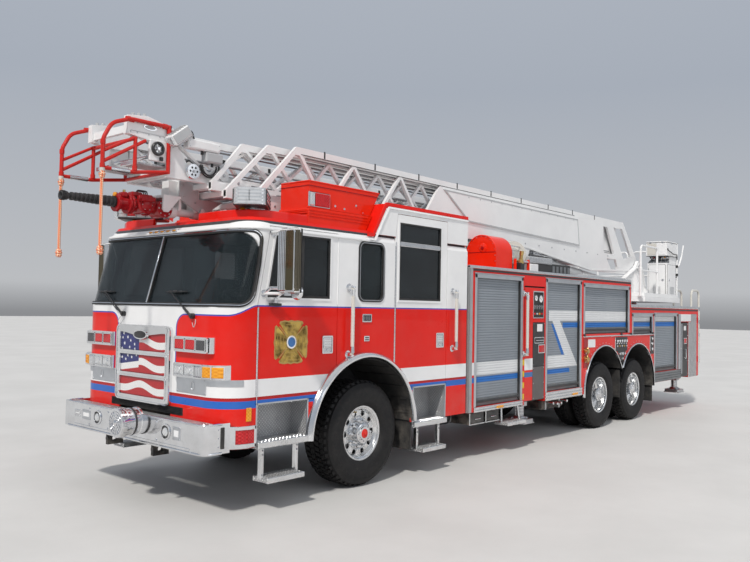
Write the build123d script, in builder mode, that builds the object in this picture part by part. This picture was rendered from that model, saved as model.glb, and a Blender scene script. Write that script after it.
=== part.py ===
from build123d import *
import os
from math import sin, cos, tan, atan2, radians, degrees, hypot, sqrt

# Rear-mount aerial ladder fire engine. Millimetres, +X forward, +Y left, +Z up.
# Every X below is counted from the front axle; X0 moves the front axle so that
# the origin is under the middle of the whole machine, on the ground.
X0 = 3926.0

# ---- driving dimensions ------------------------------------------------
HALF = 1270.0            # half of the body width
WALL = 52.0              # cab wall and door thickness
FLOOR = 1060.0           # top of the cab floor
ROOF = 2730.0            # top of the low roof
HIGH_ROOF = 3050.0       # top of the raised roof
NOTCH = 668.0            # half width of the ladder notch in the raised roof
CAB_REAR = -1800.0
CAB_FRONT = 1915.0
CORNER = 300.0           # plan radius of the cab's front corners
GAP = 6.0                # gap round a door

FRONT_R, FRONT_W = 563.0, 420.0      # front tyre radius and width
REAR_R, REAR_W = 542.0, 290.0        # rear tyre radius and width
RIM_R = 286.0                        # bead radius
AXLE_2, AXLE_3 = -5804.0, -7174.0    # rear axles
FRONT_Y = 1010.0                     # front tyre centre
OUTER_Y, INNER_Y = 1073.0, 730.0     # twin tyre centres
KINGPIN_Y = 800.0

ARCH_X, ARCH_Z, ARCH_R = 78.0, 583.0, 800.0   # front wheel well
REAR_ARCH_Z, REAR_ARCH_R = 612.0, 740.0

BODY_FRONT, BODY_STEP, BODY_REAR = -1860.0, -6850.0, -10330.0
BODY_BOTTOM, BODY_HIGH, BODY_LOW = 610.0, 2450.0, 2030.0
RAIL_IN, RAIL_OUT = 362.0, 432.0     # chassis rail, inner and outer side
RAIL_Z0, RAIL_Z1 = 690.0, 940.0      # chassis rail, bottom and top

TURN_X = -8600.0                     # slewing centre
DECK = 2200.0                        # top of the turntable platform
HEEL_X, HEEL_Z = -8620.0, 2800.0     # ladder heel pin
CYL_X, CYL_Z = -7850.0, 2445.0       # lift cylinder's lower pin
EYE_X, EYE_Z = -4300.0, 2800.0       # lift rod's eye
CYL_Y = 455.0
TUBE_Z = 2845.0                      # waterway centre
MON_X = 1800.0                       # monitor swivel

os.makedirs("parts", exist_ok=True)


# ---- helpers -----------------------------------------------------------
def side(y):
    return Plane(origin=(X0, y, 0), x_dir=(1, 0, 0), z_dir=(0, -1, 0))


def top(z):
    return Plane(origin=(X0, 0, z), x_dir=(1, 0, 0), z_dir=(0, 0, 1))


def face_x(x):
    return Plane(origin=(X0 + x, 0, 0), x_dir=(0, 1, 0), z_dir=(1, 0, 0))


def block(x0, x1, y0, y1, z0, z1, mode=Mode.ADD, r=0.0):
    """Upright block between two corners, its vertical edges rounded by r."""
    with BuildSketch(top(min(z0, z1))) as sk:
        with Locations(((x0 + x1) / 2, (y0 + y1) / 2)):
            if r:
                RectangleRounded(abs(x1 - x0), abs(y1 - y0), r)
            else:
                Rectangle(abs(x1 - x0), abs(y1 - y0))
    extrude(sk.sketch, amount=abs(z1 - z0), mode=mode)


def slab(points, y0, y1, mode=Mode.ADD):
    """Side profile (x, z) spread from y0 to y1."""
    with BuildSketch(side(max(y0, y1))) as sk:
        with BuildLine():
            Polyline(*points, close=True)
        make_face()
    extrude(sk.sketch, amount=abs(y1 - y0), mode=mode)


def disc(x, z, r, y0, y1, mode=Mode.ADD):
    """Cylinder across the machine."""
    with BuildSketch(side(max(y0, y1))) as sk:
        with Locations((x, z)):
            Circle(r)
    extrude(sk.sketch, amount=abs(y1 - y0), mode=mode)


def rod(a, b, r, ri=0.0, mode=Mode.ADD):
    """Round bar or tube from a to b, both (x, y, z)."""
    va, vb = Vector(X0 + a[0], a[1], a[2]), Vector(X0 + b[0], b[1], b[2])
    with BuildSketch(Plane(origin=va, z_dir=(vb - va))) as sk:
        Circle(r)
        if ri:
            Circle(ri, mode=Mode.SUBTRACT)
    extrude(sk.sketch, amount=(vb - va).length, mode=mode)


def pipe(points, r, bend):
    """Bent rail: straight runs with tangent bends."""
    pts = [Vector(X0 + p[0], p[1], p[2]) for p in points]
    with BuildLine() as path:
        FilletPolyline(*pts, radius=bend)
    with BuildSketch(Plane(origin=pts[0], z_dir=(pts[1] - pts[0]))) as sk:
        Circle(r)
    sweep(sk.sketch, path=path.line)


def keep(builder, name):
    builder.part.label = name
    export_step(builder.part, "parts/" + name + ".step")
    print(name, len(builder.part.solids()), round(builder.part.volume / 1e6, 1))


# ---- cab ---------------------------------------------------------------
def plan(z, xf, half, r, rear):
    """Plan section of the cab: square at the rear, rounded at the front."""
    with BuildSketch(top(z)) as sk:
        with BuildLine():
            Line((rear, -half), (xf - r, -half))
            RadiusArc((xf - r, -half), (xf, -half + r), -r)
            Line((xf, -half + r), (xf, half - r))
            RadiusArc((xf, half - r), (xf - r, half), -r)
            Line((xf - r, half), (rear, half))
            Line((rear, half), (rear, -half))
        make_face()
    return sk.sketch


# height, front face, half width, corner radius of the cab's levels
CAB_LEVELS = [
    (620.0, CAB_FRONT, HALF, CORNER),
    (1900.0, CAB_FRONT, HALF, CORNER),
    (2620.0, 1722.0, HALF, CORNER - 30),
    (ROOF, 1640.0, 1225.0, CORNER - 60),
]


def cab_block(inset, z_low, z_high_cut, mode=Mode.ADD):
    """The cab's outer form, moved in by inset, from z_low to the low roof."""
    rear = CAB_REAR + inset
    lv = [(z, xf - inset, h - inset, r - inset) for z, xf, h, r in CAB_LEVELS]
    lv[-1] = (ROOF - inset,) + lv[-1][1:]
    lv[-2] = (lv[-2][0] - inset * 0.6,) + lv[-2][1:]
    base = plan(z_low, lv[0][1], lv[0][2], lv[0][3], rear)
    extrude(base, amount=lv[1][0] - z_low, mode=mode)
    for lo, hi in zip(lv[1:-1], lv[2:]):
        loft([plan(*lo, rear), plan(*hi, rear)], ruled=True, mode=mode)


# opening outlines in side view (x, z)
FRONT_DOOR = [(1570, 1005), (1570, 1900), (1428, 2655), (515, 2655), (515, 1005)]
REAR_DOOR = [(-385, 1005), (-385, 2655), (-425, 2960), (-1375, 2960), (-1375, 1005)]
FRONT_GLASS = [(1452, 1990), (1352, 2590), (640, 2590), (640, 1990)]
REAR_GLASS = [(-465, 2000), (-465, 2860), (-1235, 2860), (-1235, 2000)]
# side view of the windscreen, which runs round both front corners
WINDSCREEN = [(2100, 1905), (1632, 1905), (1556, 2290), (1524, 2594), (2100, 2594)]
MID_WINDOW = (-180.0, 190.0, 1990.0, 2585.0)
DOOR_ARCH = 842.0


def inset_points(points, d):
    """Shrinks a convex outline towards its middle by about d on each side."""
    xs, zs = [p[0] for p in points], [p[1] for p in points]
    cx, cz = (min(xs) + max(xs)) / 2, (min(zs) + max(zs)) / 2
    return [(x + (d if x < cx else -d), z + (d if z < cz else -d)) for x, z in points]


def windscreen_cut(inset, mode):
    """Takes the windscreen's opening through the whole front, with rounded rear corners."""
    with BuildSketch(side(HALF + 20)) as cut:
        with BuildLine():
            Polyline(*[(x + inset, z + (inset if z < 2000 else -inset if z > 2500 else 0)) for x, z in WINDSCREEN], close=True)
        make_face()
        fillet(cut.vertices().filter_by(lambda v: v.X < X0 + 1900 and v.Z < 1950), 200 - inset)
        fillet(cut.vertices().filter_by(lambda v: v.X < X0 + 1900 and v.Z > 2500), 80 - inset)
    extrude(cut.sketch, amount=2 * HALF + 40, mode=mode)


with BuildPart() as cab_shell:
    cab_block(0.0, 620.0, ROOF)
    for s in (1, -1):
        slab([(-10, ROOF - 30), (-215, HIGH_ROOF), (CAB_REAR, HIGH_ROOF), (CAB_REAR, ROOF - 30)],
             s * NOTCH, s * HALF)
    cab_block(WALL, FLOOR, ROOF, mode=Mode.SUBTRACT)
    for s in (1, -1):
        slab([(-150, ROOF - 120), (-300, HIGH_ROOF - 50), (CAB_REAR + WALL, HIGH_ROOF - 50), (CAB_REAR + WALL, ROOF - 120)],
             s * (NOTCH + 50), s * (HALF - WALL), mode=Mode.SUBTRACT)
    # space under the floor, between the side sills
    block(CAB_REAR - 5, 1850, -980, 980, 615, FLOOR - 50, mode=Mode.SUBTRACT)
    # wheel housings
    for s in (1, -1):
        block(-760, 905, s * 520, s * (HALF - WALL + 1), FLOOR - 50, 1412)
        disc(ARCH_X, ARCH_Z, ARCH_R, s * 560, s * (HALF + 20), mode=Mode.SUBTRACT)
    # engine hatch in the floor
    block(-860, 1210, -450, 450, FLOOR - 60, FLOOR + 10, mode=Mode.SUBTRACT)
    # doors, side windows, windscreen
    for s in (1, -1):
        for outline in (FRONT_DOOR, REAR_DOOR):
            with BuildSketch(side(HALF + 20 if s > 0 else -(HALF - WALL - 5))) as cut:
                with BuildLine():
                    Polyline(*outline, close=True)
                make_face()
                with Locations((ARCH_X, ARCH_Z)):
                    Circle(DOOR_ARCH, mode=Mode.SUBTRACT)
            extrude(cut.sketch, amount=WALL + 25, mode=Mode.SUBTRACT)
        x0, x1, z0, z1 = MID_WINDOW
        with BuildSketch(side(HALF + 20 if s > 0 else -(HALF - WALL - 5))) as cut:
            with Locations(((x0 + x1) / 2, (z0 + z1) / 2)):
                RectangleRounded(x1 - x0, z1 - z0, 60)
        extrude(cut.sketch, amount=WALL + 25, mode=Mode.SUBTRACT)
    windscreen_cut(0.0, Mode.SUBTRACT)
    # step wells under the doors
    for s in (1, -1):
        block(905, 1555, s * 1030, s * (HALF + 5), 600, 1012, mode=Mode.SUBTRACT)
        block(-1370, -740, s * 1030, s * (HALF + 5), 600, 1012, mode=Mode.SUBTRACT)
    # way through the front skin for the chassis rails
    block(1840, 1945, -455, 455, 610, 946, mode=Mode.SUBTRACT)
    block(1820, 1870, -455, 455, 605, 946, mode=Mode.SUBTRACT)
    # engine cover between the seats
    slab([(-900, FLOOR - 10), (-900, 1560), (-760, 1740), (1000, 1740), (1250, 1500), (1250, FLOOR - 10)], -500, 500)
    slab([(-860, FLOOR - 60), (-860, 1545), (-745, 1700), (985, 1700), (1210, 1480), (1210, FLOOR - 60)], -460, 460,
         mode=Mode.SUBTRACT)
keep(cab_shell, "cab_shell")

with BuildPart() as cab_glass:
    lv = CAB_LEVELS
    rear = 1000.0
    loft([plan(1900, CAB_FRONT - 10, HALF - 10, CORNER - 10, rear),
          plan(2620, 1712, HALF - 10, CORNER - 40, rear)], ruled=True)
    loft([plan(1899, CAB_FRONT - 26, HALF - 26, CORNER - 26, rear - 10),
          plan(2621, 1696, HALF - 26, CORNER - 56, rear - 10)], ruled=True, mode=Mode.SUBTRACT)
    windscreen_cut(4.0, Mode.INTERSECT)
    x0, x1, z0, z1 = MID_WINDOW
    for s in (1, -1):
        with BuildSketch(side(HALF - 12 if s > 0 else -(HALF - 28))) as pane:
            with Locations(((x0 + x1) / 2, (z0 + z1) / 2)):
                RectangleRounded(x1 - x0 - 4, z1 - z0 - 4, 58)
        extrude(pane.sketch, amount=16)
keep(cab_glass, "cab_glass")

# ---- doors -------------------------------------------------------------
DOOR_OUT = HALF - 2
DOOR_IN = HALF - WALL - 2

# name, outline, window, side (+1 left)
DOORS = [
    ("front_left_door", FRONT_DOOR, FRONT_GLASS, 1),
    ("front_right_door", FRONT_DOOR, FRONT_GLASS, -1),
    ("rear_left_door", REAR_DOOR, REAR_GLASS, 1),
    ("rear_right_door", REAR_DOOR, REAR_GLASS, -1),
]
for name, outline, window, s in DOORS:
    y_plane = DOOR_OUT if s > 0 else -DOOR_IN
    with BuildPart() as door:
        with BuildSketch(side(y_plane)) as sk:
            with BuildLine():
                Polyline(*inset_points(outline, GAP), close=True)
            make_face()
            with Locations((ARCH_X, ARCH_Z)):
                Circle(DOOR_ARCH + GAP, mode=Mode.SUBTRACT)
            with BuildLine():
                Polyline(*window, close=True)
            make_face(mode=Mode.SUBTRACT)
        extrude(sk.sketch, amount=DOOR_OUT - DOOR_IN)
        if outline is FRONT_DOOR:
            # tall mirror on two arms at the front of the door
            for z in (2020, 2590):
                rod((1502 - (z - 2020) * 0.18, s * (DOOR_OUT - 20), z), (1475, s * 1492, z), 14)
            block(1420, 1500, s * 1465, s * 1690, 2030, 2600, r=30)
        else:
            block(-1235, -465, s * DOOR_IN, s * DOOR_OUT, 2600, 2650)
        # hinge barrel down the front edge
        hx, h0, h1 = (1562, 1100, 1890) if outline is FRONT_DOOR else (-393, 1310, 2600)
        rod((hx, s * (HALF + 2), h0), (hx, s * (HALF + 2), h1), 7)
    keep(door, name)
    with BuildPart() as glass:
        g = inset_points(window, 2)
        if outline is FRONT_DOOR:
            slab(g, s * (HALF - 14), s * (HALF - 24))
        else:
            xs = (g[2][0], g[0][0])
            slab([(xs[0], 2002), (xs[1], 2002), (xs[1], 2598), (xs[0], 2598)], s * (HALF - 14), s * (HALF - 24))
            slab([(xs[0], 2652), (xs[1], 2652), (xs[1], 2858), (xs[0], 2858)], s * (HALF - 14), s * (HALF - 24))
    keep(glass, name.replace("door", "door_glass"))

# ---- cab inside --------------------------------------------------------
with BuildPart() as dashboard:
    slab([(1470, 1500), (1470, 1780), (1640, 1870), (1850, 1870), (1850, 1500)], -950, 950)
    block(1500, 1850, -480, -950, 1250, 1510)
    rod((1480, 640, 1700), (1290, 640, 1880), 28)
    with BuildSketch(Plane(origin=(X0 + 1290, 640, 1880), z_dir=(-0.72, 0, 0.69))) as sk:
        Circle(225)
        Circle(198, mode=Mode.SUBTRACT)
        Rectangle(420, 34)
        Circle(55)
    extrude(sk.sketch, amount=24, both=True)
keep(dashboard, "dashboard")

# cushion centre x, centre y, facing (+1 forward), cushion top
SEATS = [
    (800, 830, 1, 1600), (800, -830, 1, 1600),
    (60, 830, -1, 1600), (60, -830, -1, 1600),
    (-1440, 880, 1, 1560), (-1440, 300, 1, 1560), (-1440, -300, 1, 1560), (-1440, -880, 1, 1560),
]
with BuildPart() as seats:
    for x, y, f, z in SEATS:
        lift = 1412 if abs(x) < 900 else FLOOR
        block(x - 235, x + 235, y - 225, y + 225, z - 130, z, r=40)
        slab([(x - f * 235, z - 130), (x - f * 120, z - 130), (x - f * 175, z + 720), (x - f * 290, z + 720)],
             y - 215, y + 215)
        block(x - 170, x + 170, y - 150, y + 150, lift, z - 130)
keep(seats, "seats")

with BuildPart() as engine:
    block(-420, 860, -330, 330, 720, 1610)
keep(engine, "engine")

# ---- front fittings ----------------------------------------------------
with BuildPart() as grille:
    # light housings that follow the cab's corners: y inner, y outer, z low, z high
    for y0, y1, z0, z1 in [(545, 1085, 1468, 1612), (550, 1205, 1236, 1368)]:
        for s in (1, -1):
            block(1700, CAB_FRONT + 40, s * y0, s * y1, z0, z1)
    extrude(plan(1200, CAB_FRONT + 40, HALF + 40, CORNER + 40, 1500), amount=450, mode=Mode.INTERSECT)
    cab_block(0.0, 620.0, ROOF, mode=Mode.SUBTRACT)
    # chrome frame proud of the cab's front with three open fields
    with BuildSketch(face_x(CAB_FRONT)) as sk:
        with Locations((0, 1320)):
            RectangleRounded(2 * 468, 742, 50)
    extrude(sk.sketch, amount=38)
    with BuildSketch(face_x(CAB_FRONT + 16)) as sk:
        for k in range(3):
            with Locations((0, 1090 + 222 * k)):
                RectangleRounded(2 * 410, 196, 22)
    extrude(sk.sketch, amount=30, mode=Mode.SUBTRACT)
keep(grille, "grille_and_headlights")

BUMP_X = 2092.0          # bumper's front face
with BuildPart() as front_bumper:
    with BuildSketch(top(600)) as sk:
        with BuildLine():
            Polyline((1812, 1225), (BUMP_X, 1225), (BUMP_X, -1225), (1812, -1225), (1812, -1205), (BUMP_X - 20, -1205),
                     (BUMP_X - 20, 1205), (1812, 1205), close=True)
        make_face()
        fillet(sk.vertices().filter_by(lambda v: v.X > X0 + BUMP_X - 5), 200)
        fillet(sk.vertices().filter_by(lambda v: X0 + BUMP_X - 25 < v.X < X0 + BUMP_X - 15), 180)
    extrude(sk.sketch, amount=262)
    with BuildSketch(top(838)) as sk:
        with BuildLine():
            Polyline((CAB_FRONT + 8, 1215), (BUMP_X - 10, 1215), (BUMP_X - 10, -1215), (CAB_FRONT + 8, -1215), close=True)
        make_face()
        fillet(sk.vertices().filter_by(lambda v: v.X > X0 + BUMP_X - 15), 140)
    extrude(sk.sketch, amount=8)
    # siren drum on the bumper's left half
    rod((BUMP_X - 12, 155, 790), (2290, 155, 790), 122)
    rod((2240, 155, 790), (2306, 155, 790), 136)
    # cut clear of the cab
    cab_block(-3.0, 560.0, ROOF, mode=Mode.SUBTRACT)
keep(front_bumper, "front_bumper")

with BuildPart() as roof_boxes:
    for s in (1, -1):
        slab([(800, 2900), (800, 3180), (-281, 3180), (-118, 2900)], s * 690, s * 1110)
        slab([(845, ROOF + 1), (845, 2800), (820, 2905), (-118, 2905), (-56, 2800), (-18, ROOF + 1)], s * 690, s * 1150)
keep(roof_boxes, "roof_boxes")

with BuildPart() as lightbars:
    # bars set across the front corners of the roof, on a foot each
    for s in (1, -1):
        block(1290, 1470, s * 820, s * 1040, ROOF, 2850, r=30)
        with BuildSketch(top(2845)) as sk:
            with Locations((1390, s * 945)):
                RectangleRounded(300, 610, 60, rotation=-45.0 * s)
        extrude(sk.sketch, amount=155)
keep(lightbars, "lightbars")

with BuildPart() as cab_steps:
    for s in (1, -1):
        block(908, 1552, s * 1033, s * 1300, 602, 658)
        block(-1367, -743, s * 1033, s * 1300, 555, 611)
        # hanging steps: rear x, front x, frame top, tread bottom
        for xr, xf, zt, zb in [(1010, 1440, 602, 285), (-1290, -880, 555, 265)]:
            for x in (xr, xf):
                slab([(x - 14, zt), (x + 14, zt), (x + 14, zb), (x - 14, zb)], s * 1195, s * 1235)
            block(xr - 14, xf + 14, s * 1130, s * 1330, zb, zb + 42)
keep(cab_steps, "cab_steps")

# ---- chassis -----------------------------------------------------------
TOW_Z = 550.0            # tow eye centre
CROSS = [1960, -1500, -2700, -4600, -6490, -8000, -9800]   # crossmembers
with BuildPart() as chassis:
    for s in (1, -1):
        block(-10200, 1835, s * RAIL_IN, s * RAIL_OUT, RAIL_Z0, RAIL_Z1)
        block(1830, BUMP_X - 26, s * RAIL_IN, s * RAIL_OUT, RAIL_Z0, 828)
        # bumper brackets and front and rear tow plates
        block(BUMP_X - 60, BUMP_X - 20, s * 340, s * 460, 640, 828)
        for x0, x1, hx in [(1900, BUMP_X - 24, 1990), (-10320, -10130, -10230)]:
            slab([(x0, 490), (x1, 490), (x1, 705), (x0, 705)], s * 385, s * 425)
            disc(hx, TOW_Z, 30, s * 380, s * 430, mode=Mode.SUBTRACT)
    for x in CROSS:
        block(x - 60, x + 60, -RAIL_IN - 5, RAIL_IN + 5, 828 if x < 1900 else 700, 930 if x < 1900 else 820)
keep(chassis, "chassis_frame")

with BuildPart() as front_axle:
    slab([(-60, 470), (60, 470), (60, 590), (-60, 590)], -640, 640)
    for s in (1, -1):
        # kingpin eye
        block(-36, 36, s * 630, s * KINGPIN_Y, 502, 598)
        with BuildSketch(top(502)) as sk:
            with Locations((0, s * KINGPIN_Y)):
                Circle(44)
        extrude(sk.sketch, amount=96)
        with BuildSketch(top(500)) as sk:
            with Locations((0, s * KINGPIN_Y)):
                Circle(22.06)
        extrude(sk.sketch, amount=100, mode=Mode.SUBTRACT)
        # leaf spring pack up to the rail
        slab([(-780, 655), (-400, 600), (0, 575), (400, 600), (780, 655), (780, 688), (400, 652), (0, 640), (-400, 652), (-780, 688)],
             s * (RAIL_IN + 2), s * (RAIL_OUT - 2))
keep(front_axle, "front_axle")

with BuildPart() as drive_axles:
    for x in (AXLE_2, AXLE_3):
        rod((x, -900, REAR_R), (x, 900, REAR_R), 88)
        rod((x - 150, 0, REAR_R), (x + 330, 0, REAR_R), 175)
    for s in (1, -1):
        slab([(AXLE_2 + 160, 560), (AXLE_2 + 160, 640), (-6490, 688), (AXLE_3 - 160, 640), (AXLE_3 - 160, 560), (-6490, 600)],
             s * (RAIL_IN + 2), s * (RAIL_OUT - 2))
    # drive shaft forward to the gearbox
    rod((AXLE_2 + 300, 0, 570), (-1250, 0, 765), 52)
    rod((AXLE_3 + 300, 0, REAR_R), (AXLE_2 - 100, 0, REAR_R), 45)
    block(-1300, -600, -210, 210, 700, 1010)
keep(drive_axles, "drive_axles")

# ---- wheels ------------------------------------------------------------
def tyre_ring(x, y, r, w, zc):
    h = w / 2
    with BuildSketch(Plane(origin=(X0 + x, y, zc), x_dir=(0, 1, 0), z_dir=(1, 0, 0))) as sk:
        with BuildLine():
            Polyline((-h * 0.66, RIM_R + 1), (-h * 0.98, RIM_R + 70), (-h, RIM_R + 130), (-h * 0.93, r - 55), (-h * 0.80, r - 12),
                     (-h * 0.62, r), (h * 0.62, r), (h * 0.80, r - 12), (h * 0.93, r - 55), (h, RIM_R + 130),
                     (h * 0.98, RIM_R + 70), (h * 0.66, RIM_R + 1), close=True)
        make_face()
    revolve(sk.sketch, axis=Axis((X0 + x, 0, zc), (0, 1, 0)))


def rim_shape(x, y, s, w, zc, dish, hub):
    """Drum with flanges, and a disc at dish (towards the outside)."""
    h = w / 2
    with BuildSketch(Plane(origin=(X0 + x, y, zc), x_dir=(0, s, 0), z_dir=(s, 0, 0))) as sk:
        with BuildLine():
            Polyline((-h * 0.66, RIM_R), (-h * 0.66, RIM_R - 16), (h * 0.66, RIM_R - 16), (h * 0.66, RIM_R), close=True)
        make_face()
        with BuildLine():
            Polyline((dish, 0), (dish, RIM_R - 10), (dish - 22, RIM_R - 10), (dish - 22, 0), close=True)
        make_face()
        with BuildLine():
            Polyline((dish - 10, 0), (dish - 10, 110), (hub - 12, 96), (hub, 70), (hub, 0), close=True)
        make_face()
        if hub > 150:
            # bearing hub round the stub axle
            with BuildLine():
                Polyline((dish - 195, 64), (dish - 195, 100), (dish - 15, 100), (dish - 15, 64), close=True)
            make_face()
    revolve(sk.sketch, axis=Axis((X0 + x, 0, zc), (0, 1, 0)))
    # ten hand holes in the disc
    with BuildSketch(side(y + s * (dish + 5) if s > 0 else y + s * (dish - 30))) as sk:
        with Locations((x, zc)):
            with PolarLocations(212, 10):
                Circle(30)
    extrude(sk.sketch, amount=35, mode=Mode.SUBTRACT)


for label, s in (("left", 1), ("right", -1)):
    with BuildPart() as part:
        tyre_ring(0, s * FRONT_Y, FRONT_R, FRONT_W, FRONT_R)
    keep(part, "front_" + label + "_tyre")
    with BuildPart() as part:
        rim_shape(0, s * FRONT_Y, s, FRONT_W, FRONT_R, 105, 178)
    keep(part, "front_" + label + "_rim")
    # steering knuckle: fork round the axle end, kingpin axis and stub
    with BuildPart() as part:
        for z0, z1 in ((446, 492), (608, 656)):
            block(-52, 52, s * KINGPIN_Y, s * 885, z0, z1)
            with BuildSketch(top(z0)) as sk:
                with Locations((0, s * KINGPIN_Y)):
                    Circle(52)
            extrude(sk.sketch, amount=z1 - z0)
        block(-70, 70, s * 855, s * 885, 446, 656)
        with BuildSketch(top(446)) as sk:
            with Locations((0, s * KINGPIN_Y)):
                Circle(22)
        extrude(sk.sketch, amount=210)
        rod((0, s * 880, FRONT_R), (0, s * (FRONT_Y + 70), FRONT_R), 62)
        # steering arm
        block(-300, -20, s * 775, s * 825, 448, 488)
    keep(part, label + "_knuckle")
    for number, ax in (("2", AXLE_2), ("3", AXLE_3)):
        with BuildPart() as part:
            tyre_ring(ax, s * OUTER_Y, REAR_R, REAR_W, REAR_R)
            tyre_ring(ax, s * INNER_Y, REAR_R, REAR_W, REAR_R)
        keep(part, "axle_" + number + "_" + label + "_tyres")
        with BuildPart() as part:
            rim_shape(ax, s * OUTER_Y, s, REAR_W, REAR_R, -60, 100)
            with BuildSketch(Plane(origin=(X0 + ax, s * INNER_Y, REAR_R), x_dir=(0, s, 0), z_dir=(s, 0, 0))) as sk:
                with BuildLine():
                    Polyline((-95, RIM_R), (-95, RIM_R - 16), (290, RIM_R - 16), (290, RIM_R - 1), (95, RIM_R - 1), (95, RIM_R), close=True)
                make_face()
                with BuildLine():
                    Polyline((-120, 105), (-120, 165), (180, 165), (262, 120), (262, 105), close=True)
                make_face()
            revolve(sk.sketch, axis=Axis((X0 + ax, 0, REAR_R), (0, 1, 0)))
        keep(part, "axle_" + number + "_" + label + "_rims")

# ---- body --------------------------------------------------------------
# rear x, front x, low z, high z of the shutter openings on each side
SHUTTERS = [
    (-3160, -1980, 670, 2360),
    (-4950, -3820, 730, 2370),
    (-6790, -5030, 1550, 2340),
    (-7880, -6920, 1520, 1880),
    (-9130, -7930, 800, 1890),
]
# stabilizer bays: name, beam x for left and right, bay rear x, bay front x, top z
BAYS = [
    ("front", -3385, -3615, -3790, -3210, 2250),
    ("rear", -9430, -9630, -9746, -9314, 1730),
]
BEAM_Z0, BEAM_Z1 = 1030.0, 1210.0
STROKE = 1450.0

with BuildPart() as body:
    slab([(BODY_FRONT, BODY_BOTTOM), (BODY_FRONT, BODY_HIGH), (BODY_STEP, BODY_HIGH), (BODY_STEP, BODY_LOW),
          (BODY_REAR, BODY_LOW), (BODY_REAR, BODY_BOTTOM)], -HALF, HALF)
    block(BODY_REAR - 5, BODY_FRONT + 5, -620, 620, 605, 1010, mode=Mode.SUBTRACT)
    for s in (1, -1):
        for ax in (AXLE_2, AXLE_3):
            disc(ax, REAR_ARCH_Z, REAR_ARCH_R, s * 560, s * (HALF + 5), mode=Mode.SUBTRACT)
        block(AXLE_3, AXLE_2, s * 560, s * (HALF + 5), 605, 1085, mode=Mode.SUBTRACT)
        for x0, x1, z0, z1 in SHUTTERS:
            block(x0, x1, s * (HALF - 70), s * (HALF + 5), z0, z1, mode=Mode.SUBTRACT)
    for label, xl, xr, b0, b1, zt in BAYS:
        for s in (1, -1):
            block(b0, b1, s * 930, s * (HALF + 5), 600, zt, mode=Mode.SUBTRACT)
        block(xr - 106, xl + 106, -HALF, HALF, BEAM_Z0 - 12, BEAM_Z1 + 12, mode=Mode.SUBTRACT)
    # rear face: centre opening for ground ladders, and the rear step
    block(BODY_REAR - 5, BODY_REAR + 60, -560, 560, 1080, 1900, mode=Mode.SUBTRACT)
    block(BODY_REAR - 200, BODY_REAR + 1, -1120, 700, 640, 690)
    # slewing ring pedestal on the low deck
    rod((TURN_X, 0, BODY_LOW - 5), (TURN_X, 0, 2096), 620)
    # ladder rest behind the cab
    for s in (1, -1):
        block(-2130, -2010, s * 500, s * 640, BODY_HIGH - 5, 2760)
    block(-2130, -2010, -640, 640, 2640, 2760)
    for s in (1, -1):
        block(-2130, -2010, s * 530, s * 640, 2755, 2893)
keep(body, "body")

with BuildPart() as shutters:
    for s in (1, -1):
        for x0, x1, z0, z1 in SHUTTERS:
            block(x0 + 4, x1 - 4, s * (HALF - 66), s * (HALF - 40), z0 + 4, z1 - 4)
keep(shutters, "roller_shutters")

with BuildPart() as hose_reel:
    # round topped reel case standing on the front of the body
    with BuildSketch(face_x(-3150)) as sk:
        with Locations((862, 2575)):
            Rectangle(480, 246)
        with Locations((862, 2698)):
            Circle(240)
    extrude(sk.sketch, amount=420)
keep(hose_reel, "hose_reel")

RAIL_X = -10660.0        # rear climbing ladder
with BuildPart() as rails:
    R = 19.0
    # grab rails: x, z low, z high
    for s in (1, -1):
        for x, z0, z1 in [(355, 1420, 2110), (-1490, 1430, 2120), (-3190, 1300, 2140)]:
            pipe([(x, s * (HALF + 0.5), z0), (x, s * 1335, z0), (x, s * 1335, z1), (x, s * (HALF + 0.5), z1)], R, 30)
    # rear climbing ladder on the left and a rail arch over it
    for y in (820, 1180):
        pipe([(BODY_REAR - 1, y, 760), (RAIL_X, y, 760), (RAIL_X, y, 2385), (BODY_REAR + 130, y, 2385),
              (BODY_REAR + 130, y, BODY_LOW + 1)], 22, 110)
    for k in range(5):
        block(RAIL_X - 15, RAIL_X + 40, 820, 1180, 890 + 275 * k, 915 + 275 * k)
keep(rails, "grab_rails")

# ---- stabilizers -------------------------------------------------------
for label, xl, xr, b0, b1, zt in BAYS:
    for s, word, xc in ((1, "left", xl), (-1, "right", xr)):
        w = 85.0
        with BuildPart() as beam:
            block(xc - w, xc + w, s * -880, s * 1010, BEAM_Z0, BEAM_Z1)
            block(xc - w + 12, xc + w - 12, s * -890, s * 900, BEAM_Z0 + 12, BEAM_Z1 - 12, mode=Mode.SUBTRACT)
            # leg casing and its cover plate
            block(xc - 110, xc + 110, s * 1000, s * 1215, 660, zt - 40)
            block(xc - 83, xc + 83, s * 1025, s * 1190, 655, zt - 70, mode=Mode.SUBTRACT)
            block(b0 + 8, b1 - 8, s * 1214, s * (HALF - 2), 640, zt - 12)
        keep(beam, label + "_" + word + "_outrigger")
        with BuildPart() as jack:
            block(xc - 75, xc + 75, s * 1033, s * 1182, 560, zt - 260)
            rod((xc, s * 1107, 380), (xc, s * 1107, 570), 60)
            block(xc - 150, xc + 150, s * 960, s * 1255, 330, 385, r=40)
        keep(jack, label + "_" + word + "_jack")

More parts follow.
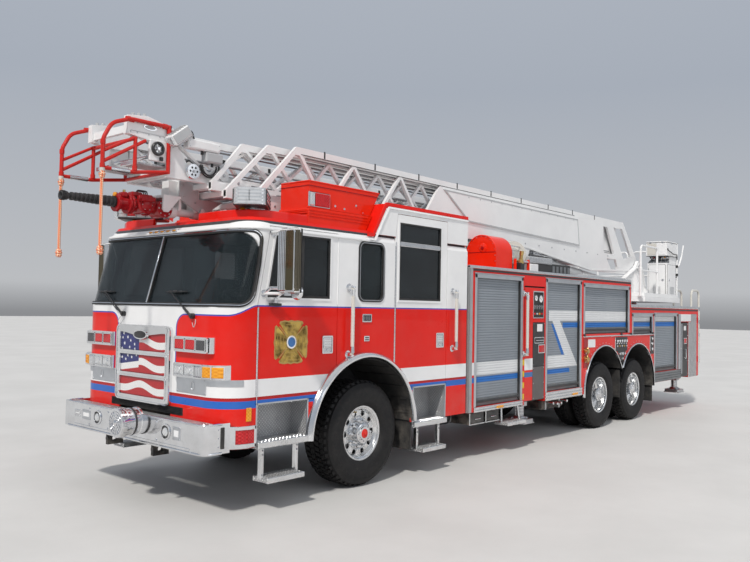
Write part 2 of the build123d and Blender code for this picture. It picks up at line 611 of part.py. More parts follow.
# ---- turntable ---------------------------------------------------------
with BuildPart() as turntable:
    with BuildSketch(top(2112)) as sk:
        with BuildLine():
            Polyline((-7560, 900), (-7800, 1150), (-9600, 1150), (-9930, 820), (-9930, -820), (-9600, -1150),
                     (-7800, -1150), (-7560, -900), close=True)
        make_face()
    extrude(sk.sketch, amount=DECK - 2112)
    rod((TURN_X, 0, 2100), (TURN_X, 0, 2113), 600)
    for s in (1, -1):
        # heel uprights
        slab([(-9050, DECK - 2), (-8740, 2800), (-8620, 2920), (-8500, 2800), (-7600, 2420), (-7600, DECK - 2)],
             s * 632, s * 690)
        disc(HEEL_X, HEEL_Z, 45, s * 560, s * 700)
        # lift cylinder lugs
        for y in (380, 500):
            slab([(-8060, DECK - 2), (-7910, 2500), (-7790, 2500), (-7780, DECK - 2)], s * y, s * (y + 30))
        disc(CYL_X, CYL_Z, 40, s * 380, s * 528)
    # hand rails round the platform
    for pts in (
        [(-7700, 1105, DECK - 1), (-7700, 1105, 3150), (-8500, 1105, 3150), (-8500, 1105, DECK - 1)],
        [(-7700, -1105, DECK - 1), (-7700, -1105, 3150), (-9500, -1105, 3150), (-9500, -1105, DECK - 1)],
        [(-9880, 740, DECK - 1), (-9880, 740, 3200), (-9880, 60, 3200), (-9880, 60, DECK - 1)],
        [(-9880, -60, DECK - 1), (-9880, -60, 3200), (-9880, -740, 3200), (-9880, -740, DECK - 1)],
    ):
        pipe(pts, 20, 80)
    rod((-7700, 1105, 2690), (-8500, 1105, 2690), 16)
    rod((-7700, -1105, 2690), (-9500, -1105, 2690), 16)
    rod((-9880, 740, 2690), (-9880, 60, 2690), 16)
    rod((-9880, -60, 2690), (-9880, -740, 2690), 16)
keep(turntable, "turntable")

with BuildPart() as console:
    block(-9530, -9060, 700, 1090, DECK + 1, 2900)
    block(-9560, -9010, 690, 1110, 3040, 3330)
    slab([(-9530, 2890), (-9200, 2890), (-9200, 3050), (-9530, 3050)], 700, 1090)
keep(console, "operator_console")

# ---- ladder ------------------------------------------------------------
# name, half width, low z, high z, rear x, front x low, front x high, rung z, tube outer r, tube inner r, tube rear x, tube front x
SECTIONS = [
    ("ladder_base_section", 620, 2900, 3630, -8750, 1120, 530, 2925, 75, 68, -8300, 1050),
    ("ladder_second_section", 530, 2980, 3605, -7900, 1380, 850, 3002, 63, 56, -7700, 1255),
    ("ladder_third_section", 445, 3052, 3580, -7250, 1500, 1130, 3074, 51, 45, -7100, 1425),
    ("ladder_fly_section", 360, 3122, 3560, -6600, 1960, 1960, 3144, 40, 34, -6500, 1640),
]
PITCH = 860.0
RUNG = 32.0
for name, half, zb, zt, xr, xfb, xft, zr, ro, ri, tr, tf in SECTIONS:
    base = name == "ladder_base_section"
    fly = name == "ladder_fly_section"
    cb, ct, t = 95.0, 70.0, 40.0
    lo, hi = zb + cb, zt - ct
    if base:
        outline = [(-8750, 2720), (-8200, 2640), (-6650, 2640), (-4200, zb), (xfb, zb), (xfb, zb + 110), (xft, zt), (-8030, zt), (-8750, 2890)]
    else:
        outline = [(xr, zb), (xfb, zb), (xfb, zb + 90), (xft, zt), (xr, zt)]
    # triangular windows of the side trusses
    slope = (hi - lo) / (PITCH / 2)
    a = 24.0
    start, end = (-6500.0 if base else xr + 120.0), (xft - 60.0)
    count = int((end - start) / PITCH)
    start = end - count * PITCH
    holes = []
    for i in range(count):
        x = start + i * PITCH
        holes.append([(x + a, hi), (x + PITCH - a, hi), (x + PITCH / 2, hi - (PITCH / 2 - a) * slope)])
        if i:
            holes.append([(x - PITCH / 2 + a, lo), (x + PITCH / 2 - a, lo), (x, lo + (PITCH / 2 - a) * slope)])
    # window beside the slanting front post
    lean = (xfb - xft) / (zt - zb - 100)
    back = [xfb - 70 - (z - zb - 100) * lean for z in (lo, hi - 20)]
    holes.append([(end - PITCH / 2 + a, lo), (back[0], lo), (max(back[1], end + 20), hi - 20),
                  (end - PITCH / 2 + a + (hi - 20 - lo) / slope, hi - 20)])
    if not base:
        holes.append([(start + PITCH / 2 - a, lo), (start + a - 30, hi - 40), (start + a - 30, lo)])
    if base:
        # the sign board covers the windows between these x; the heel has its own openings
        holes = [h for h in holes if not (min(p[0] for p in h) < -2200 and max(p[0] for p in h) > -6200)]
        holes = [h for h in holes if min(p[0] for p in h) > -6250]
        holes.append([(-7160, 3050), (-7160, 3480), (-7330, 3480), (-7800, 2760), (-7800, 2700), (-7500, 2700)])
        holes.append([(-7600, 3500), (-7990, 3500), (-8420, 2980), (-8060, 2930)])
    with BuildPart() as sec:
        for s in (1, -1):
            slab(outline, s * half, s * (half - t))
        with BuildSketch(side(half + 2)) as cut:
            for h in holes:
                with BuildLine():
                    Polyline(*h, close=True)
                make_face()
        extrude(cut.sketch, amount=2 * half + 4, mode=Mode.SUBTRACT)
        for s in (1, -1):
            block(xr + 40 if not base else -8000, xfb - 10, s * half, s * (half - 68), zb, zb + cb)
            block(xr + 10 if not base else -7980, xft - 40, s * half, s * (half - 55), zt - ct, zt)
            if base:
                # sign boards, rod lugs and heel pin bosses
                slab([(-2150, 3520), (-2760, 3130), (-6170, 3045), (-6100, 3505)], s * half, s * (half + 14))
                slab([(-4520, 2930), (-4420, 2740), (-4180, 2740), (-4080, 2930)], s * 580, s * 620)
                disc(EYE_X, EYE_Z, 52, s * 580, s * 630)
                disc(HEEL_X, HEEL_Z, 45.06, s * 550, s * 640, mode=Mode.SUBTRACT)
        # rungs
        first = (-8000 if base else xr + 150)
        rungs = []
        x = xfb - 120.0
        while x > first:
            rungs.append(x)
            x -= 356.0
        for x in rungs:
            block(x - RUNG / 2, x + RUNG / 2, -(half - 60), half - 60, zr, zr + RUNG)
        # waterway tube and its hangers
        if base:
            for x in (rungs[0], rungs[9], rungs[18], rungs[-1]):
                block(x - 20, x + 20, -60, 60, TUBE_Z + 40, zr + 6)
        else:
            block(tf - 32, tf - 4, -90, 90, TUBE_Z + 10, zr + RUNG)
            block(tf - 34, tf - 2, -(half - 60), half - 60, zr, zr + RUNG)
        rod((tr, 0, TUBE_Z), (tf, 0, TUBE_Z), ro)
        rod((tr - 1, 0, TUBE_Z), (tf + (1 if not fly else -20), 0, TUBE_Z), ri, mode=Mode.SUBTRACT)
        if fly:
            # boxed tip arms and the nose plate that carries the monitor
            for s in (1, -1):
                slab([(1900, 3455), (1900, 3600), (2190, 3665), (2390, 3640), (2390, 3470), (2150, 3440)], s * 360, s * 290)
                slab([(1620, 3130), (1940, 3130), (1940, 3470), (1880, 3470)], s * 360, s * 320)
            block(1900, 1940, -350, 350, 3130, 3230)
            block(2330, 2370, -350, 350, 3490, 3560)
            # monitor bracket, its yoke and the inlet elbow
            block(1606, 1740, -60, 60, 2960, 3150)
            block(1640, 1840, -130, 130, 2965, 2990)
            for s in (1, -1):
                slab([(1640, 2985), (1840, 2985), (1845, 2850), (1820, 2820), (1780, 2820), (1755, 2850)], s * 106, s * 130)
            rod((1630, 0, TUBE_Z), (1700, 0, TUBE_Z), 62)
    keep(sec, name)

# ---- lift cylinders ----------------------------------------------------
ux, uz = EYE_X - CYL_X, EYE_Z - CYL_Z
REACH = hypot(ux, uz)
ux, uz = ux / REACH, uz / REACH


def along(d, y):
    return (CYL_X + ux * d, y, CYL_Z + uz * d)


with BuildPart() as barrels:
    for s in (1, -1):
        rod(along(135, s * CYL_Y), along(2560, s * CYL_Y), 80)
        rod(along(40, s * CYL_Y), along(140, s * CYL_Y), 38)
        rod(along(160, s * CYL_Y), along(2565, s * CYL_Y), 60, mode=Mode.SUBTRACT)
        disc(CYL_X, CYL_Z, 74, s * 416, s * 494)
        disc(CYL_X, CYL_Z, 40.06, s * 410, s * 500, mode=Mode.SUBTRACT)
keep(barrels, "lift_cylinder_barrels")

with BuildPart() as rods:
    for s in (1, -1):
        rod(along(420, s * CYL_Y), along(REACH - 40, s * CYL_Y), 45)
        # the eye and its pin, which ends short of the lug
        disc(EYE_X, EYE_Z, 64, s * 425, s * 485)
        disc(EYE_X, EYE_Z, 32, s * 410, s * 572)
keep(rods, "lift_cylinder_rods")

# ---- monitor, tip rails and ropes --------------------------------------
with BuildPart() as monitor:
    # swivel drum in the yoke, centred on the tilt axis
    disc(MON_X, TUBE_Z + 10, 88, -99, 99)
    rod((MON_X + 40, 0, TUBE_Z + 15), (2290, 0, TUBE_Z + 30), 66)
    disc(2010, TUBE_Z + 22, 84, -100, 100)
    rod((2280, 0, TUBE_Z + 30), (2600, 0, TUBE_Z + 30), 44)
    rod((2600, 0, TUBE_Z + 30), (2830, 0, TUBE_Z + 30), 66)
keep(monitor, "water_monitor")

with BuildPart() as tip_rails:
    R = 19.0
    for s in (1, -1):
        pipe([(1960, s * 380, 3600), (2420, s * 380, 3600), (2640, s * 380, 3400), (2640, s * 380, 3080)], R, 70)
        for x in (1975, 2330):
            block(x, x + 50, s * 360, s * 380, 3575, 3600)
        block(2300, 2345, s * 320, s * 380, 3430, 3445)
        pipe([(2640, s * 380, 3120), (2320, s * 380, 3120), (2320, s * 380, 3430)], R, 50)
    rod((2320, -380, 3428), (2320, 380, 3428), R)
keep(tip_rails, "tip_rails")

# two short hanging ropes with an end knot each: x, y, top z, knot z
ROPES = [("left_rope", 2640.0, 380.0), ("right_rope", 2640.0, -380.0)]
ROPE_R = 14.0
ROPE_TOP, ROPE_END = 3058.0, 2400.0
for name, x, y in ROPES:
    with BuildPart() as rope:
        rod((x, y, ROPE_TOP), (x, y, ROPE_END), ROPE_R)
    keep(rope, name)
with BuildPart() as knots:
    for name, x, y in ROPES:
        rod((x, y, ROPE_END), (x, y, ROPE_END - 60), 24)
        rod((x, y, ROPE_TOP), (x, y, 3080), 24)
keep(knots, "rope_knots")
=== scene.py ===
import bpy
import bmesh
import math
import random
from math import sin, cos, pi, radians, hypot, atan2, sqrt
from mathutils import Vector, Matrix


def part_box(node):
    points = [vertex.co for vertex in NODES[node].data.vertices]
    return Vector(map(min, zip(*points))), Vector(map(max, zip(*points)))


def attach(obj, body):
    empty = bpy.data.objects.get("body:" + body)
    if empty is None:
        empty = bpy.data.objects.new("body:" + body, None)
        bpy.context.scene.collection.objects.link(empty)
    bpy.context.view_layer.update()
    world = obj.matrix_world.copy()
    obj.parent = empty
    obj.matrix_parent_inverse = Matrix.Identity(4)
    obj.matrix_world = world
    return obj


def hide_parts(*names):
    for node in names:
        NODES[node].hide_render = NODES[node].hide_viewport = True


# Looks of the aerial ladder fire engine. Every length is in metres and every X is counted
# from the front axle; XF moves it into the model's frame.
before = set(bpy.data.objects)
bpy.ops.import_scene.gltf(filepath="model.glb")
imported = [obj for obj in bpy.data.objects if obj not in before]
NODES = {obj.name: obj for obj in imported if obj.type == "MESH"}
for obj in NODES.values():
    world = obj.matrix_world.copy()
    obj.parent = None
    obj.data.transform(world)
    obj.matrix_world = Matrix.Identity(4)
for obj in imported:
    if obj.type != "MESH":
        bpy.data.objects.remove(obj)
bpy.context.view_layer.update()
_lo, _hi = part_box("front_left_tyre")
XF = (_lo[0] + _hi[0]) / 2
rng = random.Random(7)

HALF = 1.27
CAB_FRONT = 1.915


# ---- camera and light ----------------------------------------------------
def make_camera():
    a, e, r = radians(41.2), radians(1.996), radians(1.042)
    d = Vector((-cos(a) * cos(e), -sin(a) * cos(e), sin(e)))
    right = d.cross(Vector((0, 0, 1))).normalized()
    up = right.cross(d)
    r2 = right * cos(r) + up * sin(r)
    u2 = -right * sin(r) + up * cos(r)
    m = Matrix.Identity(4)
    for i in range(3):
        m[i][0], m[i][1], m[i][2] = r2[i], u2[i], -d[i]
    m.translation = Vector((XF + 6.069, 6.63, 1.91))
    cam = bpy.data.cameras.new("camera")
    cam.lens, cam.sensor_width, cam.clip_end = 36.35, 36.0, 300.0
    ob = bpy.data.objects.new("camera", cam)
    ob.matrix_world = m
    bpy.context.scene.collection.objects.link(ob)
    bpy.context.scene.camera = ob


def make_light():
    w = bpy.data.worlds.new("studio")
    bpy.context.scene.world = w
    w.use_nodes = True
    t = w.node_tree
    bg = t.nodes["Background"]
    tc = t.nodes.new("ShaderNodeTexCoord")
    sep = t.nodes.new("ShaderNodeSeparateXYZ")
    ramp = t.nodes.new("ShaderNodeValToRGB")
    mp = t.nodes.new("ShaderNodeMapRange")
    t.links.new(tc.outputs["Generated"], sep.inputs[0])
    t.links.new(sep.outputs["Z"], mp.inputs["Value"])
    mp.inputs["From Min"].default_value = -0.25
    mp.inputs["From Max"].default_value = 1.0
    t.links.new(mp.outputs[0], ramp.inputs[0])
    cr = ramp.color_ramp
    stops = [(0.0, (0.30, 0.30, 0.31)), (0.19, (0.42, 0.43, 0.45)), (0.22, (0.80, 0.82, 0.85)), (0.42, (0.62, 0.68, 0.78)),
             (0.7, (0.74, 0.80, 0.90)), (1.0, (1.0, 1.0, 1.0))]
    cr.elements[0].position, cr.elements[0].color = stops[0][0], (*stops[0][1], 1)
    cr.elements[1].position, cr.elements[1].color = stops[-1][0], (*stops[-1][1], 1)
    for p, c in stops[1:-1]:
        el = cr.elements.new(p)
        el.color = (*c, 1)
    t.links.new(ramp.outputs[0], bg.inputs[0])
    bg.inputs[1].default_value = 0.62
    sun = bpy.data.lights.new("key", "SUN")
    sun.energy, sun.angle, sun.color = 2.55, radians(4.0), (1.0, 0.965, 0.91)
    ob = bpy.data.objects.new("key", sun)
    az, el = radians(24), radians(47)
    ob.rotation_euler = Vector((cos(el) * cos(az), cos(el) * sin(az), sin(el))).to_track_quat("Z", "Y").to_euler()
    bpy.context.scene.collection.objects.link(ob)
    # a long soft panel on the camera's side fills the flank
    ar = bpy.data.lights.new("fill", "AREA")
    ar.shape, ar.size, ar.size_y, ar.energy = "RECTANGLE", 18.0, 7.0, 330.0
    ob = bpy.data.objects.new("fill", ar)
    ob.location = (XF - 2.0, 16.0, 9.0)
    ob.rotation_euler = Vector((0.1, 0.86, 0.5)).to_track_quat("Z", "Y").to_euler()
    bpy.context.scene.collection.objects.link(ob)
    bpy.context.scene.view_settings.view_transform = "Standard"


make_camera()
make_light()


# ---- material graphs ---------------------------------------------------------
class Graph:
    """A Principled material with short calls for its nodes."""

    def __init__(self, name):
        self.m = bpy.data.materials.new(name)
        self.m.use_nodes = True
        self.t = self.m.node_tree
        self.p = self.t.nodes["Principled BSDF"]
        self.tc = None
        self.last_bump = None

    def feed(self, socket, v):
        if isinstance(v, bpy.types.NodeSocket):
            self.t.links.new(v, socket)
        elif isinstance(v, (tuple, list)) and len(v) == 3 and socket.type == "RGBA":
            socket.default_value = (*v, 1.0)
        else:
            socket.default_value = v

    def put(self, **kw):
        for k, v in kw.items():
            self.feed(self.p.inputs[k.replace("_", " ").title().replace("Ior", "IOR")], v)
        return self

    def op(self, kind, a, b=None, c=None, clamp=False):
        n = self.t.nodes.new("ShaderNodeMath")
        n.operation, n.use_clamp = kind, clamp
        for i, v in enumerate((a, b, c)):
            if v is not None:
                self.feed(n.inputs[i], v)
        return n.outputs[0]

    def add(self, a, b): return self.op("ADD", a, b)
    def sub(self, a, b): return self.op("SUBTRACT", a, b)
    def mul(self, a, b): return self.op("MULTIPLY", a, b)
    def lt(self, a, b): return self.op("LESS_THAN", a, b)
    def gt(self, a, b): return self.op("GREATER_THAN", a, b)
    def absv(self, a): return self.op("ABSOLUTE", a)
    def either(self, a, b): return self.op("MAXIMUM", a, b)

    def every(self, *s):
        out = s[0]
        for v in s[1:]:
            out = self.mul(out, v)
        return out

    def band(self, v, lo, hi):
        return self.mul(self.gt(v, lo), self.lt(v, hi))

    def mix(self, f, a, b, kind="MIX"):
        n = self.t.nodes.new("ShaderNodeMix")
        n.data_type, n.blend_type = "RGBA", kind
        self.feed(n.inputs[0], f)
        self.feed(n.inputs[6], a)
        self.feed(n.inputs[7], b)
        return n.outputs[2]

    def xyz(self):
        """Place in front-axle metres: x, y, z."""
        self.tc = self.tc or self.t.nodes.new("ShaderNodeTexCoord")
        n = self.t.nodes.new("ShaderNodeSeparateXYZ")
        self.t.links.new(self.tc.outputs["Object"], n.inputs[0])
        return self.sub(n.outputs[0], XF), n.outputs[1], n.outputs[2]

    def vec(self, x, y, z):
        n = self.t.nodes.new("ShaderNodeCombineXYZ")
        for i, v in enumerate((x, y, z)):
            self.feed(n.inputs[i], v)
        return n.outputs[0]

    def noise(self, scale, detail=3.0, rough=0.55, vec=None, stretch=None):
        n = self.t.nodes.new("ShaderNodeTexNoise")
        n.inputs["Scale"].default_value = scale
        n.inputs["Detail"].default_value = detail
        n.inputs["Roughness"].default_value = rough
        if vec is None:
            self.tc = self.tc or self.t.nodes.new("ShaderNodeTexCoord")
            vec = self.tc.outputs["Object"]
        if stretch:
            m = self.t.nodes.new("ShaderNodeMapping")
            self.t.links.new(vec, m.inputs[0])
            m.inputs["Scale"].default_value = stretch
            vec = m.outputs[0]
        self.t.links.new(vec, n.inputs["Vector"])
        return n.outputs["Fac"]

    def cells(self, scale, vec=None, what="Distance"):
        n = self.t.nodes.new("ShaderNodeTexVoronoi")
        n.inputs["Scale"].default_value = scale
        if vec is None:
            self.tc = self.tc or self.t.nodes.new("ShaderNodeTexCoord")
            vec = self.tc.outputs["Object"]
        self.t.links.new(vec, n.inputs["Vector"])
        return n.outputs[what]

    def span(self, v, a, b, lo=0.0, hi=1.0):
        n = self.t.nodes.new("ShaderNodeMapRange")
        n.interpolation_type = "SMOOTHSTEP"
        self.feed(n.inputs["Value"], v)
        for k, q in (("From Min", a), ("From Max", b), ("To Min", lo), ("To Max", hi)):
            self.feed(n.inputs[k], q)
        return n.outputs[0]

    def bump(self, height, strength, distance):
        n = self.t.nodes.new("ShaderNodeBump")
        n.inputs["Strength"].default_value = strength
        n.inputs["Distance"].default_value = distance
        self.t.links.new(height, n.inputs["Height"])
        if self.last_bump is not None:
            self.t.links.new(self.last_bump, n.inputs["Normal"])
        self.last_bump = n.outputs[0]
        self.t.links.new(n.outputs[0], self.p.inputs["Normal"])


RED = (0.74, 0.010, 0.004)
WHITE = (0.82, 0.82, 0.82)
BLUE = (0.022, 0.13, 0.50)
THIN_RED = (0.42, 0.008, 0.01)


def dirt(g, col, z, amount):
    """Road dust low down, a little everywhere."""
    low = g.span(z, 1.1, 0.25)
    n = g.noise(5.0, 6.0, 0.65)
    f = g.mul(g.add(g.mul(low, amount), amount * 0.12), g.span(n, 0.35, 0.75))
    return g.mix(f, col, (0.30, 0.27, 0.23)), f


def paint(name, colour, rough=0.30, coat=0.75, amount=0.30, spec=0.12):
    """Gloss vehicle paint. colour is an RGB or a function of (graph, x, y, z)."""
    g = Graph(name)
    x, y, z = g.xyz()
    col = colour(g, x, y, z) if callable(colour) else colour
    mottle = g.noise(1.7, 4.0)
    col = g.mix(g.span(mottle, 0.3, 0.75, 0.0, 0.5), col, (0.86, 0.86, 0.87), "MULTIPLY")
    col, f = dirt(g, col, z, amount)
    g.put(base_color=col, roughness=g.add(g.mul(g.noise(9.0, 5.0), 0.14), g.add(g.mul(f, 0.5), rough - 0.07)),
          coat_weight=coat * 0.45, coat_roughness=0.03, specular_ior_level=spec)
    g.bump(g.noise(160.0, 2.0), 0.05, 0.001)
    g.bump(g.noise(2.2, 2.0), 0.04, 0.02)
    return g.m


def metal(name, colour, rough, brushed=None, amount=0.25, wear=0.10):
    g = Graph(name)
    x, y, z = g.xyz()
    n = g.noise(6.0, 6.0, 0.65)
    col = g.mix(g.span(n, 0.35, 0.8, 0.0, 0.55), colour, tuple(c * 0.72 for c in colour))
    col, f = dirt(g, col, z, amount)
    r = g.add(g.mul(g.noise(22.0, 5.0, 0.7), wear), g.add(rough, g.mul(f, 0.45)))
    g.put(base_color=col, metallic=1.0, roughness=r)
    if brushed:
        g.bump(g.noise(90.0, 4.0, 0.6, stretch=brushed), 0.10, 0.001)
    else:
        g.bump(g.noise(14.0, 4.0), 0.06, 0.004)
    return g.m


def lattice(g, u, v, pitch):
    """Raised lozenges of tread plate, alternate ones turned a quarter."""
    a = g.mul(g.add(u, v), 1.0 / pitch)
    b = g.mul(g.sub(u, v), 1.0 / pitch)
    fa, fb = g.op("FLOOR", a), g.op("FLOOR", b)
    odd = g.op("FLOORED_MODULO", g.add(fa, fb), 2.0)
    la, lb = g.sub(g.sub(a, fa), 0.5), g.sub(g.sub(b, fb), 0.5)
    d1 = g.add(g.op("POWER", g.mul(la, 2.2), 2.0), g.op("POWER", g.mul(lb, 6.4), 2.0))
    d2 = g.add(g.op("POWER", g.mul(la, 6.4), 2.0), g.op("POWER", g.mul(lb, 2.2), 2.0))
    d = g.add(g.mul(d1, g.sub(1.0, odd)), g.mul(d2, odd))
    return g.span(d, 1.0, 0.35)


def tread_plate(name, pitch=0.036, tint=(0.66, 0.67, 0.68), amount=0.30):
    g = Graph(name)
    x, y, z = g.xyz()
    geo = g.t.nodes.new("ShaderNodeNewGeometry")
    sep = g.t.nodes.new("ShaderNodeSeparateXYZ")
    g.t.links.new(geo.outputs["True Normal"], sep.inputs[0])
    nx, nz = g.gt(g.absv(sep.outputs[0]), 0.7), g.gt(g.absv(sep.outputs[2]), 0.7)
    ny = g.sub(1.0, g.either(nx, nz))
    h = g.add(g.add(g.mul(lattice(g, x, z, pitch), ny), g.mul(lattice(g, y, z, pitch), nx)), g.mul(lattice(g, x, y, pitch), nz))
    n = g.noise(7.0, 6.0, 0.7)
    col = g.mix(g.span(n, 0.3, 0.8, 0.0, 0.7), tint, tuple(c * 0.6 for c in tint))
    # raised lozenges painted near-white as a painted highlight, and the ground between them darkened to 55 per cent as
    # painted shade
    col = g.mix(h, g.mix(1.0, col, (0.55, 0.55, 0.56), "MULTIPLY"), (0.92, 0.93, 0.94))
    col, f = dirt(g, col, z, amount)
    g.put(base_color=col, metallic=0.42, roughness=g.add(g.sub(0.38, g.mul(h, 0.14)), g.mul(f, 0.4)))
    g.bump(h, 0.8, 0.004)
    g.bump(g.noise(60.0, 3.0), 0.08, 0.002)
    return g.m


def plastic(name, colour, rough=0.45, grain=120.0, amount=0.3, strength=0.12):
    g = Graph(name)
    x, y, z = g.xyz()
    n = g.noise(8.0, 5.0)
    col = g.mix(g.span(n, 0.3, 0.8, 0.0, 0.6), colour, tuple(min(1.0, c * 1.5 + 0.01) for c in colour))
    col, f = dirt(g, col, z, amount)
    g.put(base_color=col, roughness=g.add(g.mul(g.noise(30.0, 3.0), 0.15), rough - 0.07))
    g.bump(g.noise(grain, 3.0), strength, 0.0015)
    return g.m


def lens(name, colour, ribs=90.0, glow=0.0, rough=0.12, metallic=0.0):
    """Moulded lamp lens with fine optics behind a clear face."""
    g = Graph(name)
    x, y, z = g.xyz()
    w = g.op("SINE", g.mul(g.add(x, y), ribs * 2.2))
    v = g.op("SINE", g.mul(z, ribs * 2.2))
    h = g.mul(g.add(g.mul(w, v), 1.0), 0.5)
    col = g.mix(g.mul(h, 0.6), colour, tuple(min(1.0, c * 1.9 + 0.03) for c in colour))
    col = g.mix(g.span(g.noise(18.0, 4.0), 0.4, 0.8, 0.0, 0.35), col, tuple(c * 0.5 for c in colour))
    g.put(base_color=col, roughness=rough, coat_weight=0.45, coat_roughness=0.02, metallic=metallic, specular_ior_level=0.2)
    if glow:
        g.put(emission_color=colour, emission_strength=glow)
    g.bump(h, 0.35, 0.002)
    return g.m


def cab_inside(g, x, y, z):
    """1 on the inner skins of the cab, 0 on its outer ones."""
    ay = g.absv(y)
    xs = g.add(x, g.mul(g.op("MAXIMUM", g.sub(z, 1.9), 0.0), 0.268))
    qx = g.op("MAXIMUM", g.sub(xs, 1.615), 0.0)
    qy = g.op("MAXIMUM", g.sub(ay, 0.97), 0.0)
    d = g.op("SQRT", g.add(g.mul(qx, qx), g.mul(qy, qy)))
    low = g.every(g.lt(d, 0.278), g.lt(z, 2.70), g.gt(x, -1.775))
    slope = g.sub(-0.08, g.mul(g.sub(z, 2.655), 0.48))
    high = g.every(g.gt(ay, 0.693), g.lt(ay, 1.245), g.gt(x, -1.775), g.lt(x, slope), g.lt(z, 3.03))
    return g.either(low, high)


def cab_colours(g, x, y, z):
    ay = g.absv(y)
    front = g.gt(x, 1.6)
    belt = g.sub(1.905, g.mul(g.span(x, 1.56, 1.84), 0.092))
    # the red panels' rounded inner corners beside the grille
    inner = g.every(front, g.lt(ay, 0.515))
    px, pz = g.sub(0.645, ay), g.sub(z, g.sub(belt, 0.13))
    r = g.op("SQRT", g.add(g.mul(px, px), g.mul(pz, pz)))
    corner = g.every(front, g.gt(px, 0.0), g.gt(pz, 0.0), g.gt(r, 0.13))
    white = g.either(g.either(g.gt(z, belt), g.mul(inner, g.gt(z, 1.235))), corner)
    col = g.mix(white, RED, WHITE)
    line = g.either(g.mul(g.band(z, g.sub(belt, 0.007), g.add(belt, 0.007)), g.either(g.lt(x, 1.6), g.gt(ay, 0.645))),
                    g.every(front, g.band(ay, 0.508, 0.522), g.band(z, 1.235, g.sub(belt, 0.13))))
    line = g.either(line, g.every(front, g.gt(px, 0.0), g.gt(pz, 0.0), g.band(r, 0.123, 0.137)))
    col = g.mix(line, col, (0.06, 0.08, 0.42))
    col = g.mix(g.band(z, 1.075, 1.235), col, WHITE)
    col = g.mix(g.band(z, 1.045, 1.075), col, THIN_RED)
    col = g.mix(g.band(z, 0.977, 1.045), col, BLUE)
    # red roof skin and edges
    col = g.mix(g.gt(z, 2.69), col, RED)
    tall = g.every(g.lt(x, -0.02), g.gt(ay, 1.262), g.lt(z, 3.0), g.gt(z, 2.0))
    col = g.mix(tall, col, WHITE)
    # black wheel wells
    wx, wz = g.sub(x, 0.078), g.sub(z, 0.583)
    wr = g.op("SQRT", g.add(g.mul(wx, wx), g.mul(wz, wz)))
    col = g.mix(g.every(g.lt(ay, 1.2655), g.lt(wr, 0.815), g.lt(z, 1.42)), col, (0.012, 0.012, 0.013))
    return g.mix(cab_inside(g, x, y, z), col, (0.045, 0.047, 0.052))


def body_colours(g, x, y, z):
    side = g.gt(g.absv(y), 1.262)
    near = g.every(side, g.gt(x, -3.45))
    col = g.mix(g.mul(near, g.band(z, 1.075, 1.235)), RED, WHITE)
    col = g.mix(g.mul(near, g.band(z, 0.977, 1.045)), col, BLUE)
    # inner faces round the tandem wheels painted near-black: painted shade inside the wheel opening
    well = g.every(g.lt(g.absv(y), 1.262), g.lt(z, 2.0), g.lt(x, -4.5), g.gt(x, -8.0))
    col = g.mix(well, col, (0.02, 0.02, 0.022))
    return col


def shutter_colours(g, x, y, z):
    """Grey roll-up slats with the reflective stripes of each door."""
    grey, white = (0.265, 0.294, 0.326), (0.74, 0.75, 0.76)
    col = g.mix(g.span(g.noise(1.3, 3.0), 0.3, 0.7, 0.0, 0.6), grey, (0.295, 0.322, 0.355))
    first, second, rest = g.gt(x, -3.3), g.band(x, -5.0, -3.7), g.lt(x, -5.0)
    # slanted band on the second door
    left = g.sub(-3.983, g.mul(g.sub(1.913, z), 0.751))
    right = g.sub(-4.343, g.mul(g.sub(1.744, z), 0.840))
    slant = g.every(second, g.lt(x, left), g.gt(x, right), g.band(z, 1.064, 1.913))
    bl, br = g.sub(-4.061, g.mul(g.sub(1.717, z), 0.707)), g.sub(-4.173, g.mul(g.sub(1.717, z), 0.692))
    # the blue line runs in front of the slant
    bslant = g.every(second, g.lt(x, g.add(bl, 0.0)), g.gt(x, br), g.band(z, 1.25, 1.717))
    wz = g.either(g.mul(first, g.band(z, 1.065, 1.23)),
                  g.either(g.every(second, g.band(z, 1.76, 1.913), g.lt(x, -3.99)), g.every(second, g.band(z, 1.065, 1.245), g.gt(x, g.sub(-4.489, g.mul(g.sub(1.239, z), 2.4))))))
    wz = g.either(wz, g.mul(rest, g.band(z, 1.75, 1.912)))
    wz = g.either(wz, slant)
    bz = g.either(g.mul(first, g.band(z, 0.972, 1.045)),
                  g.either(g.every(second, g.band(z, 1.656, 1.733), g.lt(x, -4.42)), g.every(second, g.band(z, 0.98, 1.045), g.gt(x, -4.65))))
    bz = g.either(bz, g.mul(rest, g.band(z, 1.65, 1.73)))
    bz = g.either(bz, bslant)
    col = g.mix(bz, col, (0.03, 0.17, 0.52))
    return g.mix(wz, col, white)


M = {}
M["cab"] = paint("cab_paint", cab_colours)
M["body"] = paint("body_paint", body_colours)
M["red"] = paint("red_paint", RED)
M["dark_red"] = paint("deep_red_paint", (0.34, 0.008, 0.012), rough=0.25)
M["orange_red"] = paint("bright_red_paint", (0.80, 0.022, 0.004))
M["monitor"] = paint("monitor_paint", lambda g, x, y, z: g.mix(g.gt(x, 2.29), (0.26, 0.006, 0.010), (0.014, 0.014, 0.016)), rough=0.26)
M["white"] = paint("white_paint", WHITE, amount=0.2)
M["grey"] = paint("grey_paint", (0.30, 0.31, 0.33), rough=0.38, coat=0.4)
M["light_grey"] = paint("light_grey_paint", (0.46, 0.47, 0.48), rough=0.36, coat=0.5)
M["black"] = paint("black_paint", (0.012, 0.012, 0.014), rough=0.42, coat=0.25, amount=0.6)
M["shutter"] = paint("shutter_paint", shutter_colours, rough=0.42, coat=0.25)
M["chrome"] = metal("chrome", (0.82, 0.83, 0.85), 0.05, wear=0.08)
M["dull_chrome"] = metal("dull_chrome", (0.70, 0.71, 0.73), 0.16)
M["aluminium"] = metal("polished_aluminium", (0.80, 0.81, 0.82), 0.13, wear=0.16)
M["satin"] = metal("satin_aluminium", (0.62, 0.64, 0.67), 0.30, brushed=(1, 1, 40))
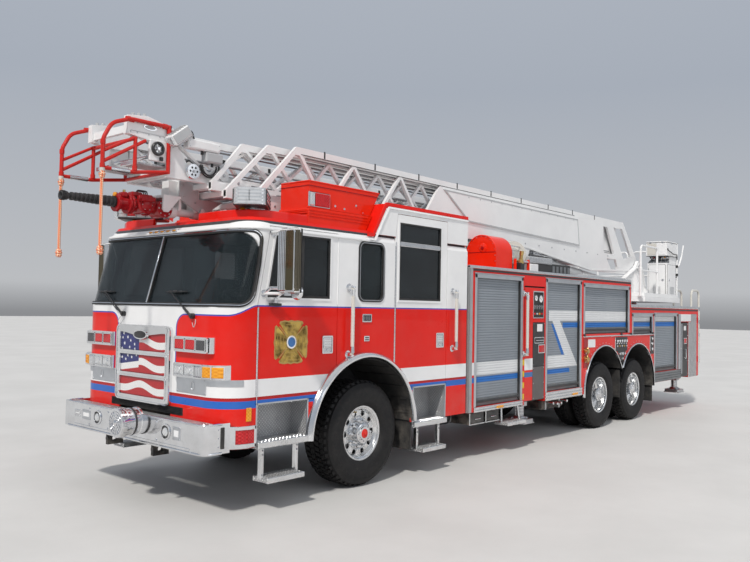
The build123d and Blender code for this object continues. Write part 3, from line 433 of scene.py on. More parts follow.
M["steel"] = metal("brushed_steel", (0.52, 0.53, 0.55), 0.28, brushed=(60, 1, 1))
M["iron"] = metal("cast_iron", (0.10, 0.10, 0.105), 0.55, amount=0.8, wear=0.2)
M["plate"] = tread_plate("tread_plate")
M["dark_plate"] = tread_plate("shaded_tread_plate", tint=(0.58, 0.59, 0.60))
M["rubber"] = plastic("black_rubber", (0.012, 0.012, 0.013), rough=0.62, grain=220.0)
M["plastic"] = plastic("black_plastic", (0.018, 0.018, 0.02), rough=0.42)
M["grey_plastic"] = plastic("grey_plastic", (0.12, 0.13, 0.14), rough=0.4)
M["liner"] = plastic("wheel_well_liner", (0.010, 0.010, 0.011), rough=0.7, amount=0.7)
M["red_lens"] = lens("red_lens", (0.42, 0.008, 0.012))
M["amber_lens"] = lens("amber_lens", (0.72, 0.26, 0.012))
M["clear_lens"] = lens("clear_lens", (0.58, 0.60, 0.62), rough=0.08, metallic=0.55)
M["dark_lens"] = lens("smoked_lens", (0.05, 0.05, 0.055))
M["blue_lens"] = lens("blue_lens", (0.02, 0.05, 0.35))


def make_tyre():
    g = Graph("tyre_rubber")
    x, y, z = g.xyz()
    n = g.noise(9.0, 6.0, 0.7)
    col = g.mix(g.span(n, 0.3, 0.75), (0.007, 0.007, 0.008), (0.019, 0.018, 0.018))
    col = g.mix(g.mul(g.span(g.noise(26.0, 5.0, 0.75), 0.5, 0.8), 0.22), col, (0.08, 0.07, 0.06))
    g.put(base_color=col, roughness=g.add(g.mul(n, 0.25), 0.52), specular_ior_level=0.3)
    g.bump(g.noise(180.0, 4.0), 0.25, 0.002)
    return g.m


def make_glass(name, tint, alpha):
    g = Graph(name)
    x, y, z = g.xyz()
    n = g.noise(3.5, 3.0)
    g.put(base_color=g.mix(g.span(n, 0.3, 0.7), tint, tuple(c * 0.55 for c in tint)), roughness=0.02,
          coat_weight=0.35, coat_roughness=0.01, specular_ior_level=0.35, alpha=alpha)
    g.bump(g.noise(1.2, 1.0), 0.02, 0.02)
    return g.m


def make_rope():
    g = Graph("orange_rope")
    x, y, z = g.xyz()
    w = g.op("SINE", g.add(g.mul(z, 150.0), g.mul(g.add(x, y), 150.0)))
    v = g.op("SINE", g.sub(g.mul(z, 150.0), g.mul(g.sub(x, y), 150.0)))
    h = g.mul(g.add(g.mul(w, v), 1.0), 0.5)
    col = g.mix(g.span(h, 0.35, 0.65), (0.72, 0.13, 0.035), (0.90, 0.62, 0.42))
    g.put(base_color=col, roughness=0.8, sheen_weight=0.3)
    g.bump(h, 0.7, 0.003)
    g.bump(g.noise(300.0, 3.0), 0.2, 0.001)
    return g.m


def make_fabric():
    g = Graph("seat_fabric")
    x, y, z = g.xyz()
    w = g.op("SINE", g.mul(g.add(x, y), 1500.0))
    v = g.op("SINE", g.mul(g.add(z, g.mul(y, 0.5)), 1500.0))
    h = g.mul(g.add(g.mul(w, v), 1.0), 0.5)
    col = g.mix(h, (0.030, 0.033, 0.042), (0.062, 0.066, 0.080))
    col = g.mix(g.span(g.noise(4.0, 4.0), 0.4, 0.8, 0.0, 0.4), col, (0.09, 0.09, 0.10))
    g.put(base_color=col, roughness=0.85, sheen_weight=0.25)
    g.bump(h, 0.4, 0.001)
    g.bump(g.noise(24.0, 3.0), 0.2, 0.004)
    return g.m


def make_flag():
    """Waved stripes with a field of stars, on the grille's fine mesh."""
    g = Graph("grille_stripes")
    x, y, z = g.xyz()
    wave = g.add(g.mul(g.op("SINE", g.add(g.mul(y, 7.4), 1.94)), 0.026), g.mul(g.op("SINE", g.add(g.mul(y, 14.0), 2.0)), 0.010))
    zz = g.sub(z, wave)
    s = g.op("FLOORED_MODULO", g.mul(g.sub(zz, 0.955), 1.0 / 0.222), 1.0)
    col = g.mix(g.band(s, 0.40, 0.71), (0.46, 0.012, 0.016), (0.82, 0.81, 0.80))
    edge = g.sub(z, g.mul(y, 0.13))
    col = g.mix(g.every(g.lt(y, -0.075), g.band(edge, 1.285, 1.348)), col, (0.82, 0.81, 0.80))
    field = g.every(g.lt(y, -0.075), g.gt(edge, 1.348))
    col = g.mix(field, col, (0.022, 0.028, 0.16))
    # the mesh's holes darkened towards black: painted shade seen through the grille
    grid = g.mul(g.op("SINE", g.mul(y, 520.0)), g.op("SINE", g.mul(z, 520.0)))
    hole = g.span(grid, 0.25, 0.75)
    col = g.mix(g.mul(hole, 0.40), col, (0.01, 0.01, 0.01))
    g.put(base_color=col, roughness=0.42, coat_weight=0.3, coat_roughness=0.2)
    g.bump(hole, -0.4, 0.002)
    return g.m


def make_leaf():
    """Burnished gold leaf: broad bright and dark patches painted in as highlights and reflections, fine grain."""
    g = Graph("gold_leaf")
    x, y, z = g.xyz()
    n = g.noise(13.0, 3.0, 0.5)
    k = g.span(n, 0.32, 0.68)
    g.put(base_color=g.mix(k, (0.17, 0.105, 0.022), (0.66, 0.45, 0.11)), roughness=g.add(g.mul(n, 0.2), 0.2), metallic=0.55)
    g.bump(g.noise(220.0, 3.0), 0.12, 0.001)
    return g.m


def make_floor():
    g = Graph("floor")
    n = g.noise(0.6, 5.0, 0.6)
    f = g.noise(30.0, 4.0, 0.6)
    col = g.mix(g.span(n, 0.3, 0.7), (0.60, 0.59, 0.575), (0.66, 0.65, 0.635))
    g.put(base_color=g.mix(g.mul(f, 0.12), col, (0.5, 0.5, 0.5)), roughness=0.62)
    g.bump(f, 0.1, 0.004)
    return g.m


M["tyre"] = make_tyre()
M["glass"] = make_glass("dark_glass", (0.012, 0.017, 0.020), 0.80)
M["windscreen"] = make_glass("windscreen_glass", (0.020, 0.030, 0.034), 0.55)
M["rope"] = make_rope()
M["fabric"] = make_fabric()
M["flag"] = make_flag()
M["gold"] = make_leaf()
M["brass"] = metal("brass", (0.60, 0.42, 0.16), 0.24)
M["mirror"] = metal("mirror_glass", (0.75, 0.77, 0.80), 0.02, wear=0.01)
M["cream"] = paint("off_white_paint", (0.62, 0.60, 0.55), rough=0.4, coat=0.3)
M["cable"] = metal("wire_rope", (0.30, 0.30, 0.31), 0.38)


# ---- mesh pieces -----------------------------------------------------------
def fillet_path(pts, radius, steps=6):
    """The polyline with its corners rounded."""
    pts = [Vector(p) for p in pts]
    out = [pts[0]]
    for a, b, c in zip(pts, pts[1:], pts[2:]):
        u, v = (a - b), (c - b)
        lu, lv = u.length, v.length
        u.normalize()
        v.normalize()
        ang = u.angle(v, pi)
        if ang > pi - 0.02 or radius <= 0:
            out.append(b)
            continue
        t = min(radius / math.tan(ang / 2), lu * 0.48, lv * 0.48)
        r = t * math.tan(ang / 2)
        mid = b + (u + v).normalized() * (r / sin(ang / 2))
        p0, p1 = b + u * t - mid, b + v * t - mid
        n = max(2, int(steps))
        for k in range(n + 1):
            w = p0.normalized().slerp(p1.normalized(), k / n) * r
            out.append(mid + w)
    out.append(pts[-1])
    return out


class Piece:
    """Collects simple solids, each with its material, and becomes one mesh object."""

    def __init__(self, name):
        self.name, self.v, self.f, self.k, self.mats = name, [], [], [], []

    def add(self, verts, faces, mat):
        if mat not in self.mats:
            self.mats.append(mat)
        k, o = self.mats.index(mat), len(self.v)
        self.v.extend((float(p[0]), float(p[1]), float(p[2])) for p in verts)
        for f in faces:
            self.f.append([o + i for i in f])
            self.k.append(k)

    def hull(self, verts, faces, mat, m=None):
        """A convex solid: its faces are turned outwards."""
        vs = [Vector(p) for p in verts]
        mid = sum(vs, Vector()) / len(vs)
        out = []
        for f in faces:
            a, b, c = vs[f[0]], vs[f[1]], vs[f[2]]
            n = (b - a).cross(c - a)
            out.append(list(f) if n.dot(a - mid) >= 0 else list(reversed(f)))
        if m is not None:
            vs = [m @ p for p in vs]
        self.add(vs, out, mat)

    def box(self, x0, x1, y0, y1, z0, z1, mat, c=0.0, m=None):
        lo = (min(x0, x1), min(y0, y1), min(z0, z1))
        hi = (max(x0, x1), max(y0, y1), max(z0, z1))
        c = min(c, *[(h - l) * 0.45 for l, h in zip(lo, hi)])
        S = (-1, 1)
        if c <= 0:
            vs = [((lo, hi)[(a + 1) // 2][0], (lo, hi)[(b + 1) // 2][1], (lo, hi)[(d + 1) // 2][2]) for a in S for b in S for d in S]
            fs = [(0, 1, 3, 2), (4, 6, 7, 5), (0, 4, 5, 1), (2, 3, 7, 6), (0, 2, 6, 4), (1, 5, 7, 3)]
            self.hull(vs, fs, mat, m)
            return
        vs, idx = [], {}
        for a in S:
            for b in S:
                for d in S:
                    s = (a, b, d)
                    for ax in range(3):
                        p = [0, 0, 0]
                        for i in range(3):
                            e = hi[i] if s[i] > 0 else lo[i]
                            p[i] = e if i == ax else e - s[i] * c
                        idx[(s, ax)] = len(vs)
                        vs.append(tuple(p))
        fs = []
        for ax in range(3):
            o1, o2 = [i for i in range(3) if i != ax]
            for s0 in S:
                quad = []
                for s1, s2 in ((-1, -1), (1, -1), (1, 1), (-1, 1)):
                    s = [0, 0, 0]
                    s[ax], s[o1], s[o2] = s0, s1, s2
                    quad.append(idx[(tuple(s), ax)])
                fs.append(quad)
            # edges along ax
            for s1 in S:
                for s2 in S:
                    e = []
                    for s0 in S:
                        s = [0, 0, 0]
                        s[ax], s[o1], s[o2] = s0, s1, s2
                        e.append(tuple(s))
                    fs.append([idx[(e[0], o1)], idx[(e[1], o1)], idx[(e[1], o2)], idx[(e[0], o2)]])
        for a in S:
            for b in S:
                for d in S:
                    fs.append([idx[((a, b, d), ax)] for ax in range(3)])
        self.hull(vs, fs, mat, m)

    def beam(self, a, b, w, h, mat, up=(0, 0, 1), c=0.0):
        """A bar of section w × h from a to b; h is along up."""
        a, b = Vector(a), Vector(b)
        x = (b - a).normalized()
        z = Vector(up) - x * Vector(up).dot(x)
        if z.length < 1e-6:
            z = Vector((1, 0, 0)) - x * x.x
        z.normalize()
        y = z.cross(x)
        m = Matrix((x, y, z)).transposed().to_4x4()
        m.translation = a
        self.box(0, (b - a).length, -w / 2, w / 2, -h / 2, h / 2, mat, c, m)

    def rod(self, a, b, r, mat, n=14, r2=None, caps=True):
        a, b = Vector(a), Vector(b)
        r2 = r if r2 is None else r2
        q = (b - a).to_track_quat("Z", "Y")
        vs = []
        for p, rr in ((a, r), (b, r2)):
            for k in range(n):
                t = 2 * pi * k / n
                vs.append(p + q @ Vector((rr * cos(t), rr * sin(t), 0)))
        fs = [(k, (k + 1) % n, n + (k + 1) % n, n + k) for k in range(n)]
        if caps:
            fs += [tuple(reversed(range(n))), tuple(range(n, 2 * n))]
        self.add(vs, fs, mat)

    def pipe(self, pts, r, mat, bend=0.0, n=10, steps=5, closed=False):
        path = fillet_path(pts, bend, steps) if bend else [Vector(p) for p in pts]
        cnt = len(path)
        prev = None
        rings = []
        for i, p in enumerate(path):
            t = (path[min(i + 1, cnt - 1)] - path[max(i - 1, 0)]).normalized()
            if prev is None:
                u = t.orthogonal().normalized()
            else:
                u = (prev - t * prev.dot(t)).normalized()
            prev = u
            w = t.cross(u)
            rings.append([p + (u * cos(2 * pi * k / n) + w * sin(2 * pi * k / n)) * r for k in range(n)])
        vs = [q for ring in rings for q in ring]
        fs = []
        for i in range(cnt - 1):
            for k in range(n):
                a, b = i * n + k, i * n + (k + 1) % n
                fs.append((a, b, b + n, a + n))
        fs += [tuple(reversed(range(n))), tuple((cnt - 1) * n + k for k in range(n))]
        self.add(vs, fs, mat)

    def ribbon(self, path, section, mat, up=(0, 0, 1), closed=False):
        """Sweeps a flat section [(side, up), ...] along path, kept upright."""
        path = [Vector(p) for p in path]
        cnt, n = len(path), len(section)
        vs = []
        for i, p in enumerate(path):
            if closed:
                t = path[(i + 1) % cnt] - path[(i - 1) % cnt]
            else:
                t = path[min(i + 1, cnt - 1)] - path[max(i - 1, 0)]
            t.normalize()
            u = Vector(up[i]) if isinstance(up, list) else Vector(up)
            u = (u - t * u.dot(t)).normalized()
            s = t.cross(u)
            for a, b in section:
                vs.append(p + s * a + u * b)
        fs = []
        for i in range(cnt if closed else cnt - 1):
            j = (i + 1) % cnt
            for k in range(n):
                l = (k + 1) % n
                fs.append((i * n + k, i * n + l, j * n + l, j * n + k))
        if not closed:
            fs += [tuple(reversed(range(n))), tuple((cnt - 1) * n + k for k in range(n))]
        self.add(vs, fs, mat)

    def lathe(self, profile, centre, axis, mat, n=40, t0=0.0, t1=2 * pi, closed=True):
        """profile is [(along axis, radius)], turned about axis ('X', 'Y' or 'Z', or a vector) through centre."""
        axis = {"X": (1, 0, 0), "Y": (0, 1, 0), "Z": (0, 0, 1)}.get(axis, axis)
        ax = Vector(axis).normalized()
        u = Vector((0, 0, 1)) if abs(ax.z) < 0.9 else Vector((1, 0, 0))
        u = (u - ax * u.dot(ax)).normalized()
        w = ax.cross(u)
        c = Vector(centre)
        whole = abs(t1 - t0 - 2 * pi) < 1e-6
        cnt, m = (n if whole else n + 1), len(profile)
        vs = []
        for i in range(cnt):
            t = t0 + (t1 - t0) * i / n
            d = u * cos(t) + w * sin(t)
            vs += [c + ax * a + d * r for a, r in profile]
        fs = []
        last = m if closed else m - 1
        for i in range(n):
            j = (i + 1) % cnt
            for k in range(last):
                l = (k + 1) % m
                fs.append((i * m + k, i * m + l, j * m + l, j * m + k))
        if not whole and closed:
            fs += [tuple(range(m)), tuple(reversed(range((cnt - 1) * m, cnt * m)))]
        self.add(vs, fs, mat)

    def disc(self, centre, axis, r, h, mat, n=24, c=0.0):
        """A round plate of thickness h from centre along axis, its far edge chamfered by c."""
        prof = [(0, 0.0005), (0, r), (h - c, r), (h, r - c), (h, 0.0005)] if c else [(0, 0.0005), (0, r), (h, r), (h, 0.0005)]
        self.lathe(prof, centre, axis, mat, n=n)

    def prism(self, pts, plane, lo, hi, mat):
        """A flat outline spread from lo to hi: plane 'XZ' spreads along Y, 'YZ' along X, 'XY' along Z."""
        def at(p, h):
            return {"XZ": (p[0], h, p[1]), "YZ": (h, p[0], p[1]), "XY": (p[0], p[1], h)}[plane]
        n = len(pts)
        vs = [at(p, lo) for p in pts] + [at(p, hi) for p in pts]
        fs = [(k, (k + 1) % n, n + (k + 1) % n, n + k) for k in range(n)]
        fs += [tuple(reversed(range(n))), tuple(range(n, 2 * n))]
        self.add(vs, fs, mat)

    def frame(self, outer, inner, plane, lo, hi, mat):
        """A flat ring between two outlines with as many points."""
        def at(p, h):
            return {"XZ": (p[0], h, p[1]), "YZ": (h, p[0], p[1]), "XY": (p[0], p[1], h)}[plane]
        n = len(outer)
        vs = [at(p, lo) for p in outer] + [at(p, lo) for p in inner] + [at(p, hi) for p in outer] + [at(p, hi) for p in inner]
        fs = []
        for k in range(n):
            l = (k + 1) % n
            fs += [(k, l, n + l, n + k), (2 * n + k, 3 * n + k, 3 * n + l, 2 * n + l),
                   (k, 2 * n + k, 2 * n + l, l), (n + k, n + l, 3 * n + l, 3 * n + k)]
        self.add(vs, fs, mat)

    def bolt(self, p, axis, r, h, mat):
        p, a = Vector(p), Vector(axis).normalized()
        self.rod(p, p + a * h * 0.35, r * 1.25, mat, n=12)
        self.rod(p, p + a * h, r, mat, n=6, r2=r * 0.92)

    def finish(self, body, replaces=(), bevel=0.0, angle=32.0, segments=2):
        me = bpy.data.meshes.new(self.name)
        me.from_pydata([(p[0] + XF, p[1], p[2]) for p in self.v], [], self.f)
        for mat in self.mats:
            me.materials.append(M[mat])
        me.polygons.foreach_set("material_index", self.k)
        me.update()
        bm = bmesh.new()
        bm.from_mesh(me)
        bmesh.ops.recalc_face_normals(bm, faces=bm.faces)
        bm.to_mesh(me)
        bm.free()
        me.shade_smooth()
        me.set_sharp_from_angle(angle=radians(angle))
        ob = bpy.data.objects.new(self.name, me)
        bpy.context.scene.collection.objects.link(ob)
        if bevel:
            b = ob.modifiers.new("edge", "BEVEL")
            b.width, b.segments, b.limit_method, b.angle_limit = bevel, segments, "ANGLE", radians(40)
            b.harden_normals = False
        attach(ob, body)
        if replaces:
            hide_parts(*replaces)
        return ob


def rounded(x0, x1, z0, z1, r, n=6):
    """Outline of a rounded rectangle."""
    out = []
    for cx, cz, a in ((x1 - r, z1 - r, 0), (x0 + r, z1 - r, 90), (x0 + r, z0 + r, 180), (x1 - r, z0 + r, 270)):
        for k in range(n + 1):
            t = radians(a + 90 * k / n)
            out.append((cx + r * cos(t), cz + r * sin(t)))
    return out


SIDES = (("left", 1), ("right", -1))

# ---- CAD nodes keep their shape and take a finish ----------------------------
FINISH = {
    "cab_shell": "cab", "cab_glass": "windscreen", "dashboard": "plastic", "engine": "iron", "grille_and_headlights": "chrome",
    "front_bumper": "chrome", "roof_boxes": "orange_red", "lightbars": "clear_lens", "cab_steps": "plate", "chassis_frame": "black",
    "front_axle": "black", "drive_axles": "black", "body": "body", "hose_reel": "orange_red", "grab_rails": "cream",
    "turntable": "white", "operator_console": "white", "ladder_base_section": "white", "ladder_second_section": "white",
    "ladder_third_section": "white", "ladder_fly_section": "white", "tip_rails": "orange_red", "water_monitor": "monitor",
    "lift_cylinder_barrels": "white", "lift_cylinder_rods": "chrome", "left_knuckle": "iron", "right_knuckle": "iron",
    "rope_knots": "rope",
}
for _s in ("left", "right"):
    FINISH[f"front_{_s}_rim"] = "aluminium"
    for _n in "23":
        FINISH[f"axle_{_n}_{_s}_rims"] = "aluminium"
    for _f in ("front", "rear"):
        FINISH[f"{_f}_{_s}_door"] = "cab"
        FINISH[f"{_f}_{_s}_door_glass"] = "glass"
        FINISH[f"{_f}_{_s}_outrigger"] = "black"
        FINISH[f"{_f}_{_s}_jack"] = "steel"
for name, mat in FINISH.items():
    ob = NODES[name]
    ob.data.materials.clear()
    ob.data.materials.append(M[mat])


# ---- wheels ------------------------------------------------------------------
RIM_R = 0.286


def crown(a, h, r):
    """Radius of the tread's outer face at |a| from the tyre's middle."""
    a = abs(a) / h
    pts = [(0.0, r), (0.62, r - 0.002), (0.80, r - 0.012), (0.93, r - 0.045), (1.0, r - 0.10)]
    for (p, q), (u, v) in zip(pts, pts[1:]):
        if a <= u:
            return q + (v - q) * (a - p) / (u - p)
    return pts[-1][1]


def tyre_mesh(pc, x, y, r, w, zc, lugs):
    """Carcass with sidewall rings and moulded tread blocks."""
    h = w / 2
    side = [(-0.66, RIM_R + 0.001), (-0.80, RIM_R + 0.010), (-0.93, RIM_R + 0.045), (-0.965, RIM_R + 0.060), (-0.962, RIM_R + 0.066), (-0.985, RIM_R + 0.085),
            (-1.0, RIM_R + 0.125), (-0.996, r - 0.125), (-0.985, r - 0.105), (-0.99, r - 0.100), (-0.965, r - 0.075), (-0.90, r - 0.055), (-0.84, r - 0.030)]
    tread = []
    for a in (-0.80, -0.55, -0.28, 0.0, 0.28, 0.55, 0.80):
        tread.append((a, crown(a * h, h, r) - 0.016))
    prof = side + tread + [(-a, q) for a, q in reversed(side)]
    prof = [(a * h, q) for a, q in prof] + [(0.60 * h, RIM_R - 0.004), (-0.60 * h, RIM_R - 0.004)]
    pc.lathe(prof, (x, y, zc), "Y", "tyre", n=72)
    rows = lugs
    for a0, a1, count, shift, skew, fill in rows:
        step = 2 * pi / count
        for k in range(count):
            t = step * (k + shift)
            vs = []
            for a, s in ((a0, -skew), (a1, skew)):
                a *= h
                for e in (0.0, fill):
                    ang = t + step * (e + s)
                    for top in (0, 1):
                        rr = crown(a, h, r) - (0.0 if top else 0.022)
                        ang2 = ang + (0.03 * step if (top and e == 0.0) else -0.03 * step if top else 0)
                        vs.append((x + rr * sin(ang2), y + a, zc + rr * cos(ang2)))
            fs = [(0, 1, 3, 2), (4, 6, 7, 5), (0, 4, 5, 1), (2, 3, 7, 6), (0, 2, 6, 4), (1, 5, 7, 3)]
            pc.hull(vs, fs, "tyre")


STEER_ROWS = [(-0.99, -0.66, 46, 0.0, 0.10, 0.62), (-0.60, -0.36, 58, 0.3, 0.14, 0.74), (-0.31, -0.03, 58, 0.6, -0.16, 0.76),
              (0.03, 0.31, 58, 0.1, 0.16, 0.76), (0.36, 0.60, 58, 0.5, -0.14, 0.74), (0.66, 0.99, 46, 0.5, -0.10, 0.62)]
DRIVE_ROWS = [(-1.0, -0.58, 38, 0.0, 0.12, 0.60), (-0.52, -0.06, 48, 0.4, 0.20, 0.72), (0.06, 0.52, 48, 0.0, -0.20, 0.72), (0.58, 1.0, 38, 0.5, -0.12, 0.60)]


def wheel_trim(pc, x, y, s, w, zc, dish, hub, front):
    """Rim lip, stud nuts, hub cap and valve on the outer side of a wheel."""
    h = w / 2
    lip = y + s * (h * 0.66)
    S = lambda prof: [(s * a, r) for a, r in prof]
    pc.lathe(S([(-0.010, RIM_R - 0.016), (0.010, RIM_R - 0.018), (0.017, RIM_R - 0.010), (0.019, RIM_R + 0.004), (0.012, RIM_R + 0.012), (-0.004, RIM_R + 0.010), (-0.010, RIM_R)]),
             (x, lip, zc), "Y", "aluminium", n=64)
    # stepped inner barrel between the lip and the disc
    d = y + s * dish
    depth = s * (lip - d)
    pc.lathe(S([(0.0, RIM_R - 0.012), (0.0, RIM_R - 0.050), (0.012, RIM_R - 0.040), (0.030, RIM_R - 0.028), (max(0.034, depth - 0.02), RIM_R - 0.018), (max(0.036, depth - 0.01), RIM_R - 0.012)]),
             (x, d, zc), "Y", "aluminium", n=64)
    # raised bead round each hand hole, and the stud circle
    for k in range(10):
        t = 2 * pi * (k + 0.5) / 10
        p = Vector((x + 0.1425 * sin(t), d + s * 0.001, zc + 0.1425 * cos(t)))
        pc.rod(p, p + Vector((0, s * 0.010, 0)), 0.024, "chrome", n=16)
        pc.rod(p, p + Vector((0, s * 0.046, 0)), 0.0195, "chrome", n=6, r2=0.018)
        pc.rod(p + Vector((0, s * 0.046, 0)), p + Vector((0, s * 0.058, 0)), 0.0165, "chrome", n=12, r2=0.008)
        t = 2 * pi * k / 10
        c = (x + 0.212 * sin(t), d, zc + 0.212 * cos(t))
        pc.lathe(S([(0.0, 0.030), (0.005, 0.032), (0.005, 0.037), (0.0, 0.040)]), c, "Y", "aluminium", n=18)
    pc.lathe(S([(0.0, 0.168), (0.005, 0.172), (0.007, 0.178), (0.0, 0.184)]), (x, d, zc), "Y", "aluminium", n=48)
    e = y + s * hub
    top = 0.0 if front else 0.0
    pc.lathe(S([(-0.060, 0.100), (-0.012, 0.100), (-0.012, 0.106), (0.004, 0.104), (0.010, 0.092), (0.012, 0.074), (0.020, 0.070), (0.022, 0.050), (0.002, 0.046)]),
             (x, e, zc), "Y", "chrome", n=48)
    pc.disc((x, e + s * 0.001, zc), (0, s, 0), 0.048, 0.026, "red" if front else "chrome", n=32, c=0.006)
    if front:
        pc.disc((x, e + s * 0.026, zc), (0, s, 0), 0.018, 0.012, "red", n=20, c=0.004)
    for k in range(8):
        t = 2 * pi * k / 8
        p = (x + 0.084 * sin(t), e + s * 0.008, zc + 0.084 * cos(t))
        pc.bolt(p, (0, s, 0), 0.0075, 0.010, "dull_chrome")
    a = 0.35
    pc.rod((x + 0.24 * sin(a), d + s * 0.002, zc + 0.24 * cos(a)), (x + 0.245 * sin(a), d + s * 0.05, zc + 0.245 * cos(a)), 0.006, "brass", n=8)


for word, s in SIDES:
    pc = Piece(f"front_{word}_tyre_tread")
    tyre_mesh(pc, 0.0, s * 1.010, 0.563, 0.420, 0.563, STEER_ROWS)
    pc.finish(f"front_{word}_wheel", replaces=(f"front_{word}_tyre",), angle=40)
    pc = Piece(f"front_{word}_wheel_trim")
    wheel_trim(pc, 0.0, s * 1.010, s, 0.420, 0.563, 0.105, 0.178, True)
    pc.finish(f"front_{word}_wheel", angle=28)
    for n, ax in (("2", -5.804), ("3", -7.174)):
        pc = Piece(f"axle_{n}_{word}_tyre_tread")
        tyre_mesh(pc, ax, s * 1.073, 0.542, 0.290, 0.542, DRIVE_ROWS)
        tyre_mesh(pc, ax, s * 0.730, 0.542, 0.290, 0.542, DRIVE_ROWS)
        pc.finish(f"axle_{n}_{word}_wheels", replaces=(f"axle_{n}_{word}_tyres",), angle=40)
        pc = Piece(f"axle_{n}_{word}_wheel_trim")
        wheel_trim(pc, ax, s * 1.073, s, 0.290, 0.542, -0.060, 0.100, False)
        pc.finish(f"axle_{n}_{word}_wheels", angle=28)

# ---- roller shutters -----------------------------------------------------------
SHUTTERS = [(-3.160, -1.980, 0.670, 2.360), (-4.950, -3.820, 0.730, 2.370), (-6.790, -5.030, 1.550, 2.340),
            (-7.880, -6.920, 1.520, 1.880), (-9.130, -7.930, 0.800, 1.890)]
pc = Piece("shutter_slats")
SLAT = 0.0335
for word, s in SIDES:
    for x0, x1, z0, z1 in SHUTTERS:
        a, b = x0 + 0.006, x1 - 0.006
        bar = z0 + 0.10
        count = int((z1 - bar) / SLAT)
        zs, prof = bar, []
        for i in range(count + 1):
            q0 = z1 - 0.004 if i == count else min(zs + SLAT, z1 - 0.004)
            prof += [(1.2215, zs + 0.0012), (1.2285, zs + 0.0045), (1.2300, (zs + q0) / 2), (1.2285, q0 - 0.0045), (1.2215, q0 - 0.0012)]
            zs = q0
            if zs >= z1 - 0.006:
                break
        prof = prof + [(1.204, z1 - 0.004), (1.204, bar)]
        n = len(prof)
        vs = [(x, s * y, z) for x in (a, b) for y, z in prof]
        fs = [(k, (k + 1) % n, n + (k + 1) % n, n + k) for k in range(n)]
        fs += [tuple(reversed(range(n))), tuple(range(n, 2 * n))]
        pc.add(vs, fs, "shutter")
        # bottom bar with its grip rail
        pc.box(a, b, s * 1.204, s * 1.240, z0 + 0.004, bar, "grey_plastic", c=0.005)
        pc.rod((a + 0.04, s * 1.252, z0 + 0.062), (b - 0.04, s * 1.252, z0 + 0.062), 0.016, "plastic", n=12)
        for x in (a + 0.03, b - 0.03):
            pc.box(x - 0.03, x + 0.03, s * 1.235, s * 1.262, z0 + 0.03, bar - 0.008, "plastic", c=0.006)
pc.finish("truck", replaces=("roller_shutters",), angle=25)

pc = Piece("shutter_frames")
for word, s in SIDES:
    for x0, x1, z0, z1 in SHUTTERS:
        w, d0, d1 = 0.042, s * 1.236, s * 1.280
        pc.box(x0 - 0.004, x0 + w, d0, d1, z0, z1, "satin", c=0.004)
        pc.box(x1 - w, x1 + 0.004, d0, d1, z0, z1, "satin", c=0.004)
        pc.box(x0 - 0.004, x1 + 0.004, d0, d1, z1 - 0.048, z1 + 0.006, "satin", c=0.004)
        for x in (x0 + w, x1 - w):
            pc.box(x - 0.004, x + 0.004, s * 1.228, s * 1.262, z0 + 0.004, z1 - 0.05, "rubber", c=0.001)
pc.finish("truck")

# ---- seats -------------------------------------------------------------------
SEATS = [(0.800, 0.830, 1, 1.600), (0.800, -0.830, 1, 1.600), (0.060, 0.830, -1, 1.600), (0.060, -0.830, -1, 1.600),
         (-1.440, 0.880, 1, 1.560), (-1.440, 0.300, 1, 1.560), (-1.440, -0.300, 1, 1.560), (-1.440, -0.880, 1, 1.560)]


def cushion(name, size, place, tilt, body, crown_by=0.022, channels=3):
    """A crowned pad with pulled-in sides and sewn channels, thick along its local Z."""
    sx, sy, sz = size
    bm = bmesh.new()
    n = 14
    grid = {}
    for side in (1, -1):
        for i in range(n + 1):
            for j in range(n + 1):
                u, v = i / n * 2 - 1, j / n * 2 - 1
                edge = (1 - abs(u) ** 6) * (1 - abs(v) ** 6)
                # sides pull in between the corners
                px = sx / 2 * u * (1 - 0.035 * (1 - v * v) * abs(u) ** 3)
                py = sy / 2 * v * (1 - 0.035 * (1 - u * u) * abs(v) ** 3)
                top = sz / 2 - 0.022 + 0.022 * edge ** 0.5 + (crown_by * (1 - u * u) * (1 - v * v) if side > 0 else 0)
                if side > 0:
                    for c in range(1, channels + 1):
                        cv = -1 + 2 * c / (channels + 1)
                        top -= 0.010 * math.exp(-((v - cv) / 0.05) ** 2) * edge
                grid[(side, i, j)] = bm.verts.new((px, py, side * top))
    for side in (1, -1):
        for i in range(n):
            for j in range(n):
                q = [grid[(side, i, j)], grid[(side, i + 1, j)], grid[(side, i + 1, j + 1)], grid[(side, i, j + 1)]]
                bm.faces.new(q if side > 0 else list(reversed(q)))
    rim = [(i, 0) for i in range(n)] + [(n, j) for j in range(n)] + [(i, n) for i in range(n, 0, -1)] + [(0, j) for j in range(n, 0, -1)]
    for k in range(len(rim)):
        a, b = rim[k], rim[(k + 1) % len(rim)]
        bm.faces.new([grid[(1, *b)], grid[(1, *a)], grid[(-1, *a)], grid[(-1, *b)]])
    bmesh.ops.recalc_face_normals(bm, faces=bm.faces)
    m = Matrix.Translation(Vector(place) + Vector((XF, 0, 0))) @ tilt
    bm.transform(m)
    me = bpy.data.meshes.new(name)
    bm.to_mesh(me)
    bm.free()
    me.materials.append(M["fabric"])
    me.shade_smooth()
    ob = bpy.data.objects.new(name, me)
    bpy.context.scene.collection.objects.link(ob)
    sub = ob.modifiers.new("smooth", "SUBSURF")
    sub.levels = sub.render_levels = 1
    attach(ob, body)
    return ob


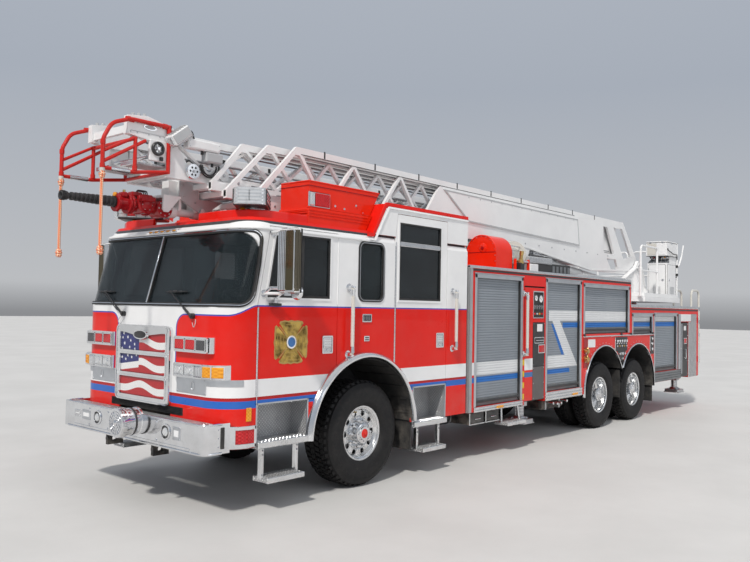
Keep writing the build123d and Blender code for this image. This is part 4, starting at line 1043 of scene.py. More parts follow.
pc = Piece("seat_frames")
for i, (x, y, f, z) in enumerate(SEATS):
    lift = 1.412 if abs(x) < 0.9 else 1.060
    cushion(f"seat_{i + 1}_cushion", (0.46, 0.44, 0.125), (x, y, z - 0.067), Matrix.Rotation(radians(0), 4, "Z"), "truck")
    # back: leans away by the CAD solid's slope
    lean = atan2(0.055, 0.85) * f
    rot = Matrix.Rotation(-lean, 4, "Y") @ Matrix.Rotation(radians(90 * f), 4, "Y")
    cushion(f"seat_{i + 1}_back", (0.66, 0.42, 0.105), (x - f * 0.208, y, z + 0.30), rot, "truck", channels=2)
    pc.box(x - 0.17, x + 0.17, y - 0.15, y + 0.15, lift, z - 0.135, "grey", c=0.008)
    pc.box(x - 0.20, x + 0.20, y - 0.19, y + 0.19, z - 0.150, z - 0.128, "plastic", c=0.006)
    pc.box(x - f * 0.275, x - f * 0.262, y - 0.18, y + 0.18, z + 0.02, z + 0.62, "plastic", c=0.004)
    for k in range(4):
        pc.bolt((x + (0.13 if k % 2 else -0.13), y + (0.12 if k > 1 else -0.12), lift + 0.001), (0, 0, 1), 0.008, 0.012, "steel")
seat_frames = pc.finish("truck", replaces=("seats",))

# ---- ropes ---------------------------------------------------------------------
for word, s in SIDES:
    cu = bpy.data.curves.new(f"{word}_tip_rope", "CURVE")
    cu.dimensions = "3D"
    sp = cu.splines.new("NURBS")
    route = [(2.640, 3.058), (2.6405, 3.00), (2.642, 2.88), (2.639, 2.72), (2.6415, 2.56), (2.640, 2.46), (2.640, 2.400)]
    sp.points.add(len(route) - 1)
    for p, (x, z) in zip(sp.points, route):
        p.co = (XF + x, s * 0.380, z, 1.0)
    sp.order_u = 3
    sp.use_endpoint_u = True
    cu.bevel_depth, cu.bevel_resolution, cu.resolution_u, cu.use_fill_caps = 0.014, 4, 12, True
    ob = bpy.data.objects.new(f"{word}_tip_rope", cu)
    cu.materials.append(M["rope"])
    bpy.context.scene.collection.objects.link(ob)
    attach(ob, "fly_section")
    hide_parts(f"{word}_rope")

# ---- floor ---------------------------------------------------------------------
pc_me = bpy.data.meshes.new("studio_floor")
pc_me.from_pydata([(XF - 90, -90, 0), (XF + 90, -90, 0), (XF + 90, 90, 0), (XF - 90, 90, 0)], [], [(0, 1, 2, 3)])
pc_me.materials.append(make_floor())
floor = bpy.data.objects.new("studio_floor", pc_me)
bpy.context.scene.collection.objects.link(floor)

# ---- helpers for fittings ------------------------------------------------------
def ellipse(cy, cz, a, b, n=28):
    return [(cy + a * cos(2 * pi * k / n), cz + b * sin(2 * pi * k / n)) for k in range(n)]


def loft(pc, a, b, plane, lo, hi, mat):
    """Solid between two outlines with as many points, at lo and hi along the plane's normal."""
    def at(p, h):
        return {"XZ": (p[0], h, p[1]), "YZ": (h, p[0], p[1]), "XY": (p[0], p[1], h)}[plane]
    n = len(a)
    vs = [at(p, lo) for p in a] + [at(p, hi) for p in b]
    fs = [(k, (k + 1) % n, n + (k + 1) % n, n + k) for k in range(n)]
    fs += [tuple(reversed(range(n))), tuple(range(n, 2 * n))]
    pc.add(vs, fs, mat)


def lamp(pc, plane, lo, u0, u1, z0, z1, d, lens_mat, bezel="chrome", rim=0.012, r=0.012, bulge=0.006):
    """Bezel frame and a bulged lens on the face at lo, standing d proud (d may be negative)."""
    g = 1 if d > 0 else -1
    o, i = rounded(u0, u1, z0, z1, r, 4), rounded(u0 + rim, u1 - rim, z0 + rim, z1 - rim, max(0.003, r * 0.6), 4)
    pc.frame(o, i, plane, lo, lo + d, bezel)
    j = rounded(u0 + rim * 1.7, u1 - rim * 1.7, z0 + rim * 1.7, z1 - rim * 1.7, max(0.002, r * 0.45), 4)
    loft(pc, i, i, plane, lo, lo + d * 0.55, lens_mat)
    loft(pc, i, j, plane, lo + d * 0.55, lo + d * 0.55 + g * bulge, lens_mat)


def flat_plate(pc, plane, lo, d, outline, mat, c=0.004):
    """Thin plate with a chamfered outer edge; the outline is shrunk towards its middle."""
    g = 1 if d > 0 else -1
    mu = sum(p[0] for p in outline) / len(outline)
    mz = sum(p[1] for p in outline) / len(outline)
    w = max(1e-6, max(abs(p[0] - mu) for p in outline))
    h = max(1e-6, max(abs(p[1] - mz) for p in outline))
    small = [(mu + (p[0] - mu) * (1 - c / w), mz + (p[1] - mz) * (1 - c / h)) for p in outline]
    loft(pc, outline, outline, plane, lo, lo + d - g * min(abs(d) * 0.5, c), mat)
    loft(pc, outline, small, plane, lo + d - g * min(abs(d) * 0.5, c), lo + d, mat)


def cab_y(x, z):
    """Half width of the cab's outer skin at a place seen from the side."""
    if z <= 1.9:
        xf, r = 1.915, 0.30
    else:
        xf, r = 1.915 - (z - 1.9) * 0.268, 0.30 - (z - 1.9) * 0.0417
    q = x - (xf - r)
    return HALF if q <= 0 else HALF - r + sqrt(max(0.0, r * r - q * q))


def cab_out(x, y, z):
    """Outward direction on the cab's skin."""
    if z <= 1.9:
        xf, r = 1.915, 0.30
    else:
        xf, r = 1.915 - (z - 1.9) * 0.268, 0.30 - (z - 1.9) * 0.0417
    cx, cy = xf - r, HALF - r
    n = Vector((max(0.0, x - cx), (abs(y) - cy if abs(y) > cy else 0.0) * (1 if y > 0 else -1), 0))
    if n.length < 1e-5:
        n = Vector((0, 1 if y > 0 else -1, 0))
    n.normalize()
    if z > 1.9:
        n.z = 0.25 * n.x
    return n.normalized()


def corner_band(pc, s, r0, r1, z0, z1, a0, a1, mat, c=0.004, n=16):
    """Curved block round the cab's lower front corner between two radii."""
    t0, t1 = (radians(a0), radians(a1)) if s > 0 else (-radians(a1), -radians(a0))
    prof = [(z0, r0), (z0, r1 - c), (z0 + c, r1), (z1 - c, r1), (z1, r1 - c), (z1, r0)]
    pc.lathe(prof, (1.615, s * 0.970, 0), "Z", mat, n=n, t0=t0, t1=t1)


# ---- front: lamps, grille insert, gaskets, wipers --------------------------------
pc = Piece("front_lamps")
FX = 1.955
for s in (1, -1):
    # upper row: two red lamps and a grey one in a chrome bezel
    pc.frame(rounded(*sorted((s * 0.546, s * 1.062)), 1.470, 1.610, 0.016), rounded(*sorted((s * 0.560, s * 1.048)), 1.484, 1.596, 0.010), "YZ", FX - 0.004, FX + 0.010, "chrome")
    for y0, y1, mat in ((0.564, 0.722, "red_lens"), (0.730, 0.888, "red_lens"), (0.896, 1.044, "dark_lens")):
        u0, u1 = sorted((s * y0, s * y1))
        lamp(pc, "YZ", FX - 0.002, u0, u1, 1.486, 1.594, 0.016, mat, rim=0.009, bulge=0.009)
        if mat == "red_lens":
            for k in range(5):
                y = u0 + 0.022 + (u1 - u0 - 0.044) * k / 4
                pc.rod((FX + 0.010, y, 1.500), (FX + 0.010, y, 1.580), 0.003, "red_lens", n=6)
        else:
            for k in range(7):
                z = 1.500 + 0.0133 * k
                pc.box(FX, FX + 0.017, u0 + 0.014, u1 - 0.014, z - 0.002, z + 0.002, "dark_lens", c=0.001)
    # lower row: two head lamps, a bright block and the amber lamp round the corner
    pc.frame(rounded(*sorted((s * 0.551, s * 1.000)), 1.238, 1.366, 0.016), rounded(*sorted((s * 0.562, s * 0.989)), 1.250, 1.354, 0.010), "YZ", FX - 0.004, FX + 0.010, "chrome")
    for y0, y1 in ((0.566, 0.720), (0.728, 0.882)):
        u0, u1 = sorted((s * y0, s * y1))
        lamp(pc, "YZ", FX - 0.002, u0, u1, 1.252, 1.352, 0.014, "clear_lens", rim=0.008, bulge=0.006)
        cy = (u0 + u1) / 2
        pc.disc((FX + 0.006, cy, 1.302), "X", 0.038, 0.010, "chrome", n=28, c=0.003)
        pc.disc((FX + 0.016, cy, 1.302), "X", 0.026, 0.006, "clear_lens", n=24, c=0.004)
        for k in (-1, 1):
            pc.rod((FX + 0.012, cy - 0.045, 1.302 + k * 0.030), (FX + 0.012, cy + 0.045, 1.302 + k * 0.030), 0.0025, "chrome", n=6)
    u0, u1 = sorted((s * 0.890, s * 0.986))
    pc.box(FX - 0.002, FX + 0.018, u0, u1, 1.252, 1.352, "dull_chrome", c=0.008)
    for k in range(3):
        y = u0 + 0.024 + k * 0.024
        pc.box(FX + 0.016, FX + 0.023, y - 0.007, y + 0.007, 1.262, 1.342, "chrome", c=0.003)
    corner_band(pc, s, 0.334, 0.349, 1.240, 1.364, 4, 43, "chrome")
    corner_band(pc, s, 0.345, 0.356, 1.254, 1.350, 6, 41, "amber_lens", c=0.005)
    for a in range(9, 40, 4):
        corner_band(pc, s, 0.354, 0.3585, 1.262, 1.342, a, a + 1.1, "amber_lens", c=0.001, n=2)
    corner_band(pc, s, 0.345, 0.362, 1.240, 1.364, 21.5, 23.5, "chrome", c=0.002, n=3)
    # bright plates under the lamps and round the corner
    u0, u1 = sorted((s * 0.548, s * 1.000))
    pc.box(1.914, 1.920, u0, u1, 1.090, 1.236, "satin", c=0.003)
    for k in range(2):
        for z in (1.104, 1.222):
            pc.bolt((1.920, u0 + 0.018 + k * (u1 - u0 - 0.036), z), (1, 0, 0), 0.005, 0.005, "steel")
    corner_band(pc, s, 0.299, 0.3055, 1.175, 1.236, 2, 74, "satin", c=0.002)
    pc.frame(ellipse((u0 + u1) / 2 + 0.03 * s, 1.162, 0.030, 0.042), ellipse((u0 + u1) / 2 + 0.03 * s, 1.162, 0.024, 0.036), "YZ", 1.919, 1.924, "dull_chrome")
    # amber marker at the corner's end and the lamp on the bumper's end
    corner_band(pc, s, 0.298, 0.310, 0.862, 0.985, 80, 89.5, "amber_lens", c=0.004, n=4)
    y0 = s * 1.268
    o = rounded(1.560, 1.856, 0.628, 0.824, 0.020, 5)
    i = rounded(1.586, 1.830, 0.652, 0.800, 0.012, 5)
    # the bezel bends with the skin, so it is built from the corner's own arc
    t0, t1 = 48, 90
    pc.box(1.560, 1.640, s * 1.262, s * 1.290, 0.628, 0.666, "chrome", c=0.006)
    pc.box(1.560, 1.640, s * 1.262, s * 1.290, 0.788, 0.824, "chrome", c=0.006)
    pc.box(1.560, 1.584, s * 1.262, s * 1.290, 0.628, 0.824, "chrome", c=0.004)
    pc.box(1.580, 1.636, s * 1.262, s * 1.282, 0.664, 0.790, "red_lens", c=0.004)
    corner_band(pc, s, 0.296, 0.320, 0.628, 0.666, t0, t1, "chrome")
    corner_band(pc, s, 0.296, 0.320, 0.788, 0.824, t0, t1, "chrome")
    corner_band(pc, s, 0.296, 0.320, 0.628, 0.824, t0 - 5, 61, "chrome")
    corner_band(pc, s, 0.296, 0.312, 0.664, 0.790, 61, t1, "red_lens")
    for a in range(64, 88, 6):
        corner_band(pc, s, 0.308, 0.3165, 0.672, 0.782, a, a + 1.2, "red_lens", c=0.001, n=2)
    corner_band(pc, s, 0.3, 0.304, 0.622, 0.628, 40, 89, "chrome", c=0.001)
pc.finish("truck", angle=30)

pc = Piece("grille_insert")
GX = 1.931
for k in range(3):
    z = 1.090 + 0.222 * k
    o = rounded(-0.408, 0.408, z - 0.096, z + 0.096, 0.022, 5)
    # lip of each field
    pc.frame(rounded(-0.418, 0.418, z - 0.106, z + 0.106, 0.028, 5), rounded(-0.402, 0.402, z - 0.090, z + 0.090, 0.018, 5), "YZ", 1.950, 1.958, "chrome")
    loft(pc, o, rounded(-0.396, 0.396, z - 0.084, z + 0.084, 0.014, 5), "YZ", GX + 0.001, GX + 0.009, "flag")
    # fine bars behind the field's lip
    for y in (-0.404, 0.404):
        pc.box(GX, 1.952, y - 0.004, y + 0.004, z - 0.085, z + 0.085, "dull_chrome", c=0.002)
    for i in range(1, 8):
        zz = z - 0.084 + 0.021 * i
        pc.box(GX + 0.0085, GX + 0.0105, -0.394, 0.394, zz - 0.0008, zz + 0.0008, "flag")
STARS = [(-0.358, 1.606, 0.024), (-0.283, 1.566, 0.022), (-0.340, 1.503, 0.023), (-0.229, 1.535, 0.020), (-0.155, 1.500, 0.020), (-0.245, 1.468, 0.020),
         (-0.155, 1.580, 0.018), (-0.150, 1.455, 0.018), (-0.375, 1.560, 0.017), (-0.385, 1.452, 0.018),
         (-0.275, 1.386, 0.021), (-0.202, 1.370, 0.020), (-0.312, 1.345, 0.020), (-0.380, 1.362, 0.019), (-0.118, 1.392, 0.017)]
for y, z, r in STARS:
    pts = []
    for k in range(10):
        t, q = 2 * pi * k / 10 + 0.1, 0.86 * r if k % 2 == 0 else r * 0.36
        pts.append((y + q * sin(t), z + q * cos(t)))
    pc.prism(pts, "YZ", GX + 0.0088, GX + 0.0112, "white")
# plain grey plate over the top field, its lower edge in a double curve, and a bare oval boss
pts = [(-0.424, 1.672), (-0.424, 1.626)]
for k in range(25):
    y = -0.41 + 0.82 * k / 24
    pts.append((y, 1.618 - 0.034 * math.exp(-((y + 0.02) / 0.17) ** 2) + 0.004 * cos(y * 16)))
pts += [(0.424, 1.626), (0.424, 1.672), (0.405, 1.684), (-0.405, 1.684)]
pc.prism(pts, "YZ", 1.940, 1.9585, "light_grey")
loft(pc, ellipse(-0.02, 1.602, 0.128, 0.054), ellipse(-0.02, 1.602, 0.120, 0.047), "YZ", 1.952, 1.967, "chrome")
loft(pc, ellipse(-0.02, 1.602, 0.108, 0.037), ellipse(-0.02, 1.602, 0.100, 0.031), "YZ", 1.966, 1.970, "plastic")
pc.frame(ellipse(-0.02, 1.602, 0.120, 0.047), ellipse(-0.02, 1.602, 0.108, 0.037), "YZ", 1.962, 1.972, "chrome")
# rounded outer bead of the chrome frame
o = rounded(-0.466, 0.466, 0.951, 1.689, 0.050, 6)
pc.ribbon([(1.953, y, z) for y, z in o], [(-0.010, -0.006), (0.010, -0.006), (0.007, 0.006), (-0.007, 0.006)], "chrome", up=(1, 0, 0), closed=True)
for y in (-0.45, 0.45):
    for z in (1.0, 1.2, 1.43, 1.65):
        pc.bolt((1.952, y * 0.975, z), (1, 0, 0), 0.006, 0.005, "steel")
# intake gap below the grille
pc.box(1.914, 1.919, -0.60, 0.655, 0.872, 0.946, "liner", c=0.002)
for k in range(5):
    z = 0.880 + 0.0145 * k
    pc.box(1.917, 1.926, -0.585, 0.640, z - 0.002, z + 0.002, "black", c=0.001)
pc.finish("truck", angle=30)

# windscreen gasket, bead and centre strip
pc = Piece("windscreen_trim")


def on_skin(p):
    x, z = p
    return Vector((x, cab_y(x, z), z))


low = [(p.x, p.z) for p in fillet_path([(1.9135, 0, 1.905), (1.632, 0, 1.905), (1.556, 0, 2.290)], 0.200, 14)]
high = [(p.x, p.z) for p in fillet_path([(1.556, 0, 2.290), (1.524, 0, 2.594), (1.7285, 0, 2.594)], 0.080, 8)]
side2d = low + high[1:]
half_path = []
xf0 = 1.915 - 0.005 * 0.268
for k in range(5):
    half_path.append(Vector((xf0, 0.97 * k / 5, 1.905)))
dense = []
for (a, b), (c, d) in zip(side2d, side2d[1:]):
    m = max(1, int(hypot(c - a, d - b) / 0.03))
    for j in range(m):
        dense.append((a + (c - a) * j / m, b + (d - b) * j / m))
dense.append(side2d[-1])
for x, z in dense:
    xf = 1.915 - max(0.0, z - 1.9) * 0.268
    half_path.append(on_skin((min(x, xf - 0.0005), z)))
xt = 1.915 - 0.694 * 0.268
for k in range(5):
    half_path.append(Vector((xt, 0.97 * (4 - k) / 5, 2.594)))
whole_path = half_path + [Vector((p.x, -p.y, p.z)) for p in reversed(half_path) if p.y > 1e-6]
ups = [cab_out(p.x, p.y, p.z) for p in whole_path]
pc.ribbon(whole_path, [(-0.019, -0.022), (0.019, -0.022), (0.018, 0.006), (0.011, 0.011), (-0.011, 0.011), (-0.018, 0.006)], "rubber", up=ups, closed=True)
pc.ribbon(whole_path, [(-0.0055, 0.008), (0.0055, 0.008), (0.0035, 0.0145), (-0.0035, 0.0145)], "chrome", up=ups, closed=True)
a, b = Vector((xf0 - 0.002, 0.0, 1.915)), Vector((xt - 0.002, 0.0, 2.585))
nrm = Vector((0.966, 0, 0.259))
pc.beam(a, b, 0.046, 0.020, "rubber", up=nrm, c=0.003)
pc.beam(a + nrm * 0.010, b + nrm * 0.010, 0.020, 0.010, "dull_chrome", up=nrm, c=0.003)
# wipers
for s, pv, arm, b0, b1 in ((1, (1.930, 0.785, 1.800), (1.893, 0.400, 2.020), 0.300, 0.640), (-1, (1.930, -0.401, 1.800), (1.893, -0.800, 2.020), -0.960, -0.650)):
    p, q = Vector(pv), Vector(arm)
    pc.rod(p - Vector((0.022, 0, 0)), p + Vector((0.016, 0, 0)), 0.026, "plastic", n=20)
    pc.rod(p + Vector((0.010, 0, 0)), p + Vector((0.030, 0, 0)), 0.014, "plastic", n=6)
    d = (q - p).normalized()
    pc.beam(p + Vector((0.018, 0, 0)), p + d * 0.16 + Vector((0.020, 0, 0)), 0.026, 0.014, "plastic", up=(1, 0, 0), c=0.004)
    pc.beam(p + d * 0.12 + Vector((0.022, 0, 0)), q + Vector((0.016, 0, 0)), 0.009, 0.006, "plastic", up=(1, 0, 0))
    off = Vector((0, 0.028 * s, -0.030))
    pc.rod(p + d * 0.10 + off * 0.5 + Vector((0.020, 0, 0)), q + off * 0.6 + Vector((0.016, 0, 0)), 0.0035, "plastic", n=8)
    # blade with its bows
    pc.beam((1.892, b0, 2.024), (1.892, b1, 2.026), 0.010, 0.022, "rubber", up=(1, 0, 0.2), c=0.002)
    pc.beam((1.902, b0 + 0.03, 2.026), (1.902, b1 - 0.03, 2.028), 0.008, 0.010, "plastic", up=(1, 0, 0.2), c=0.002)
    m = (b0 + b1) / 2
    pc.box(1.900, 1.916, m - 0.03, m + 0.03, 2.016, 2.040, "plastic", c=0.004)
    for k in (-0.09, 0.09):
        pc.box(1.898, 1.909, m + k - 0.014, m + k + 0.014, 2.018, 2.036, "plastic", c=0.003)
    # washer hose loop
    pc.pipe([p + Vector((0.0, 0.05 * s, -0.03)), p + Vector((0.02, 0.075 * s, -0.075)), p + Vector((0.01, 0.035 * s, -0.11)), p + Vector((0.0, 0.0, -0.06))], 0.0035, "light_grey", bend=0.03, n=8)
pc.finish("truck", angle=38)

# roof edge: drip rail, red fairing lips, marker lamps, beacons
pc = Piece("roof_trim")
edge = []
XF_TOP, R_TOP = 1.722, 0.270
for k in range(4):
    edge.append(Vector((XF_TOP + 0.001, (HALF - R_TOP) * k / 4, 2.628)))
for k in range(11):
    t = radians(90) * k / 10
    edge.append(Vector((XF_TOP - R_TOP + (R_TOP + 0.001) * cos(t), HALF - R_TOP + (R_TOP + 0.001) * sin(t), 2.628)))
edge2 = edge + [Vector((x, HALF + 0.001, 2.628 + 0.0 * x)) for x in (1.2, 0.9, 0.6, 0.3, 0.06)]
for sgn in (1, -1):
    path = [Vector((p.x, p.y * sgn, p.z)) for p in edge2]
    if sgn < 0:
        path = list(reversed(path))
    ups = [Vector((0, 0, 1))] * len(path)
    pc.ribbon(path, [(-0.014, -0.020), (0.010, -0.020), (0.018, -0.010), (0.018, -0.002), (0.012, 0.008), (-0.014, 0.012)] if sgn < 0 else
              [(-0.014, -0.020), (0.010, -0.020), (0.018, -0.010), (0.018, -0.002), (0.012, 0.008), (-0.014, 0.012)], "white", up=ups)
# red lips that stand on the roof above the drip rail
for s in (1, -1):
    lip = [(1.60, 0.40), (1.615, 0.70), (1.60, 0.93), (1.53, 1.09), (1.40, 1.165), (1.15, 1.185), (0.90, 1.190)]
    path = [Vector((x, s * y, 2.742)) for x, y in lip]
    path = fillet_path(path, 0.10, 5)
    pc.ribbon(path, [(-0.016, -0.016), (0.016, -0.016), (0.012, 0.056), (0.0, 0.066), (-0.012, 0.056)], "red", up=(0, 0, 1))
    # amber beacon on the lip's corner
    pc.disc((1.51, s * 0.95, 2.738), "Z", 0.034, 0.028, "plastic", n=24)
    pc.lathe([(0.0, 0.0005), (0.0, 0.030), (0.045, 0.028), (0.066, 0.020), (0.074, 0.0005)], (1.51, s * 0.95, 2.766), "Z", "amber_lens", n=24)
for k in range(5):
    y = -0.215 + 0.102 * k
    pc.box(1.712, 1.756, y - 0.034, y + 0.034, 2.624, 2.646, "chrome", c=0.004)
    pc.box(1.735, 1.765, y - 0.028, y + 0.028, 2.627, 2.643, "amber_lens", c=0.006)
pc.finish("truck", angle=38)

# ---- bumper, siren, low front ----------------------------------------------------
pc = Piece("bumper_details")
BX = 2.092
# rolled beads along the top and bottom edges, round both corners
edge = [Vector((1.90, 1.225, 0)), Vector((BX, 1.225, 0)), Vector((BX, -1.225, 0)), Vector((1.90, -1.225, 0))]
run = fillet_path(edge, 0.200, 10)
for z, w in ((0.858, 0.010), (0.606, 0.012)):
    pc.pipe([p + Vector((0, 0, z)) for p in run], w, "chrome", n=10)
# shallow pressed channel along the face
pc.ribbon([Vector((BX + 0.001, y, 0.632)) for y in (-1.02, -0.5, 0.0, 0.5, 1.02)], [(-0.010, -0.002), (0.010, -0.002), (0.007, 0.005), (-0.007, 0.005)], "chrome", up=(1, 0, 0))
# tread plate top with a turned-up lip
o = fillet_path([(1.925, 1.212, 0), (BX - 0.012, 1.212, 0), (BX - 0.012, -1.212, 0), (1.925, -1.212, 0)], 0.14, 8)
pc.prism([(p.x, p.y) for p in o], "XY", 0.8465, 0.853, "plate")
for k in range(13):
    pc.bolt((1.955, -1.14 + 0.19 * k, 0.853), (0, 0, 1), 0.006, 0.006, "steel")
# two round ports with a cap inside a ring
for y in (0.655, -0.555):
    pc.lathe([(0.0, 0.070), (0.006, 0.074), (0.012, 0.070), (0.012, 0.060), (0.0, 0.056), (-0.02, 0.054), (-0.02, 0.066)], (BX, y, 0.745), "X", "chrome", n=40)
    pc.disc((BX + 0.0005, y, 0.745), "X", 0.055, 0.006, "plastic", n=32)
    pc.disc((BX + 0.004, y, 0.745), "X", 0.040, 0.012, "clear_lens", n=32, c=0.008)
    for k in range(4):
        t = radians(45 + 90 * k)
        pc.bolt((BX + 0.011, y + 0.065 * cos(t), 0.745 + 0.065 * sin(t)), (1, 0, 0), 0.004, 0.004, "steel")
# small blank plates
for y0, y1, z0, z1, mat in ((0.765, 0.880, 0.690, 0.808, "satin"), (-0.86, -0.70, 0.700, 0.800, "satin"), (-1.02, -0.90, 0.715, 0.785, "dull_chrome")):
    pc.box(BX - 0.002, BX + 0.005, y0, y1, z0, z1, mat, c=0.003)
    for y in (y0 + 0.012, y1 - 0.012):
        for z in (z0 + 0.012, z1 - 0.012):
            pc.bolt((BX + 0.005, y, z), (1, 0, 0), 0.004, 0.004, "steel")
    pc.box(BX + 0.004, BX + 0.0065, y0 + 0.022, y1 - 0.022, z0 + 0.030, z1 - 0.030, "white", c=0.001)
for y in (0.50, -0.36, -0.72):
    for z in (0.655, 0.815):
        pc.bolt((BX, y, z), (1, 0, 0), 0.011, 0.010, "chrome")
for s in (1, -1):
    for z in (0.66, 0.735, 0.81):
        pc.bolt((1.93, s * 1.225, z), (0, s, 0), 0.008, 0.008, "chrome")
    # rubber stop at each end, and tow hook below
    pc.box(1.87, 1.915, s * 1.205, s * 1.232, 0.640, 0.830, "rubber", c=0.006)
    pc.pipe([(1.93, s * 0.405, 0.62), (2.03, s * 0.405, 0.60), (2.075, s * 0.405, 0.55), (2.03, s * 0.405, 0.505), (1.96, s * 0.405, 0.52)], 0.018, "iron", bend=0.03, n=10)
# siren: grooved barrel, domed front grid and its clamp band
sy, sz = 0.155, 0.790
pc.lathe([(2.082, 0.123), (2.082, 0.132), (2.100, 0.132), (2.106, 0.1235), (2.150, 0.1235), (2.152, 0.129), (2.172, 0.129), (2.174, 0.1235), (2.225, 0.1235), (2.232, 0.137),
          (2.262, 0.1405), (2.298, 0.1385), (2.310, 0.130), (2.310, 0.112), (2.300, 0.108), (2.300, 0.05), (2.20, 0.05), (2.20, 0.10)], (0, sy, sz), "X", "chrome", n=56)
pc.lathe([(2.150, 0.124), (2.150, 0.1305), (2.170, 0.1305), (2.170, 0.124)], (0, sy, sz), "X", "plastic", n=48)
for k in range(16):
    t = 2 * pi * k / 16
    c, d = cos(t), sin(t)
    pc.beam((2.302, sy + 0.030 * c, sz + 0.030 * d), (2.310, sy + 0.108 * c, sz + 0.108 * d), 0.006, 0.008, "chrome", up=(1, 0, 0), c=0.001)
for r in (0.052, 0.080, 0.106):
    pc.lathe([(2.302, r - 0.003), (2.313, r - 0.002), (2.313, r + 0.002), (2.302, r + 0.003)], (0, sy, sz), "X", "chrome", n=40)
pc.disc((2.296, sy, sz), "X", 0.106, 0.004, "liner", n=32)
pc.lathe([(2.300, 0.0005), (2.300, 0.032), (2.314, 0.028), (2.322, 0.014), (2.324, 0.0005)], (0, sy, sz), "X", "chrome", n=28)
for k in range(10):
    t = 2 * pi * k / 10
    pc.beam((2.236, sy + 0.138 * cos(t), sz + 0.138 * sin(t)), (2.290, sy + 0.1405 * cos(t), sz + 0.1405 * sin(t)), 0.014, 0.006, "dull_chrome", up=(0, cos(t), sin(t)), c=0.002)
pc.finish("truck", angle=32)

